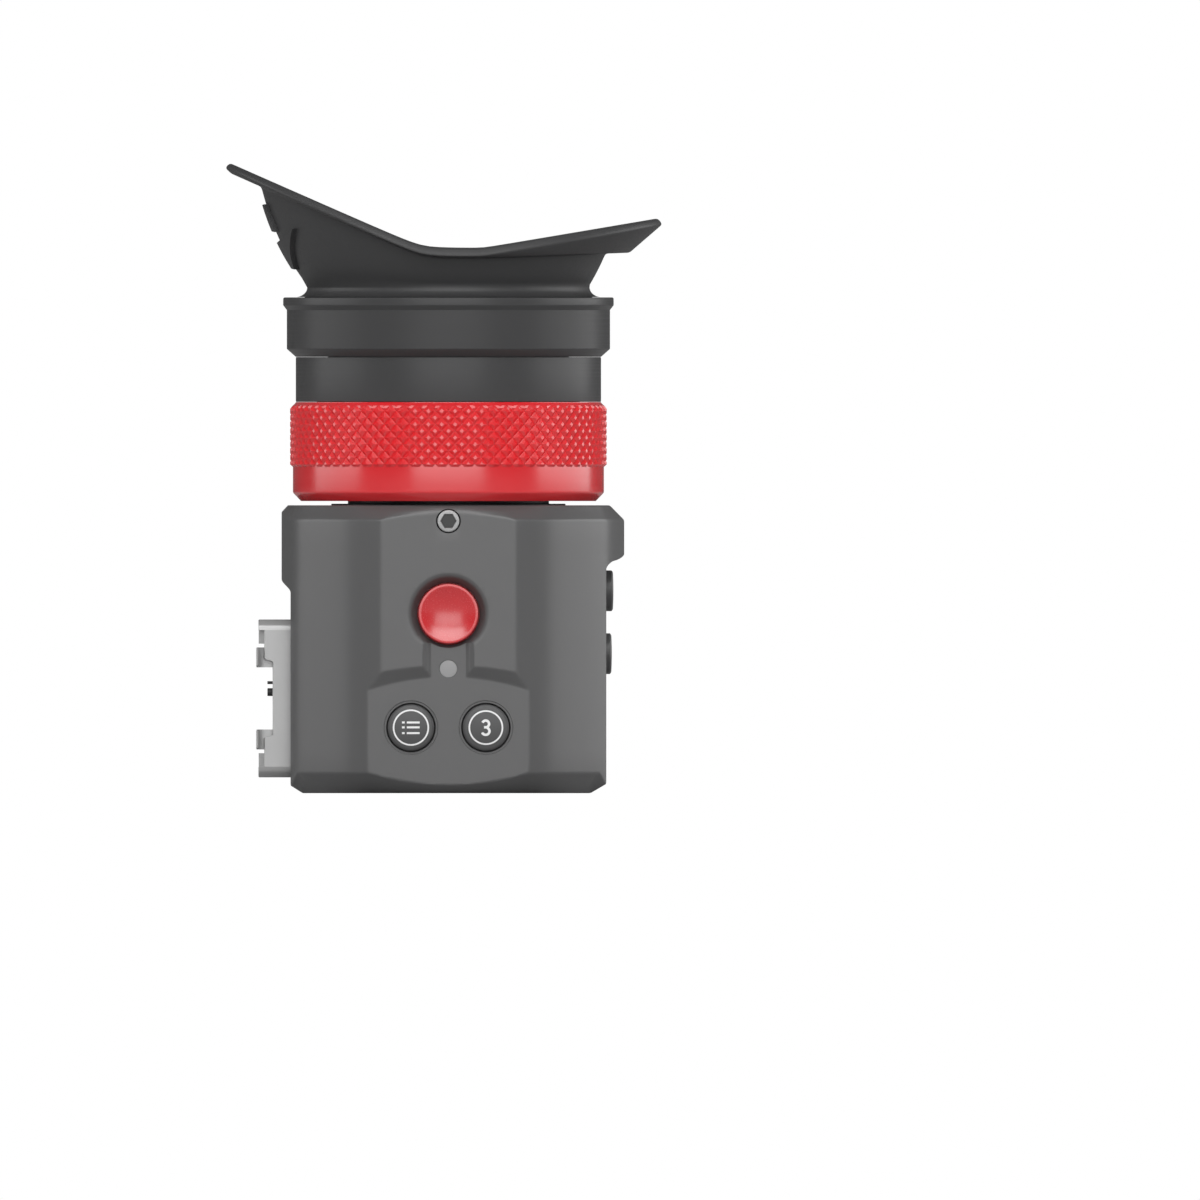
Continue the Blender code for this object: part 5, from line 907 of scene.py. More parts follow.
    def curve(self, x: float) -> Flat:
        """Depth and surface angle of the full front curve, before the sides are cut off.

        Args:
            x: place across.

        Returns:
            Distance in front of the optical axis, and the angle in radians.
        """
        corner = self.left_corner if x < 0 else self.right_corner
        knots = [*self.front_curve, *corner]
        depth = self.front_apex
        angle = 0.0
        for (start, first), (end, last) in zip(knots, knots[1:]):
            run = min(abs(x), end) - start
            if run <= 0:
                return depth, angle
            before, change = math.radians(first), math.radians(last - first)
            angle = before + change * run / (end - start)
            depth -= (end - start) / change * math.log(math.cos(before) / math.cos(angle))
        width = self.half_width + (self.left_reach if x < 0 else self.right_reach) - knots[-1][0]
        left_over = clamped(1 - (abs(x) - knots[-1][0]) / width)
        if left_over < 1.0:
            slope = self.side_power * depth / width
            angle = math.atan(slope / max(left_over, 0.01) ** (1 - self.side_power))
        return depth * left_over ** self.side_power, angle

    def front_depth(self, x: float, inset_by: float) -> float:
        """Depth of the front curve where a chamfer moves it in."""
        side = math.copysign(1, x)
        _, angle = self.curve(x)
        depth, angle = self.curve(x + side * inset_by * math.sin(angle))
        return max(depth - inset_by * math.cos(angle), 0.0)

    def front_point(self, x: float, z: float, inset_by: float) -> Vector:
        """Point of the front skin, on the panels or the curve, whichever is deeper."""
        plan = self.front_depth(x, inset_by)
        rounding = self.panel_round
        if z > self.height / 2:
            rounding += self.rim_round * ramp(inset_by, 0.3, 1.4)
        return Vector((x, -soft_least(plan, self.panel_depth(x, z), rounding), z))

    def back_point(self, x: float, z: float, reach: float, inset_by: float) -> Vector:
        """Point of the back skin, with its flat."""
        plan = self.face_depth(abs(x), reach, inset_by)
        return Vector((x, soft_least(plan, self.rear_flat, self.rear_round), z))

    def reaches(self, base: float) -> Flat:
        """How far the left and the right side reach at this height, under and over their shoulders."""
        left = self.half_width + self.left_reach * ramp(base, *self.left_shoulder)
        hollow, bulge = (clamped((base - start) / run)
                         for start, run in (self.right_hollow, self.right_bulge))
        share = self.hollow_share * hollow ** 2 + (1 - self.hollow_share) * (1 - (1 - bulge) ** 2)
        return left, self.half_width + self.right_reach * share

    def chamfer(self, low: bool, x: float) -> tuple[Flat, Flat]:
        """Inset and rise of the base's or the top's chamfer, at the front and on the side where x is."""
        if low:
            return self.base_chamfer, self.base_left if x < 0 else self.base_right
        return self.top_chamfer, self.top_left if x < 0 else self.top_right

    def lift(self, base: float, x: float, arch: float, edge: float) -> float:
        """Height of a row at one place across.

        Args:
            base: the row's height at the middle.
            x: place across.
            arch: how much the row follows the panel's arch here.
            edge: 0 at the front and back, 1 on the side.

        Returns:
            The height, with the chamfers shorter at the two sides.
        """
        def shortened(rise: float, low: bool, blend: float) -> float:
            """Rise from the rim once its chamfer has this side's height; it stays past the blend."""
            if rise >= blend:
                return rise
            (_, full), (_, side) = self.chamfer(low, x)
            short = full + (side - full) * edge
            if rise < full:
                return rise * short / full
            return short + (rise - full) * (blend - short) / (blend - full)

        small, large = self.arch_radii
        radius = small + (large - small) * ramp(base, 22.0, 24.4)
        z = base - arch * min(abs(x), self.lines_end) ** 2 / (2 * radius)
        z = shortened(z, True, self.base_blend)
        return self.height - shortened(self.height - z, False, self.top_blend)

    def moved_in(self, base: float, x: float, amount: float, edge: float) -> float:
        """How far a chamfer moves the wall in at one place across.

        Args:
            base: the row's height, which tells the base's chamfer from the top's.
            x: place across.
            amount: the inset at the front and back.
            edge: 0 at the front and back, 1 on the side.

        Returns:
            The inset here.
        """
        (full, _), (side, _) = self.chamfer(base < self.height / 2, x)
        return amount * (1 + (side / full - 1) * edge)

    def level(self, base: float, amount: float) -> Ring:
        """One row of the skin.

        Args:
            base: the row's height at the middle of the front, before the rows follow the panel's arch.
            amount: how far the wall is moved in by a chamfer.

        Returns:
            The row, anticlockwise from the right side.
        """
        left, right = self.reaches(base)
        arch = ramp(base, *self.arch_start) * (1 - ramp(base, *self.arch_end))
        most = self.base_gain if base < self.height / 2 else self.top_gain

        def side(sign: int) -> tuple[Ring, list[Flat]]:
            """Flat from front to back, and the corner's places across with their shares."""
            reach = right if sign > 0 else left
            inset_by = self.moved_in(base, sign, amount, 1.0)
            edge = reach - inset_by
            fore, aft = self.front_depth(sign * edge, inset_by), self.face_depth(edge, reach, inset_by)
            flat = [Vector((sign * edge, y, self.lift(base, sign * edge, arch * share, 1.0)))
                    for y, share in ((-fore, 1.0), (-fore / 2, 0.75), (0, 0.5), (aft / 2, 0.25), (aft, 0.0))]
            turns = [math.sin(QUARTER * step / self.corner_steps) for step in range(1, self.corner_steps)]
            return flat, [(sign * (self.lines_end + (edge - self.lines_end) * turn),
                           ramp(turn, *self.corner_lift)) for turn in turns]

        def front(x: float, share: float = 0.0) -> Vector:
            """Point of the front skin."""
            gain = 1 + (most - 1) * (1 - ramp(abs(x), *self.gain_fade))
            return self.front_point(x, self.lift(base, x, arch, share),
                                    gain * self.moved_in(base, x, amount, share))

        def back(x: float, share: float = 0.0) -> Vector:
            """Point of the back skin."""
            return self.back_point(x, self.lift(base, x, 0.0, share), right if x > 0 else left,
                                   self.moved_in(base, x, amount, share))

        (right_flat, right_corner), (left_flat, left_corner) = side(1), side(-1)
        ring = right_flat + [back(*place) for place in reversed(right_corner)]
        ring += [back(x) for x in (*reversed(self.back_lines), *(-x for x in self.back_lines[1:]))]
        ring += [back(*place) for place in left_corner] + left_flat[::-1]
        ring += [front(*place) for place in reversed(left_corner)]
        ring += [front(x) for x in (*(-x for x in reversed(self.front_lines)), *self.front_lines[1:])]
        return ring + [front(*place) for place in right_corner]

    def rows(self) -> list[Flat]:
        """Heights and insets of all rows, close together where the skin bends."""
        wide, rise = self.base_chamfer
        narrow, drop = self.top_chamfer
        ends = softened([(5.7, 0), (wide, 0, 0.7), (0, rise, 1.2), (0, 8.0)], 0.7, closed=False, steps=4)
        tops = softened([(0, 47.5), (0, self.height - drop, 1.0), (narrow, self.height, 0.6),
                         (5.2, self.height)], 0.7, closed=False, steps=4)
        slope = (20.9 + 0.25 * step for step in range(19))
        left = (38.0 + 0.3 * step for step in range(10))
        right = (42.3 + 0.25 * step for step in range(15))
        heights = (*self.lower_rows, *slope, *self.upper_rows, *left, 41.4, 42.0, *right, 46.4)
        return self.close_rows(ends) + [(height, 0.0) for height in heights] + self.close_rows(tops)

    @staticmethod
    def close_rows(profile: Sequence[Flat]) -> list[Flat]:
        """Split the long steps of a chamfer's profile, so that the panels' edges stay crisp on it."""
        rows = [(profile[0][1], profile[0][0])]
        for (x, z), (far_x, far_z) in zip(profile, profile[1:]):
            steps = max(math.ceil((far_z - z) / 0.2), 1) if abs(far_x - x) > 0.3 else 1
            rows += [(z + (far_z - z) * step / steps, x + (far_x - x) * step / steps)
                     for step in range(1, steps + 1)]
        return rows

    def shape(self) -> bmesh.types.BMesh:
        """The skin with every opening cut, as one closed solid."""
        solid = skin([self.level(base, amount) for base, amount in self.rows()], loop=False)
        middle, half_depth = ((self.rear_inner + sign * self.front_inner) / 2 for sign in (-1, 1))
        plan = rectangle(self.side_inner, half_depth, self.cavity_corner)
        cavity = prism([(x, y + middle) for x, y in plan], *self.cavity)
        bores = (turned(self.base_bore), turned(self.top_bore))
        return carved(solid, cavity, *bores, *self.front_tools(), *self.side_tools(), *self.rear_tools())

    def front_tools(self) -> list[bmesh.types.BMesh]:
        """Cutters of the button face."""
        def place(x: float, z: float) -> Matrix:
            """Axis of a hole in the button face."""
            return Facing.FRONT.at((x, -self.front_inner, z))

        upper = self.upper_panel - self.front_inner
        lower = self.lower_panel - self.front_inner
        tools = [
            hole_tool(self.record_bore, upper - self.record_depth, upper, self.record_lip,
                      place(0, self.record_height), self.record_seat, lean=self.record_lean, steps=96),
            hole_tool(self.status_bore, -1, lower, 0.04, place(0, self.status_height), steps=48),
            hole_tool(self.clamp_bore, -3, upper, 0.08, place(0, self.clamp_height), steps=48),
        ]
        bezel = [*self.key_seat, *((reach, lower + rise) for reach, rise in self.key_bezel)]
        return tools + [placed(turned(bezel, 64), place(x, self.key_height))
                        for x in (-self.key_offset, self.key_offset)]

    def side_tools(self) -> list[bmesh.types.BMesh]:
        """Cutters of the right and left sides."""
        wall = self.half_width - self.side_inner
        tools = [hole_tool(self.side_bore, 2.0, wall, 0.15, Facing.RIGHT.at((self.side_inner, 0, height)),
                           self.side_seat) for height in self.side_heights]
        slot = prism(rectangle(*self.receptacle_slot), *self.receptacle_cut)
        return tools + [placed(slot, Facing.LEFT.at((0, 0, self.receptacle_height)))]

    def rear_tools(self) -> list[bmesh.types.BMesh]:
        """Cutters of the rear pocket and its service opening."""
        place = Facing.REAR.at((0, 0, self.rear_height))
        sides = ((24.4, 0.25), (self.rear_flat - 0.2, 0.25), (self.rear_flat, 0.45), (29.0, 1.45))
        rings = [[Vector((x, y, depth)) for x, y in rectangle(*(size + spare for size in REAR_PLATE))]
                 for depth, spare in sides]
        pocket = placed(skin(rings, loop=False), place)
        opening = prism(rectangle(*self.service_opening), *self.service_cut)
        return [pocket, placed(opening, place)]

    def build(self) -> None:
        """Make the shell."""
        finished("housing_shell", self.shape(), BODY_PAINT, replaces=("housing",), sharp=28)


@dataclass
class BarrelStack:
    """Fixed turned parts: ocular barrel, upper barrel, eyecup holder, bezel and friction ring."""

    foot: float = 22.25
    foot_base: float = 50.3
    foot_top: float = 55.0
    neck: float = 19.1
    neck_top: float = 55.7
    throat: float = 17.0
    tube: float = 25.0
    tube_bore: float = 23.2
    tube_top: float = 80.0
    floor_top: float = 58.5
    flange: float = 26.2
    flange_top: float = 56.8
    slot_turns: tuple[float, ...] = (30.0, 150.0, 270.0)
    slot_height: float = 66.0
    slot_half_width: float = 1.5
    slot_half_height: float = 3.5
    stop_height: float = 71.3
    upper: float = 29.0
    upper_base: float = 74.34
    upper_top: float = 82.86
    holder: float = 30.7
    holder_base: float = 82.9
    holder_top: float = 94.2
    lip: float = 31.4
    opening: float = 23.4
    steps: int = 128

    def barrel(self) -> bmesh.types.BMesh:
        """Fixed barrel with its three straight slots."""
        outline = [
            (self.throat, self.foot_base), (self.foot, self.foot_base), (self.foot, self.foot_top),
            (self.neck, self.foot_top), (self.neck, self.neck_top), (self.flange, self.neck_top),
            (self.flange, self.flange_top), (self.tube, self.flange_top), (self.tube, 59.0), (24.5, 59.1),
            (24.5, 60.6), (self.tube, 60.7), (self.tube, self.tube_top), (self.tube_bore, self.tube_top),
            (self.tube_bore, self.floor_top), (self.throat, self.floor_top),
        ]
        cutters = []
        for turn in self.slot_turns:
            slot = rectangle(self.slot_half_width, self.slot_half_height, self.slot_half_width - 0.01)
            cutter = placed(prism(slot, 22.0, 27.0), Facing.RIGHT.at((0, 0, self.slot_height)))
            cutters.append(placed(cutter, Matrix.Rotation(math.radians(turn), 4, "Z")))
        hole = turned([(0, 23.8), (1.0, 23.8), (1.0, 27), (0, 27)], 24)
        cutters.append(placed(hole, Facing.REAR.at((0, 0, self.stop_height))))
        return carved(lathe(outline, self.steps, 0.12), *cutters)

    def build(self) -> None:
        """Make the fixed turned parts."""
        finished("barrel_tube", self.barrel(), BLACK_ANODISED, replaces=("ocular_barrel",))
        upper = [
            (self.opening, self.upper_top, 0.2), (self.opening, 80.6, 0.2), (25.3, 80.4, 0.1),
            (25.3, self.upper_base, 0.2), (self.upper, self.upper_base, 0.2),
            (self.upper, self.upper_top, 0.2),
        ]
        finished("upper_barrel_sleeve", lathe(upper, self.steps), BLACK_ANODISED, replaces=("upper_barrel",))
        holder = [
            (self.opening, self.holder_base, 0.2), (self.upper, self.holder_base, 0.2),
            (self.holder, 84.4, 0.25), (self.holder, 91.8, 0.12), (self.lip, 92.7, 0.2),
            (self.lip, self.holder_top, 0.35),
            (27.6, self.holder_top, 0.3), (27.6, 93.1, 0.1), (28.4, 92.9, 0.1), (28.4, 91.5, 0.1),
            (24.9, 91.5, 0.2), (24.9, 88.7, 0.2), (self.opening, 88.7, 0.2),
        ]
        finished("holder_ring", lathe(holder, self.steps), BLACK_ANODISED, replaces=("eyecup_holder",))
        bezel = [
            (18.5, 89.0, 0.2), (24.6, 89.0, 0.3), (24.6, 91.2, 0.3), (22.0, 91.2, 0.4), (20.4, 90.45, 0.1),
            (20.4, 90.2, 0.05), (18.5, 89.4, 0.1),
        ]
        finished("bezel_cone", lathe(bezel, self.steps), BLACK_PLASTIC, replaces=("eyepiece_bezel",))
        band = [(24.55, 59.3, 0.2), (25.0, 59.3, 0.2), (25.0, 60.5, 0.2), (24.55, 60.5, 0.2)]
        finished("friction_band", lathe(band, 96, 0.2), MOULDED_RUBBER, replaces=("friction_ring",))


@dataclass
class DiopterRing:
    """Red focus ring with a plain band and a raised diamond knurl."""

    body: str = "diopter_ring"
    base: float = 55.5
    top: float = 74.3
    foot: float = 28.0
    band_base: float = 57.1
    band: float = 29.54
    band_top: float = 61.98
    knurl_base: float = 62.45
    chamfer_base: float = 73.15
    chamfer_top: float = 74.2
    knurl_floor: float = 29.54
    knurl_reach: float = 30.08
    flat_share: float = 0.34
    top_radius: float = 29.0
    bore: float = 25.3
    foot_bore: float = 26.5
    groove: float = 27.1
    groove_half: float = 1.5
    groove_height: float = 66.0
    groove_start: float = 24.3
    groove_run_out: float = 4.0
    groove_steps: int = 12
    cam_turns: tuple[float, ...] = (30.0, 150.0, 270.0)
    travel: float = 2.0
    turn: float = 45.0
    stop_height: float = BarrelStack.stop_height
    stop_half: float = 1.2
    stop_run_out: float = 2.6
    chamfer_slopes: Flat = (1.15, 1.03)
    around: int = 74
    first_row: float = 62.5
    row_step: float = 1.2625
    row_count: int = 10
    steps: int = 148

    def core(self) -> bmesh.types.BMesh:
        """Ring under the knurl, with its cam grooves and stop slot."""
        outline = [
            (self.foot_bore, self.base, 0.15), (self.foot, self.base, 0.12), (self.band, self.band_base, 0.6),
            (self.band, self.band_top, 0), (self.knurl_floor, self.knurl_base, 0),
            (self.knurl_floor, 73.66, 0), (self.top_radius, self.chamfer_top, 0.1),
            (self.top_radius, self.top, 0.04), (self.bore, self.top, 0.2), (self.bore, 57.3, 0.1),
            (self.foot_bore, 57.1, 0.1),
        ]
        cutters = [self.cam(start) for start in self.cam_turns]
        return carved(lathe(outline, self.steps, 0.12), *cutters, self.stop_slot())

    def cam(self, start: float) -> bmesh.types.BMesh:
        """Cutter of one helical groove in the bore, middle at this turn."""
        rings = []
        for step in range(2 * self.groove_steps + 1):
            share = step / self.groove_steps - 1
            run = self.turn + self.groove_run_out
            turn = math.radians(start + share * run)
            middle = self.groove_height - self.travel * share * run / self.turn
            rings.append([polar(reach, turn, middle + rise * self.groove_half) for reach, rise in (
                (self.groove_start, -1), (self.groove, -1), (self.groove, 1), (self.groove_start, 1))])
        return skin(rings, loop=False)

    def stop_slot(self) -> bmesh.types.BMesh:
        """Cutter of the slot that the stop pin limits, middle at the back."""
        rings = []
        low, high = self.stop_height - self.stop_half, self.stop_height + self.stop_half
        for step in range(2 * self.groove_steps + 1):
            turn = math.radians(90 + (step / self.groove_steps - 1) * (self.turn + self.stop_run_out))
            rings.append([polar(reach, turn, height) for reach, height in (
                (self.groove_start, low), (self.foot_bore, low), (self.foot_bore, high),
                (self.groove_start, high))])
        return skin(rings, loop=False)

    def diamond(self) -> bmesh.types.BMesh:
        """One truncated pyramid, outward along X, its root under the ring's skin."""
        shape = bmesh.new()
        half = self.row_step
        depth = self.knurl_reach - self.knurl_floor
        levels = ((-depth - 0.5, half), (-depth, half * 0.985), (-0.03, half * (self.flat_share + 0.02)),
                  (0.0, half * self.flat_share))
        rings = []
        for level, reach in levels:
            corners = ((reach, 0), (0, reach), (-reach, 0), (0, -reach))
            rings.append([shape.verts.new((level, y, z)) for y, z in corners])
        for lower, upper in zip(rings, rings[1:]):
            for index in range(4):
                after = (index + 1) % 4
                shape.faces.new((lower[index], lower[after], upper[after], upper[index]))
        shape.faces.new(rings[0])
        shape.faces.new(rings[-1])
        bmesh.ops.recalc_face_normals(shape, faces=shape.faces)
        return shape

    def limit(self, height: float) -> float:
        """Radius that the knurl can't pass at this height, which gives the band its two chamfers."""
        lower, upper = self.chamfer_slopes
        below = self.knurl_reach + (height - self.knurl_base) * lower
        above = self.knurl_reach - (height - self.chamfer_base) * upper
        return min(self.knurl_reach, below, above)

    def knurl(self) -> bmesh.types.BMesh:
        """All diamonds, cut off at both ends of the band and chamfered there."""
        values = {
            "Columns": self.around, "Rows": self.row_count, "Radius": self.knurl_reach,
            "Base": self.first_row, "Row step": self.row_step,
        }
        shape = RingRepeat().run(self.diamond(), RED_KNURL, values)
        for height, normal, ends in ((self.band_top + 0.02, -1, True), (self.knurl_base, -1, False),
                                     (self.chamfer_base, 1, False), (self.chamfer_base + 0.5, 1, False),
                                     (self.chamfer_top - 0.05, 1, True)):
            geometry = [*shape.verts, *shape.edges, *shape.faces]
            bmesh.ops.bisect_plane(shape, geom=geometry, dist=1e-5, plane_co=(0, 0, height),
                                   plane_no=(0, 0, normal), clear_outer=ends)
            if ends:
                rims = [edge for edge in shape.edges if edge.is_boundary]
                bmesh.ops.holes_fill(shape, edges=rims, sides=0)
        for vertex in shape.verts:
            reach = math.hypot(vertex.co.x, vertex.co.y)
            scale = min(self.limit(vertex.co.z) / reach, 1.0)
            vertex.co.x *= scale
            vertex.co.y *= scale
        return shape

    def build(self) -> None:
        """Make the ring and its knurl."""
        finished("ring_core", self.core(), RED_ANODISED, self.body, ("diopter_ring",))
        finished("ring_knurl", self.knurl(), RED_KNURL, self.body, sharp=12)


@dataclass
class Eyecup:
    """Rubber eyecup with its brim, visor and louvre pads, and the core ring in its foot."""

    body: str = "eyecup"
    steps: int = 144
    neck: float = 26.8
    neck_height: float = 96.1
    flare_start: float = 96.5
    flare_height: float = 16.0
    flare_left: float = 12.7
    flare_right: float = 9.7
    flare_front: float = 8.7
    wall: float = 2.0
    wall_steps: int = 10
    brim: Triple = (42.4, 40.65, 32.0)
    knee: Triple = (41.3, 34.4, 31.3)
    left_start: Flat = (4.9, 2.6)
    right_start: Flat = (6.5, 1.0)
    left_slope: float = 0.441
    rim_slope: float = 0.170
    rim_height: float = 103.55
    under_slope: float = 0.036
    under_height: float = 101.65
    tip_height: float = 1.6
    tip_lean: float = 0.85
    tip_width: float = 1.3
    mouth_inset: float = 1.0
    mouth_drop: float = 0.75
    pad_rise: float = 0.8
    pad_rows: int = 8
    pad_columns: int = 12
    pad_bow: float = 2.6
    pad_trim: float = 0.15

    @staticmethod
    def soft_ramp(distance: float, rounding: float) -> float:
        """Zero before the start, one to one after it, rounded between."""
        return (distance + math.hypot(distance, rounding)) / 2

    def edge(self, x: float, middle: float, right_slope: float) -> float:
        """Height of an edge of the brim, level in the middle and rising to both sides."""
        (left, left_round), (right, right_round) = self.left_start, self.right_start
        return (middle + self.left_slope * self.soft_ramp(-x - left, left_round)
                + right_slope * self.soft_ramp(x - right, right_round))

    def rim(self, x: float) -> float:
        """Height of the brim's upper edge."""
        return self.edge(x, self.rim_height, self.rim_slope)

    def under(self, x: float) -> float:
        """Height where the wall meets the brim."""
        return self.edge(x, self.under_height, self.under_slope)

    def wall_radius(self, turn: float, height: float) -> float:
        """Radius of the flared wall."""
        side = self.flare_left if math.cos(turn) < 0 else self.flare_right
        flare = self.flare_front + (side - self.flare_front) * math.cos(turn) ** 2
        return self.neck + flare * (1 - math.exp(-max(height - self.flare_start, 0) / self.flare_height))

    def wall_top(self, turn: float) -> float:
        """Height of the wall's upper end at this turn."""
        height = self.under(0.0)
        for _ in range(WALL_TOP_ROUNDS):
            height = self.under(self.wall_radius(turn, height) * math.cos(turn))
        return height

    @staticmethod
    def oval(turn: float, reaches: Triple) -> Vector:
        """Point of an oval with its own reach to the left, to the right and in depth."""
        left, right, depth = reaches
        reach = left if math.cos(turn) < 0 else right
        return Vector((reach * math.cos(turn), depth * math.sin(turn), 0))

    def column(self, turn: float) -> list[tuple[Vector, float]]:
        """Closed section at this turn, from the foot's bore outwards and back.

        Args:
            turn: angle round the optical axis.

        Returns:
            Its corners with the rounding of each.
        """
        top = self.wall_top(turn)
        foot = ((25.2, 91.8, 0.1), (27.8, 91.8, 0.15), (27.8, 92.5, 0.15), (27.3, 92.55, 0.1),
                (27.3, 94.26, 0.05), (28.75, 94.26, 0.02), (28.1, 94.43, 0.2), (27.45, 94.82, 0.2),
                (27.0, 95.36, 0.2), (self.neck, 96.0, 0.2))
        bore = ((24.8, self.neck_height, 0.5), (24.8, 95.5, 0.1), (25.2, 95.5, 0.1))
        outside = [(step / self.wall_steps, top - 0.9, 0.0) for step in range(1, self.wall_steps + 1)]
        inside = [(share, top - 0.15, self.wall) for share in (0.85, 0.7, 0.55, 0.4, 0.25, 0.1)]

        across = polar(1.0, turn)

        def placed_corners(corners: Outline) -> list[tuple[Vector, float]]:
            """Corners at this turn, from the radius, height and rounding of each."""
            return [(across * reach + Vector((0, 0, height)), soft) for reach, height, soft in corners]

        def walled(levels: Outline) -> list[tuple[Vector, float]]:
            """Corners of the wall, from each one's share of the way up, upper end and depth."""
            heights = [self.neck_height + (end - self.neck_height) * share for share, end, _ in levels]
            return placed_corners([(self.wall_radius(turn, height) - depth, height, 0.0)
                                   for height, (_, _, depth) in zip(heights, levels)])

        return (placed_corners(foot) + walled(outside) + self.visor(turn, top) + walled(inside)
                + placed_corners(bore))

    def visor(self, turn: float, top: float) -> list[tuple[Vector, float]]:
        """Corners of the brim: crease, underside, tip and mouth."""
        knee = self.oval(turn, self.knee)
        knee.z = self.under(knee.x)
        outer = self.oval(turn, self.brim)
        low = outer.copy()
        low.z = self.rim(outer.x) - self.tip_height + 0.3 * math.cos(turn) ** 4
        across = polar(1.0, turn)
        high = outer - across * self.tip_lean
        high.z = self.rim(high.x)
        root = across * (self.wall_radius(turn, top) + 0.05)
        root.z = top
        mouth = across * (self.wall_radius(turn, top) - self.mouth_inset)
        mouth.z = self.rim(mouth.x) - self.mouth_drop
        lip = high - across * self.tip_width
        lip.z = self.rim(lip.x)
        return [(root, 0.45), (knee, 0.45), (low, 0.5), (high, 0.6), (lip, 0.3), (mouth, 0.8)]

    def rounded(self, turn: float) -> Ring:
        """The section at this turn with its corners rounded, always with the same count of points."""
        corners = self.column(turn)
        points: Ring = []
        count = len(corners)
        for index, (here, soft) in enumerate(corners):
            if soft <= 0:
                points.append(here)
                continue
            before = corners[index - 1][0] - here
            after = corners[(index + 1) % count][0] - here
            start = here + before.normalized() * min(soft, LONGEST_ROUND * before.length)
            end = here + after.normalized() * min(soft, LONGEST_ROUND * after.length)
            points += bend(start, here, end)
        return points

    def shell(self) -> bmesh.types.BMesh:
        """Loft of the sections all the way round."""
        columns = [self.rounded(2 * math.pi * step / self.steps) for step in range(self.steps)]
        rings = [[column[index] for column in columns] for index in range(len(columns[0]))]
        return skin(rings, loop=True)

    def pad(self, low: Flat, high: Flat, bow: float = 0.0) -> bmesh.types.BMesh:
        """Raised louvre pad on the left wall.

        Args:
            low: half angle in degrees and height of its lower edge at the middle.
            high: the same for its upper edge.
            bow: how far its upper corners rise over the middle of that edge.

        Returns:
            The pad, rooted in the wall.
        """
        shape = bmesh.new()
        rows, columns = self.pad_rows, self.pad_columns

        def spot(level: float, share: float, across: float) -> Vector:
            """Point of the pad; the outermost sheet is trimmed all round."""
            trim = self.pad_trim if level == 1.0 else 0.0
            half = low[0] + (high[0] - low[0]) * share
            turn = math.radians(180 + across * (half - trim * 1.6))
            height = low[1] + (high[1] - low[1]) * share + share * bow * across * across
            height += trim * (1 - 2 * share)
            rise = self.pad_rise * level * (1 + 0.25 * abs(across) ** 3)
            return polar(self.wall_radius(turn, height) + rise, turn, height)

        grid = [[[shape.verts.new(spot(level, row / rows, 2 * column / columns - 1))
                  for column in range(columns + 1)]
                 for row in range(rows + 1)]
                for level in (-0.5, 0.45, 1.0)]
        for row in range(rows):
            for column in range(columns):
                for sheet in (grid[0], grid[-1]):
                    shape.faces.new((sheet[row][column], sheet[row][column + 1],
                                     sheet[row + 1][column + 1], sheet[row + 1][column]))
        border = [(0, column) for column in range(columns)] + [(row, columns) for row in range(rows)]
        border += [(rows, column) for column in range(columns, 0, -1)]
        border += [(row, 0) for row in range(rows, 0, -1)]
        for lower, upper in zip(grid, grid[1:]):
            for index, (row, column) in enumerate(border):
                next_row, next_column = border[(index + 1) % len(border)]
                shape.faces.new((lower[row][column], lower[next_row][next_column],
                                 upper[next_row][next_column], upper[row][column]))
        bmesh.ops.recalc_face_normals(shape, faces=shape.faces)
        return shape

    def build(self) -> None:
        """Make the eyecup, its pads and its core ring."""
        finished("eyecup_shell", self.shell(), MOULDED_RUBBER, self.body, ("eyecup",), sharp=40)
        pads = joined(self.pad((10.5, 106.6), (8.5, 111.9)),
                      self.pad((12.5, 99.5), (28.0, 104.7), self.pad_bow))
        finished("louvre_pads", pads, MOULDED_RUBBER, self.body, sharp=35)
        core = [(24.0, 91.8), (24.9, 91.8), (24.9, 95.2), (24.0, 95.2)]
        finished("core_band", lathe(core, 96, 0.2), BLACK_PLASTIC, self.body, ("eyecup_core_ring",))


class Top(Enum):
    """Shape of a button's cap."""

    DOMED = "low dome with a rounded edge"
    DISHED = "narrow rim round a dish"


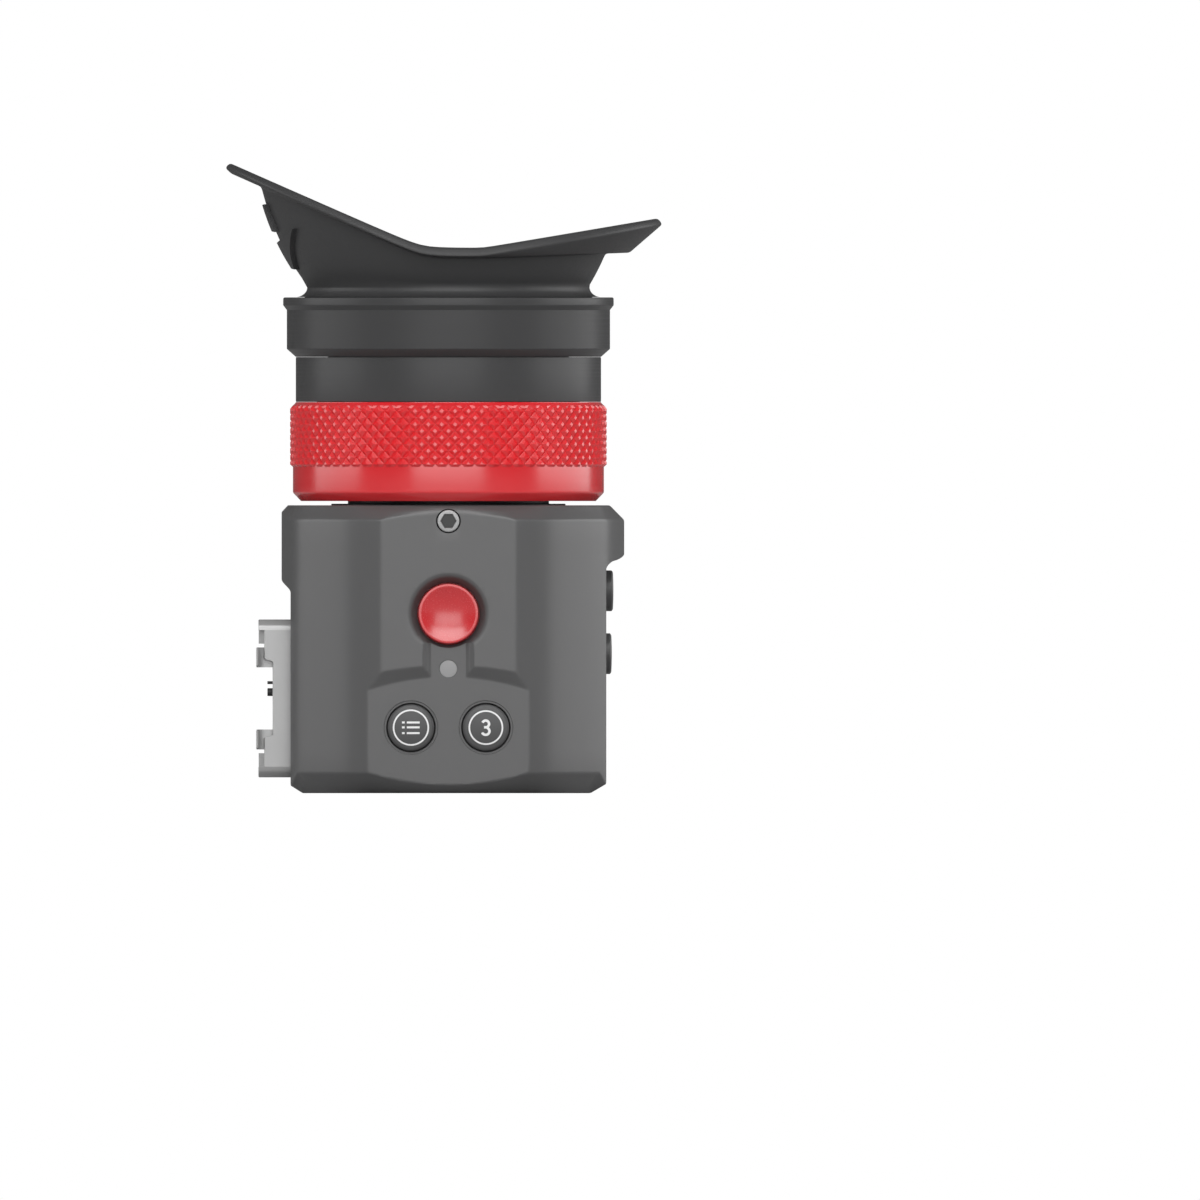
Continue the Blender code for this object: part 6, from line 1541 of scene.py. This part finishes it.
@dataclass
class Button:
    """Round push button on its own axis, outwards from the housing's inner face."""

    name: str
    place: Triple
    facing: Facing
    radius: float
    edge: float
    rise: float
    travel: float = 0.4
    top: Top = Top.DOMED
    finish: Finish = BUTTON_PLASTIC
    stem: float = 1.6
    stem_base: float = -0.5
    flange_base: float = 0.4
    flange_top: float = 1.2
    flange_reach: float = 1.0
    rim_width: float = 0.5
    edge_soft: float = 0.4
    dish_steps: int = 14
    dome_steps: int = 12

    def surface(self, x: float, y: float) -> float:
        """Height of the cap's top at this place."""
        share = min(math.hypot(x, y) / (self.radius - self.edge_soft), 1.0)
        return self.edge + self.rise * (1 - share * share)

    def outline(self) -> list[tuple[float, ...]]:
        """Closed outline of radius and height."""
        base = self.stem_base + self.travel
        flange = self.radius + self.flange_reach
        points: list[tuple[float, ...]] = [
            (0, base), (self.stem, base, 0.2), (self.stem, self.flange_base, 0.1),
            (flange, self.flange_base, 0.15), (flange, self.flange_top, 0.15),
            (self.radius, self.flange_top, 0.1)]
        if self.top is Top.DISHED:
            dish = self.radius - self.rim_width
            points += [(self.radius, self.edge, 0.22), (dish, self.edge, 0.12)]
            reach = [dish * (1 - step / self.dish_steps) for step in range(1, self.dish_steps + 1)]
            return points + [(x, self.edge - self.rise * (1 - (x / dish) ** 2), 0) for x in reach]
        points += [(self.radius, self.edge - self.edge_soft * 0.55, 0.3)]
        inner = self.radius - self.edge_soft
        reach = [inner * (1 - step / self.dome_steps) for step in range(self.dome_steps + 1)]
        return points + [(x, self.surface(x, 0), 0.2 if step == 0 else 0) for step, x in enumerate(reach)]

    def build(self) -> None:
        """Make the cap with its flange and stem."""
        matrix = self.facing.at(self.place)
        finished(f"{self.name}_cap", lathe(self.outline(), 96), self.finish, self.name, (self.name,), matrix)


@dataclass
class KeyPrint:
    """White marks printed on a domed cap."""

    key: Button
    ring: float
    line: float = 0.31
    marks: tuple[tuple[Flat, ...], ...] = ()
    mark_width: float = 0.45
    dots: tuple[Flat, ...] = ()
    dot_half: float = 0.25
    proud: float = 0.02
    root: float = 0.12

    def band(self, path: Sequence[Flat], width: float, closed: bool) -> bmesh.types.BMesh:
        """Thin strip along a path on the cap.

        Args:
            path: places on the cap.
            width: the strip's width.
            closed: whether the path's end joins its start.

        Returns:
            The strip.
        """
        rings: list[Ring] = []
        count = len(path)
        for index, (x, y) in enumerate(path):
            before = path[index - 1] if closed or index > 0 else path[0]
            after = path[(index + 1) % count] if closed or index < count - 1 else path[-1]
            along = Vector((after[0] - before[0], after[1] - before[1])).normalized()
            side = Vector((-along.y, along.x)) * width / 2
            left, right = (x + side.x, y + side.y), (x - side.x, y - side.y)
            rings.append([Vector((*place, self.key.surface(*place) + rise)) for place, rise in (
                (left, self.proud), (right, self.proud), (right, -self.root), (left, -self.root))])
        return skin(rings, loop=closed)

    def build(self) -> None:
        """Make the ring and the marks as one print."""
        radius = self.ring - self.line / 2
        turns = [2 * math.pi * step / 96 for step in range(96)]
        dots = (((x - self.dot_half, y), (x + self.dot_half, y)) for x, y in self.dots)
        shapes = [self.band([(radius * math.cos(turn), radius * math.sin(turn)) for turn in turns],
                            self.line, closed=True)]
        shapes += [self.band(mark, self.mark_width, closed=False) for mark in (*self.marks, *dots)]
        matrix = self.key.facing.at(self.key.place)
        finished(f"{self.key.name}_print", joined(*shapes), WHITE_PRINT, self.key.name, place=matrix)


def sweep(center: Flat, radius: Flat, start: float, end: float, steps: int = 16) -> list[Flat]:
    """Points of an oval arc, angles in degrees."""
    turns = [math.radians(start + (end - start) * step / steps) for step in range(steps + 1)]
    return [(center[0] + radius[0] * math.cos(turn), center[1] + radius[1] * math.sin(turn))
            for turn in turns]


@dataclass
class ButtonFace:
    """All five buttons with their prints, the status light, and the clamp screw with a dark plug of painted
    shade in its socket.
    """

    front: float = -Housing.front_inner
    side: float = Housing.side_inner
    record_height: float = Housing.record_height
    key_height: float = Housing.key_height
    key_offset: float = Housing.key_offset
    status_height: float = Housing.status_height
    status_front: float = 27.1
    clamp_height: float = Housing.clamp_height
    clamp_front: float = 27.94
    clamp_root: float = 22.4
    clamp_radius: float = 2.13
    clamp_flats: float = 2.56
    shade_plug_depth: float = 1.9
    record_sizes: Triple = (5.68, 4.82, 1.3)
    key_sizes: Triple = (4.42, 4.05, 0.35)
    upper_side_sizes: Triple = (3.88, 4.25, 0.10)
    lower_side_sizes: Triple = (3.88, 3.95, 0.10)
    pipe_radius: float = 1.66

    def menu_print(self, key: Button) -> KeyPrint:
        """Ring and list icon."""
        heights = (0.97, 0.04, -1.05)
        bars = tuple(((-0.78, y), (0.4, y), (1.65, y)) for y in heights)
        return KeyPrint(key, 3.45, marks=bars, mark_width=0.38, dots=tuple((-1.45, y) for y in heights))

    def number_print(self, key: Button) -> KeyPrint:
        """Ring and the digit three."""
        upper = sweep((-0.04, 0.70), (0.64, 0.64), 158, -62)
        lower = sweep((-0.04, -0.68), (0.72, 0.70), 72, -158)
        waist = ((-0.36, 0.06), (0.10, 0.06), (0.36, 0.06))
        return KeyPrint(key, 3.30, marks=(tuple(upper), tuple(lower), waist), mark_width=0.48)

    def clamp_screw(self) -> bmesh.types.BMesh:
        """Grub screw with a hexagon socket."""
        length = self.clamp_front - self.clamp_root
        outline = [(0, 0), (1.5, 0, 0.2), (self.clamp_radius, 0.6, 0.2), (self.clamp_radius, length, 0.22),
                   (0, length)]
        lead = [self.hexagon(length + rise, scale)
                for rise, scale in ((-2.4, 1.0), (-0.12, 1.0), (0.5, 1.45))]
        return carved(lathe(outline, 72), skin(lead, loop=False))

    def hexagon(self, height: float, scale: float) -> Ring:
        """Ring of the socket's six corners."""
        corner = scale * self.clamp_flats / 2 / math.cos(math.radians(30))
        return [polar(corner, math.radians(60 * side), height) for side in range(6)]

    def build(self) -> None:
        """Make the face's parts."""
        record = Button("record_button", (0, self.front, self.record_height), Facing.FRONT,
                        *self.record_sizes, travel=0.5, top=Top.DISHED, finish=RED_PLASTIC)
        names = (("menu_button", -self.key_offset), ("number_button", self.key_offset))
        menu, number = (Button(name, (x, self.front, self.key_height), Facing.FRONT, *self.key_sizes)
                        for name, x in names)
        high, low = Housing.side_heights
        upper = Button("upper_side_button", (self.side, 0, high), Facing.RIGHT, *self.upper_side_sizes)
        lower = Button("lower_side_button", (self.side, 0, low), Facing.RIGHT, *self.lower_side_sizes)
        for button in (record, menu, number, upper, lower):
            button.build()
        self.menu_print(menu).build()
        self.number_print(number).build()
        place = Facing.FRONT.at((0, -self.clamp_root, self.clamp_height))
        finished("clamp_grub_screw", self.clamp_screw(), PLAIN_STEEL, replaces=("clamp_screw",), place=place)
        # A dark hexagonal plug of painted shade sits inside the screw's socket. It stands in for the shadow
        # deep in the hole, not for any real part.
        base = self.clamp_front - self.clamp_root - self.shade_plug_depth
        shade = skin([self.hexagon(height, 0.985) for height in (base, base + 1.5)], loop=False)
        finished("clamp_socket_bottom", shade, BLACK_STEEL, place=place)
        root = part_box("light_pipe")[1][1] / MM
        length = root + self.status_front
        pipe = lathe([(0, 0), (self.pipe_radius, 0, 0.1), (self.pipe_radius, length, 0.12),
                      (0, length + 0.04)], 48)
        place = Facing.FRONT.at((0, root, self.status_height))
        finished("status_light_pipe", pipe, FROSTED_LIGHT, replaces=("light_pipe",), place=place)


@dataclass
class Receptacle:
    """Interface receptacle: sheet metal sleeve, insulator and contacts, outwards along -X."""

    center: float = Housing.receptacle_height
    half_height: float = 15.0
    half_width: float = 7.2
    corner: float = 2.0
    wall: float = 0.7
    root: float = 25.5
    mouth: float = 36.1
    face_edge: float = 35.0
    notch: float = 33.4
    block_end: float = 29.2
    tongue_end: float = 33.3
    pitch: float = 2.6
    count: int = 9
    block: Triple = (6.2, 14.0, 1.0)
    tongue: Triple = (1.0, 14.0, 0.4)
    post_radius: float = 0.75
    pin_radius: float = 0.28
    post_ends: Flat = (28.8, 34.4)
    contact: Triple = (1.55, 0.6, 0.25)
    contact_levels: Flat = (1.12, 1.45)
    contact_middle: float = 31.4
    bar: Triple = (0.25, 11.0, 0.1)
    bar_levels: Flat = (1.10, 1.38)
    bar_middle: float = 29.6
    sheet: float = 0.28
    finger_ends: tuple[Flat, ...] = ((23.9, 27.7), (8.3, 12.1))
    lip_ends: tuple[Flat, ...] = ((28.4, 31.1), (4.9, 7.6))
    stops: tuple[float, ...] = (12.95, 12.85, 12.0, 10.55, 10.45, 9.0, 7.7, 7.55, 7.4, 7.25, 7.1, 6.95, 4.0)
    folds: Outline = (
        (1, 0), (0.95, 0.2), (0.90, 0.40), (0.84, 0.48), (0.63, 0.64), (0.42, 0.79), (0.2, 0.93), (0, 1))
    finger_path: Outline = ((-32.0, 6.25), (-34.6, 6.25), (-35.3, 6.32), (-35.85, 6.58), (-36.2, 7.0),
                            (-36.25, 7.45), (-36.0, 7.8))
    lip_path: Outline = ((-33.5, 6.25), (-34.9, 6.2), (-36.05, 5.55))

    def reach(self, along: float, on_face: bool) -> float:
        """How far the sleeve's edge reaches at this height from its middle."""
        along = abs(along)
        if not on_face:
            return self.mouth
        if along > 7.7:
            return self.face_edge
        return self.notch + (self.face_edge - self.notch) * ramp(along, 6.9, 7.6)

    def sleeve(self) -> bmesh.types.BMesh:
        """The tube with its trimmed and notched mouth."""
        stops = [*self.stops, 0.0, *(-stop for stop in reversed(self.stops))]

        def ring(move: float, mouth: bool, back: float) -> Ring:
            """One loop of the tube, moved in by the sheet's thickness on the inside."""
            points: list[tuple[float, float, bool]] = []
            width = self.half_width - move
            height = self.half_height - move
            corner = max(self.corner - move, 0.2)
            for side_y, side_z in ((1, 1), (-1, 1), (-1, -1), (1, -1)):
                arc = [(side_y * (width - corner * (1 - across)),
                        side_z * (height - corner * (1 - up)), False) for across, up in self.folds]
                if side_y * side_z < 0:
                    arc.reverse()
                points += arc
                if side_y < 0 and side_z > 0:
                    points += [(-width, stop, True) for stop in stops]
                if side_y > 0 and side_z < 0:
                    points += [(width, -stop, True) for stop in stops]
            return [Vector((-(self.reach(z, face) - back if mouth else self.root), y, self.center + z))
                    for y, z, face in points]

        rings = [ring(0.0, False, 0), ring(0.0, True, 0.15), ring(0.15, True, 0.0),
                 ring(self.wall - 0.1, True, 0.0), ring(self.wall, True, 0.1), ring(self.wall, False, 0)]
        return skin(rings, loop=True)

    def finger(self, side: int, low: float, high: float) -> bmesh.types.BMesh:
        """Curled spring finger at the mouth.

        Args:
            side: -1 for the front face and 1 for the rear face.
            low: lower end.
            high: upper end.

        Returns:
            The finger.
        """
        path = self.finger_path
        rings: list[Ring] = []
        for index, (x, y) in enumerate(path):
            before = Vector(path[max(index - 1, 0)])
            after = Vector(path[min(index + 1, len(path) - 1)])
            along = (after - before).normalized()
            across = Vector((-along.y, along.x)) * self.sheet
            narrow = 0.35 * (index >= len(path) - 2)
            outer = (x + across.x, side * (y + across.y))
            rings.append([Vector((*place, height)) for place, height in (
                ((x, side * y), low + narrow), (outer, low + narrow), (outer, high - narrow),
                ((x, side * y), high - narrow))])
        return skin(rings, loop=False)

    def lip(self, side: int, low: float, high: float) -> bmesh.types.BMesh:
        """Tapered lip that leans inwards next to the mouth's corners."""
        corners = ((0, low), (0.3, low), (0.3, high), (0, high))
        rings = [[Vector((x, side * (near + out), height)) for out, height in corners]
                 for x, near in self.lip_path]
        return skin(rings, loop=False)

    def insulator(self) -> bmesh.types.BMesh:
        """Block and tongue, with a locating post and a thin pin."""
        block = prism(rectangle(*self.block), self.root, self.block_end, 0.25)
        tongue = prism(rectangle(*self.tongue), self.block_end - 0.5, self.tongue_end, 0.2)
        low, high = self.post_ends
        post, pin = (lathe([(0, low), (reach, low), (reach, high), (0, high)], steps, soft)
                     for reach, steps, soft in ((self.post_radius, 32, 0.15), (self.pin_radius, 24, 0.08)))
        places = ((block, 0, self.center), (tongue, 0, self.center), (post, -3.4, 19.2), (pin, -3.4, 21.0))
        return joined(*(placed(shape, Facing.LEFT.at((0, y, z))) for shape, y, z in places))

    def contacts(self, side: int) -> bmesh.types.BMesh:
        """Row of gold fingers along the tongue.

        Args:
            side: -1 for the front row and 1 for the rear row.

        Returns:
            The row with the bar at its root.
        """
        unit = prism(rectangle(*self.contact), *self.contact_levels, 0.06)
        first = (-self.contact_middle, -self.pitch * (self.count - 1) / 2, 0)
        values = {"Columns": 1, "Rows": self.count, "Origin": first, "Column step": (0, 0, 0),
                  "Row step": (0, self.pitch, 0)}
        row = GridRepeat().run(unit, GOLD, values)
        bar = prism(rectangle(*self.bar), *self.bar_levels)
        bar.transform(Matrix.Translation((-self.bar_middle, 0, 0)))
        facing = Facing.FRONT if side < 0 else Facing.REAR
        if side > 0:
            for shape in (row, bar):
                shape.transform(Matrix.Rotation(math.pi, 4, "Z"))
        return placed(joined(row, bar), facing.at((0, 0, self.center)))

    def build(self) -> None:
        """Make the receptacle."""
        shapes = [self.sleeve()]
        for side in (-1, 1):
            shapes += [self.finger(side, *ends) for ends in self.finger_ends]
            shapes += [self.lip(side, *ends) for ends in self.lip_ends]
        finished("receptacle_sleeve", joined(*shapes), NICKEL_SHEET, replaces=("receptacle_shell",))
        finished("receptacle_block", self.insulator(), BLACK_PLASTIC, replaces=("receptacle_insulator",))
        finished("front_contact_row", self.contacts(-1), GOLD, replaces=("front_contacts",))
        finished("rear_contact_row", self.contacts(1), GOLD, replaces=("rear_contacts",))


@dataclass
class Covers:
    """Base cover, rear cover and the rear cover's screws."""

    base_radius: float = 22.9
    base_height: float = 2.3
    hole_offset: float = 17.5
    rear_center: float = Housing.rear_height
    rear_outer: float = Housing.rear_flat
    rear_inner: float = 25.6
    screw_x: float = 11.8
    screw_rise: float = 16.6
    screw_socket: float = 0.9

    def base(self) -> bmesh.types.BMesh:
        """Threaded disc with a turned step and two spanner holes."""
        outline = [
            (0, 0.25), (12.0, 0.25, 0.1), (12.4, 0.0, 0.1), (self.base_radius, 0.0, 0.35),
            (self.base_radius, self.base_height, 0.2), (0, self.base_height)]
        cutters = []
        for sign in (-1, 1):
            hole = turned(((0, -1), (1.5, -1), (1.45, 0), (1.2, 0.25), (1.2, 1.3), (0, 1.5)), 32)
            cutters.append(placed(hole, Matrix.Translation((sign * self.hole_offset, 0, 0))))
        return carved(lathe(outline, 128), *cutters)

    def rear(self) -> bmesh.types.BMesh:
        """Bevelled plate with four counterbores."""
        plate = prism(rectangle(*REAR_PLATE), self.rear_inner, self.rear_outer, 0.28)
        cutters = []
        for x in (-self.screw_x, self.screw_x):
            for y in (-self.screw_rise, self.screw_rise):
                seat = turned(((0, 25), (1.2, 25), (1.2, 26.2), (1.9, 26.2), (1.9, 27.5), (2.05, 27.6),
                               (2.6, 28), (0, 28)), 32)
                cutters.append(placed(seat, Matrix.Translation((x, y, 0))))
        return placed(carved(plate, *cutters), Facing.REAR.at((0, 0, self.rear_center)))

    def screws(self) -> bmesh.types.BMesh:
        """The four pan head screws, set by a grid."""
        outline = [(0, 0), (0.9, 0.0, 0.2), (0.9, 3.4, 0.05), (1.7, 3.4, 0.1), (1.7, 4.1, 0.3),
                   (1.25, 4.5, 0.25), (0, 4.5)]
        socket = [[polar(self.screw_socket, math.radians(60 * side), z) for side in range(6)]
                  for z in (3.9, 5.0)]
        unit = carved(lathe(outline, 36, 0.1), skin(socket, loop=False))
        values = {
            "Columns": 2, "Rows": 2, "Origin": (-self.screw_x, -self.screw_rise, 23.1),
            "Column step": (2 * self.screw_x, 0, 0), "Row step": (0, 2 * self.screw_rise, 0),
        }
        return placed(GridRepeat().run(unit, BLACK_STEEL, values), Facing.REAR.at((0, 0, self.rear_center)))

    def build(self) -> None:
        """Make both covers and the screws."""
        finished("base_cover_disc", self.base(), BODY_PAINT, replaces=("base_cover",))
        finished("rear_cover_plate", self.rear(), BODY_PAINT, replaces=("rear_cover",))
        names = tuple(f"rear_screw_{number}" for number in (1, 2, 3, 4))
        finished("rear_cover_screws", self.screws(), BLACK_STEEL, replaces=names)


@dataclass
class LensGroup:
    """Focusing lens group that slides in the barrel."""

    body: str = "lens_group"
    carrier: float = 22.9
    carrier_bore: float = 20.3
    carrier_base: float = 60.8
    carrier_top: float = 85.3
    lens: float = 20.0
    ground: float = 2.6
    face_steps: int = 16
    edges: tuple[tuple[str, float, float, float], ...] = (
        ("field_lens", 63.1, 65.5, 2.2), ("middle_lens", 71.1, 73.1, 1.9), ("eye_lens", 78.7, 81.1, 2.4))

    def glass(self, low: float, high: float, bulge: float) -> bmesh.types.BMesh:
        """Lens with both faces curved and ground edges."""
        clear = self.lens - self.ground
        shares = [step / self.face_steps for step in range(self.face_steps + 1)]
        lower = [(clear * share, low - bulge * (1 - share ** 2)) for share in shares]
        upper = [(clear * share, high + bulge * (1 - share ** 2)) for share in reversed(shares)]
        rim = [(self.lens - 0.2, low), (self.lens, low + 0.2), (self.lens, high - 0.2),
               (self.lens - 0.2, high)]
        return turned([*lower, *rim, *upper])

    def build(self) -> None:
        """Make the carrier, glass, spacers and retainer."""
        carrier = [
            (17.5, self.carrier_base), (self.carrier, self.carrier_base, 0.3),
            (self.carrier, self.carrier_top, 0.3), (self.carrier_bore, self.carrier_top, 0.3),
            (self.carrier_bore, 62.8), (17.5, 62.8, 0.3)]
        finished("carrier_sleeve", lathe(carrier, 96), BLACK_PLASTIC, self.body, ("lens_carrier",))
        for name, low, high, bulge in self.edges:
            finished(f"{name}_glass", self.glass(low, high, bulge), LENS_GLASS, self.body, (name,))
        for name, low, high, wall in (("lower_spacer", 65.8, 70.8, 2.0), ("upper_spacer", 73.4, 78.4, 2.0),
                                      ("lens_retainer", 81.4, 84.4, 2.2)):
            outline = [(self.lens - wall, low), (self.lens, low)]
            outline += [(self.lens, high), (self.lens - wall + 0.3, high), (self.lens - wall, high - 0.3)]
            finished(f"{name}_ring", lathe(outline, 96, 0.12), BLACK_PLASTIC, self.body, (name,))


class Interior:
    """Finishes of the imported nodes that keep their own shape."""

    DRESS = {
        BLACK_PLASTIC: ("display_frame", "record_switch", "menu_switch", "number_switch", "upper_side_switch",
                        "lower_side_switch"),
        MOULDED_RUBBER: ("rear_gasket",),
        PLAIN_STEEL: ("stop_pin", "follower_pin_1", "follower_pin_2", "follower_pin_3", "display_screw_1",
                      "display_screw_2", "main_board_screw_1", "main_board_screw_2"),
        LENS_GLASS: ("display_window",),
        DISPLAY_GLASS: ("display_panel",),
        SOLDER_MASK: ("display_board", "main_board", "button_board", "side_button_board", "receptacle_board"),
        CHIP_PACKAGE: ("processor",),
        RIBBON_FILM: ("ribbon_cable",),
        FROSTED_LIGHT: ("status_lamp",),
    }

    def build(self) -> None:
        """Give every carried-over node its finish."""
        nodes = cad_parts
        for finish, names in self.DRESS.items():
            for name in names:
                if name not in nodes:
                    LOG.warning("no node named %s", name)
                    continue
                for slot in nodes[name].material_slots:
                    slot.material = finish.material()


@dataclass
class Stage:
    """Pale floor, soft lights and the camera; lengths in metres, powers in watts."""

    distance: float = 2.0
    width: float = 0.228
    aim: Flat = (0.0288, 0.0367)
    size: float = 6.0
    backdrop: float = 0.88
    mirrored: float = 0.02
    ambient: float = 0.12
    matte: float = 0.5
    lamps: tuple[tuple[str, Triple, Flat, float], ...] = (
        ("front_box", (0.0, -1.10, 0.22), (1.10, 0.52), 4.2),
        ("upper_box", (0.0, -0.91, 0.82), (1.40, 0.54), 9.8),
        ("left_box", (-1.00, 0.04, 0.30), (0.95, 0.80), 4.2),
        ("right_box", (1.00, 0.16, 0.30), (1.25, 0.80), 7.2),
        ("top_box", (0.0, -0.10, 1.15), (0.80, 0.60), 1.0))

    @staticmethod
    def seen(graph: NodeGraph) -> tuple[bpy.types.NodeSocket, Any]:
        """Whether a ray comes from the camera or through glass, and all the ray's outputs."""
        rays = graph.add("ShaderNodeLightPath").outputs
        return graph.math("MAXIMUM", rays["Is Camera Ray"], rays["Is Transmission Ray"]), rays

    def world(self) -> None:
        """White surroundings for camera and glass rays, dim for all others."""
        world = bpy.data.worlds.new("studio")
        bpy.context.scene.world = world
        world.use_nodes = True
        graph = NodeGraph(world.node_tree)
        seen, rays = self.seen(graph)
        mirrored = graph.math("MULTIPLY", rays["Is Glossy Ray"], self.mirrored)
        strength = graph.math("ADD", graph.math("MULTIPLY", seen, self.backdrop),
                              graph.math("ADD", mirrored, self.ambient))
        background = world.node_tree.nodes["Background"]
        background.inputs["Color"].default_value = (1, 1, 1, 1)
        graph.tree.links.new(strength, background.inputs["Strength"])

    def floor(self) -> None:
        """Large pale floor that takes the shadow."""
        shape = bmesh.new()
        half = self.size / 2
        shape.faces.new([shape.verts.new((x * half, y * half, 0))
                         for x, y in ((-1, -1), (1, -1), (1, 1), (-1, 1))])
        mesh = bpy.data.meshes.new("floor")
        shape.to_mesh(mesh)
        shape.free()
        item = bpy.data.objects.new("floor", mesh)
        bpy.context.scene.collection.objects.link(item)
        material = bpy.data.materials.new("white_floor")
        material.use_nodes = True
        graph = NodeGraph(material.node_tree)
        seen, _ = self.seen(graph)
        white = graph.add("ShaderNodeEmission", {"Color": (1, 1, 1, 1), "Strength": 1.0})
        matte = graph.add("ShaderNodeBsdfDiffuse", {"Color": (self.matte, self.matte, self.matte, 1)})
        mix = graph.add("ShaderNodeMixShader", {0: seen, 1: matte.outputs[0], 2: white.outputs[0]})
        graph.tree.links.new(mix.outputs[0], material.node_tree.nodes["Material Output"].inputs[0])
        item.data.materials.append(material)

    def light(self, name: str, place: Sequence[float], size: Flat, power: float) -> None:
        """Soft box that faces the viewfinder's middle.

        Args:
            name: the light's name.
            place: where it stands, in metres.
            size: width and height in metres.
            power: watts.
        """
        data = bpy.data.lights.new(name, "AREA")
        data.shape = "RECTANGLE"
        data.size, data.size_y = size
        data.energy = power
        item = bpy.data.objects.new(name, data)
        item.location = place
        target = Vector(LAMP_AIM) - Vector(place)
        item.rotation_euler = target.to_track_quat("-Z", "Y").to_euler()
        bpy.context.scene.collection.objects.link(item)

    def camera(self) -> None:
        """Parallel view straight at the button face."""
        data = bpy.data.cameras.new("photo_camera")
        data.type = "ORTHO"
        data.ortho_scale = self.width
        data.clip_end = 20.0
        item = bpy.data.objects.new("photo_camera", data)
        item.location = (self.aim[0], -self.distance, self.aim[1])
        item.rotation_euler = (QUARTER, 0, 0)
        bpy.context.scene.collection.objects.link(item)
        bpy.context.scene.camera = item

    def build(self) -> None:
        """Set the studio up."""
        self.world()
        self.floor()
        for lamp in self.lamps:
            self.light(*lamp)
        self.camera()
        bpy.context.scene.view_settings.view_transform = "Standard"


def main() -> None:
    """Build every piece, the finishes and the studio."""
    logging.basicConfig(level=logging.INFO, format="%(name)s: %(message)s")
    for assembly in (Housing(), BarrelStack(), DiopterRing(), Eyecup(), ButtonFace(), Receptacle(), Covers(),
                     LensGroup(), Interior(), Stage()):
        assembly.build()


if __name__ == "__main__":
    main()
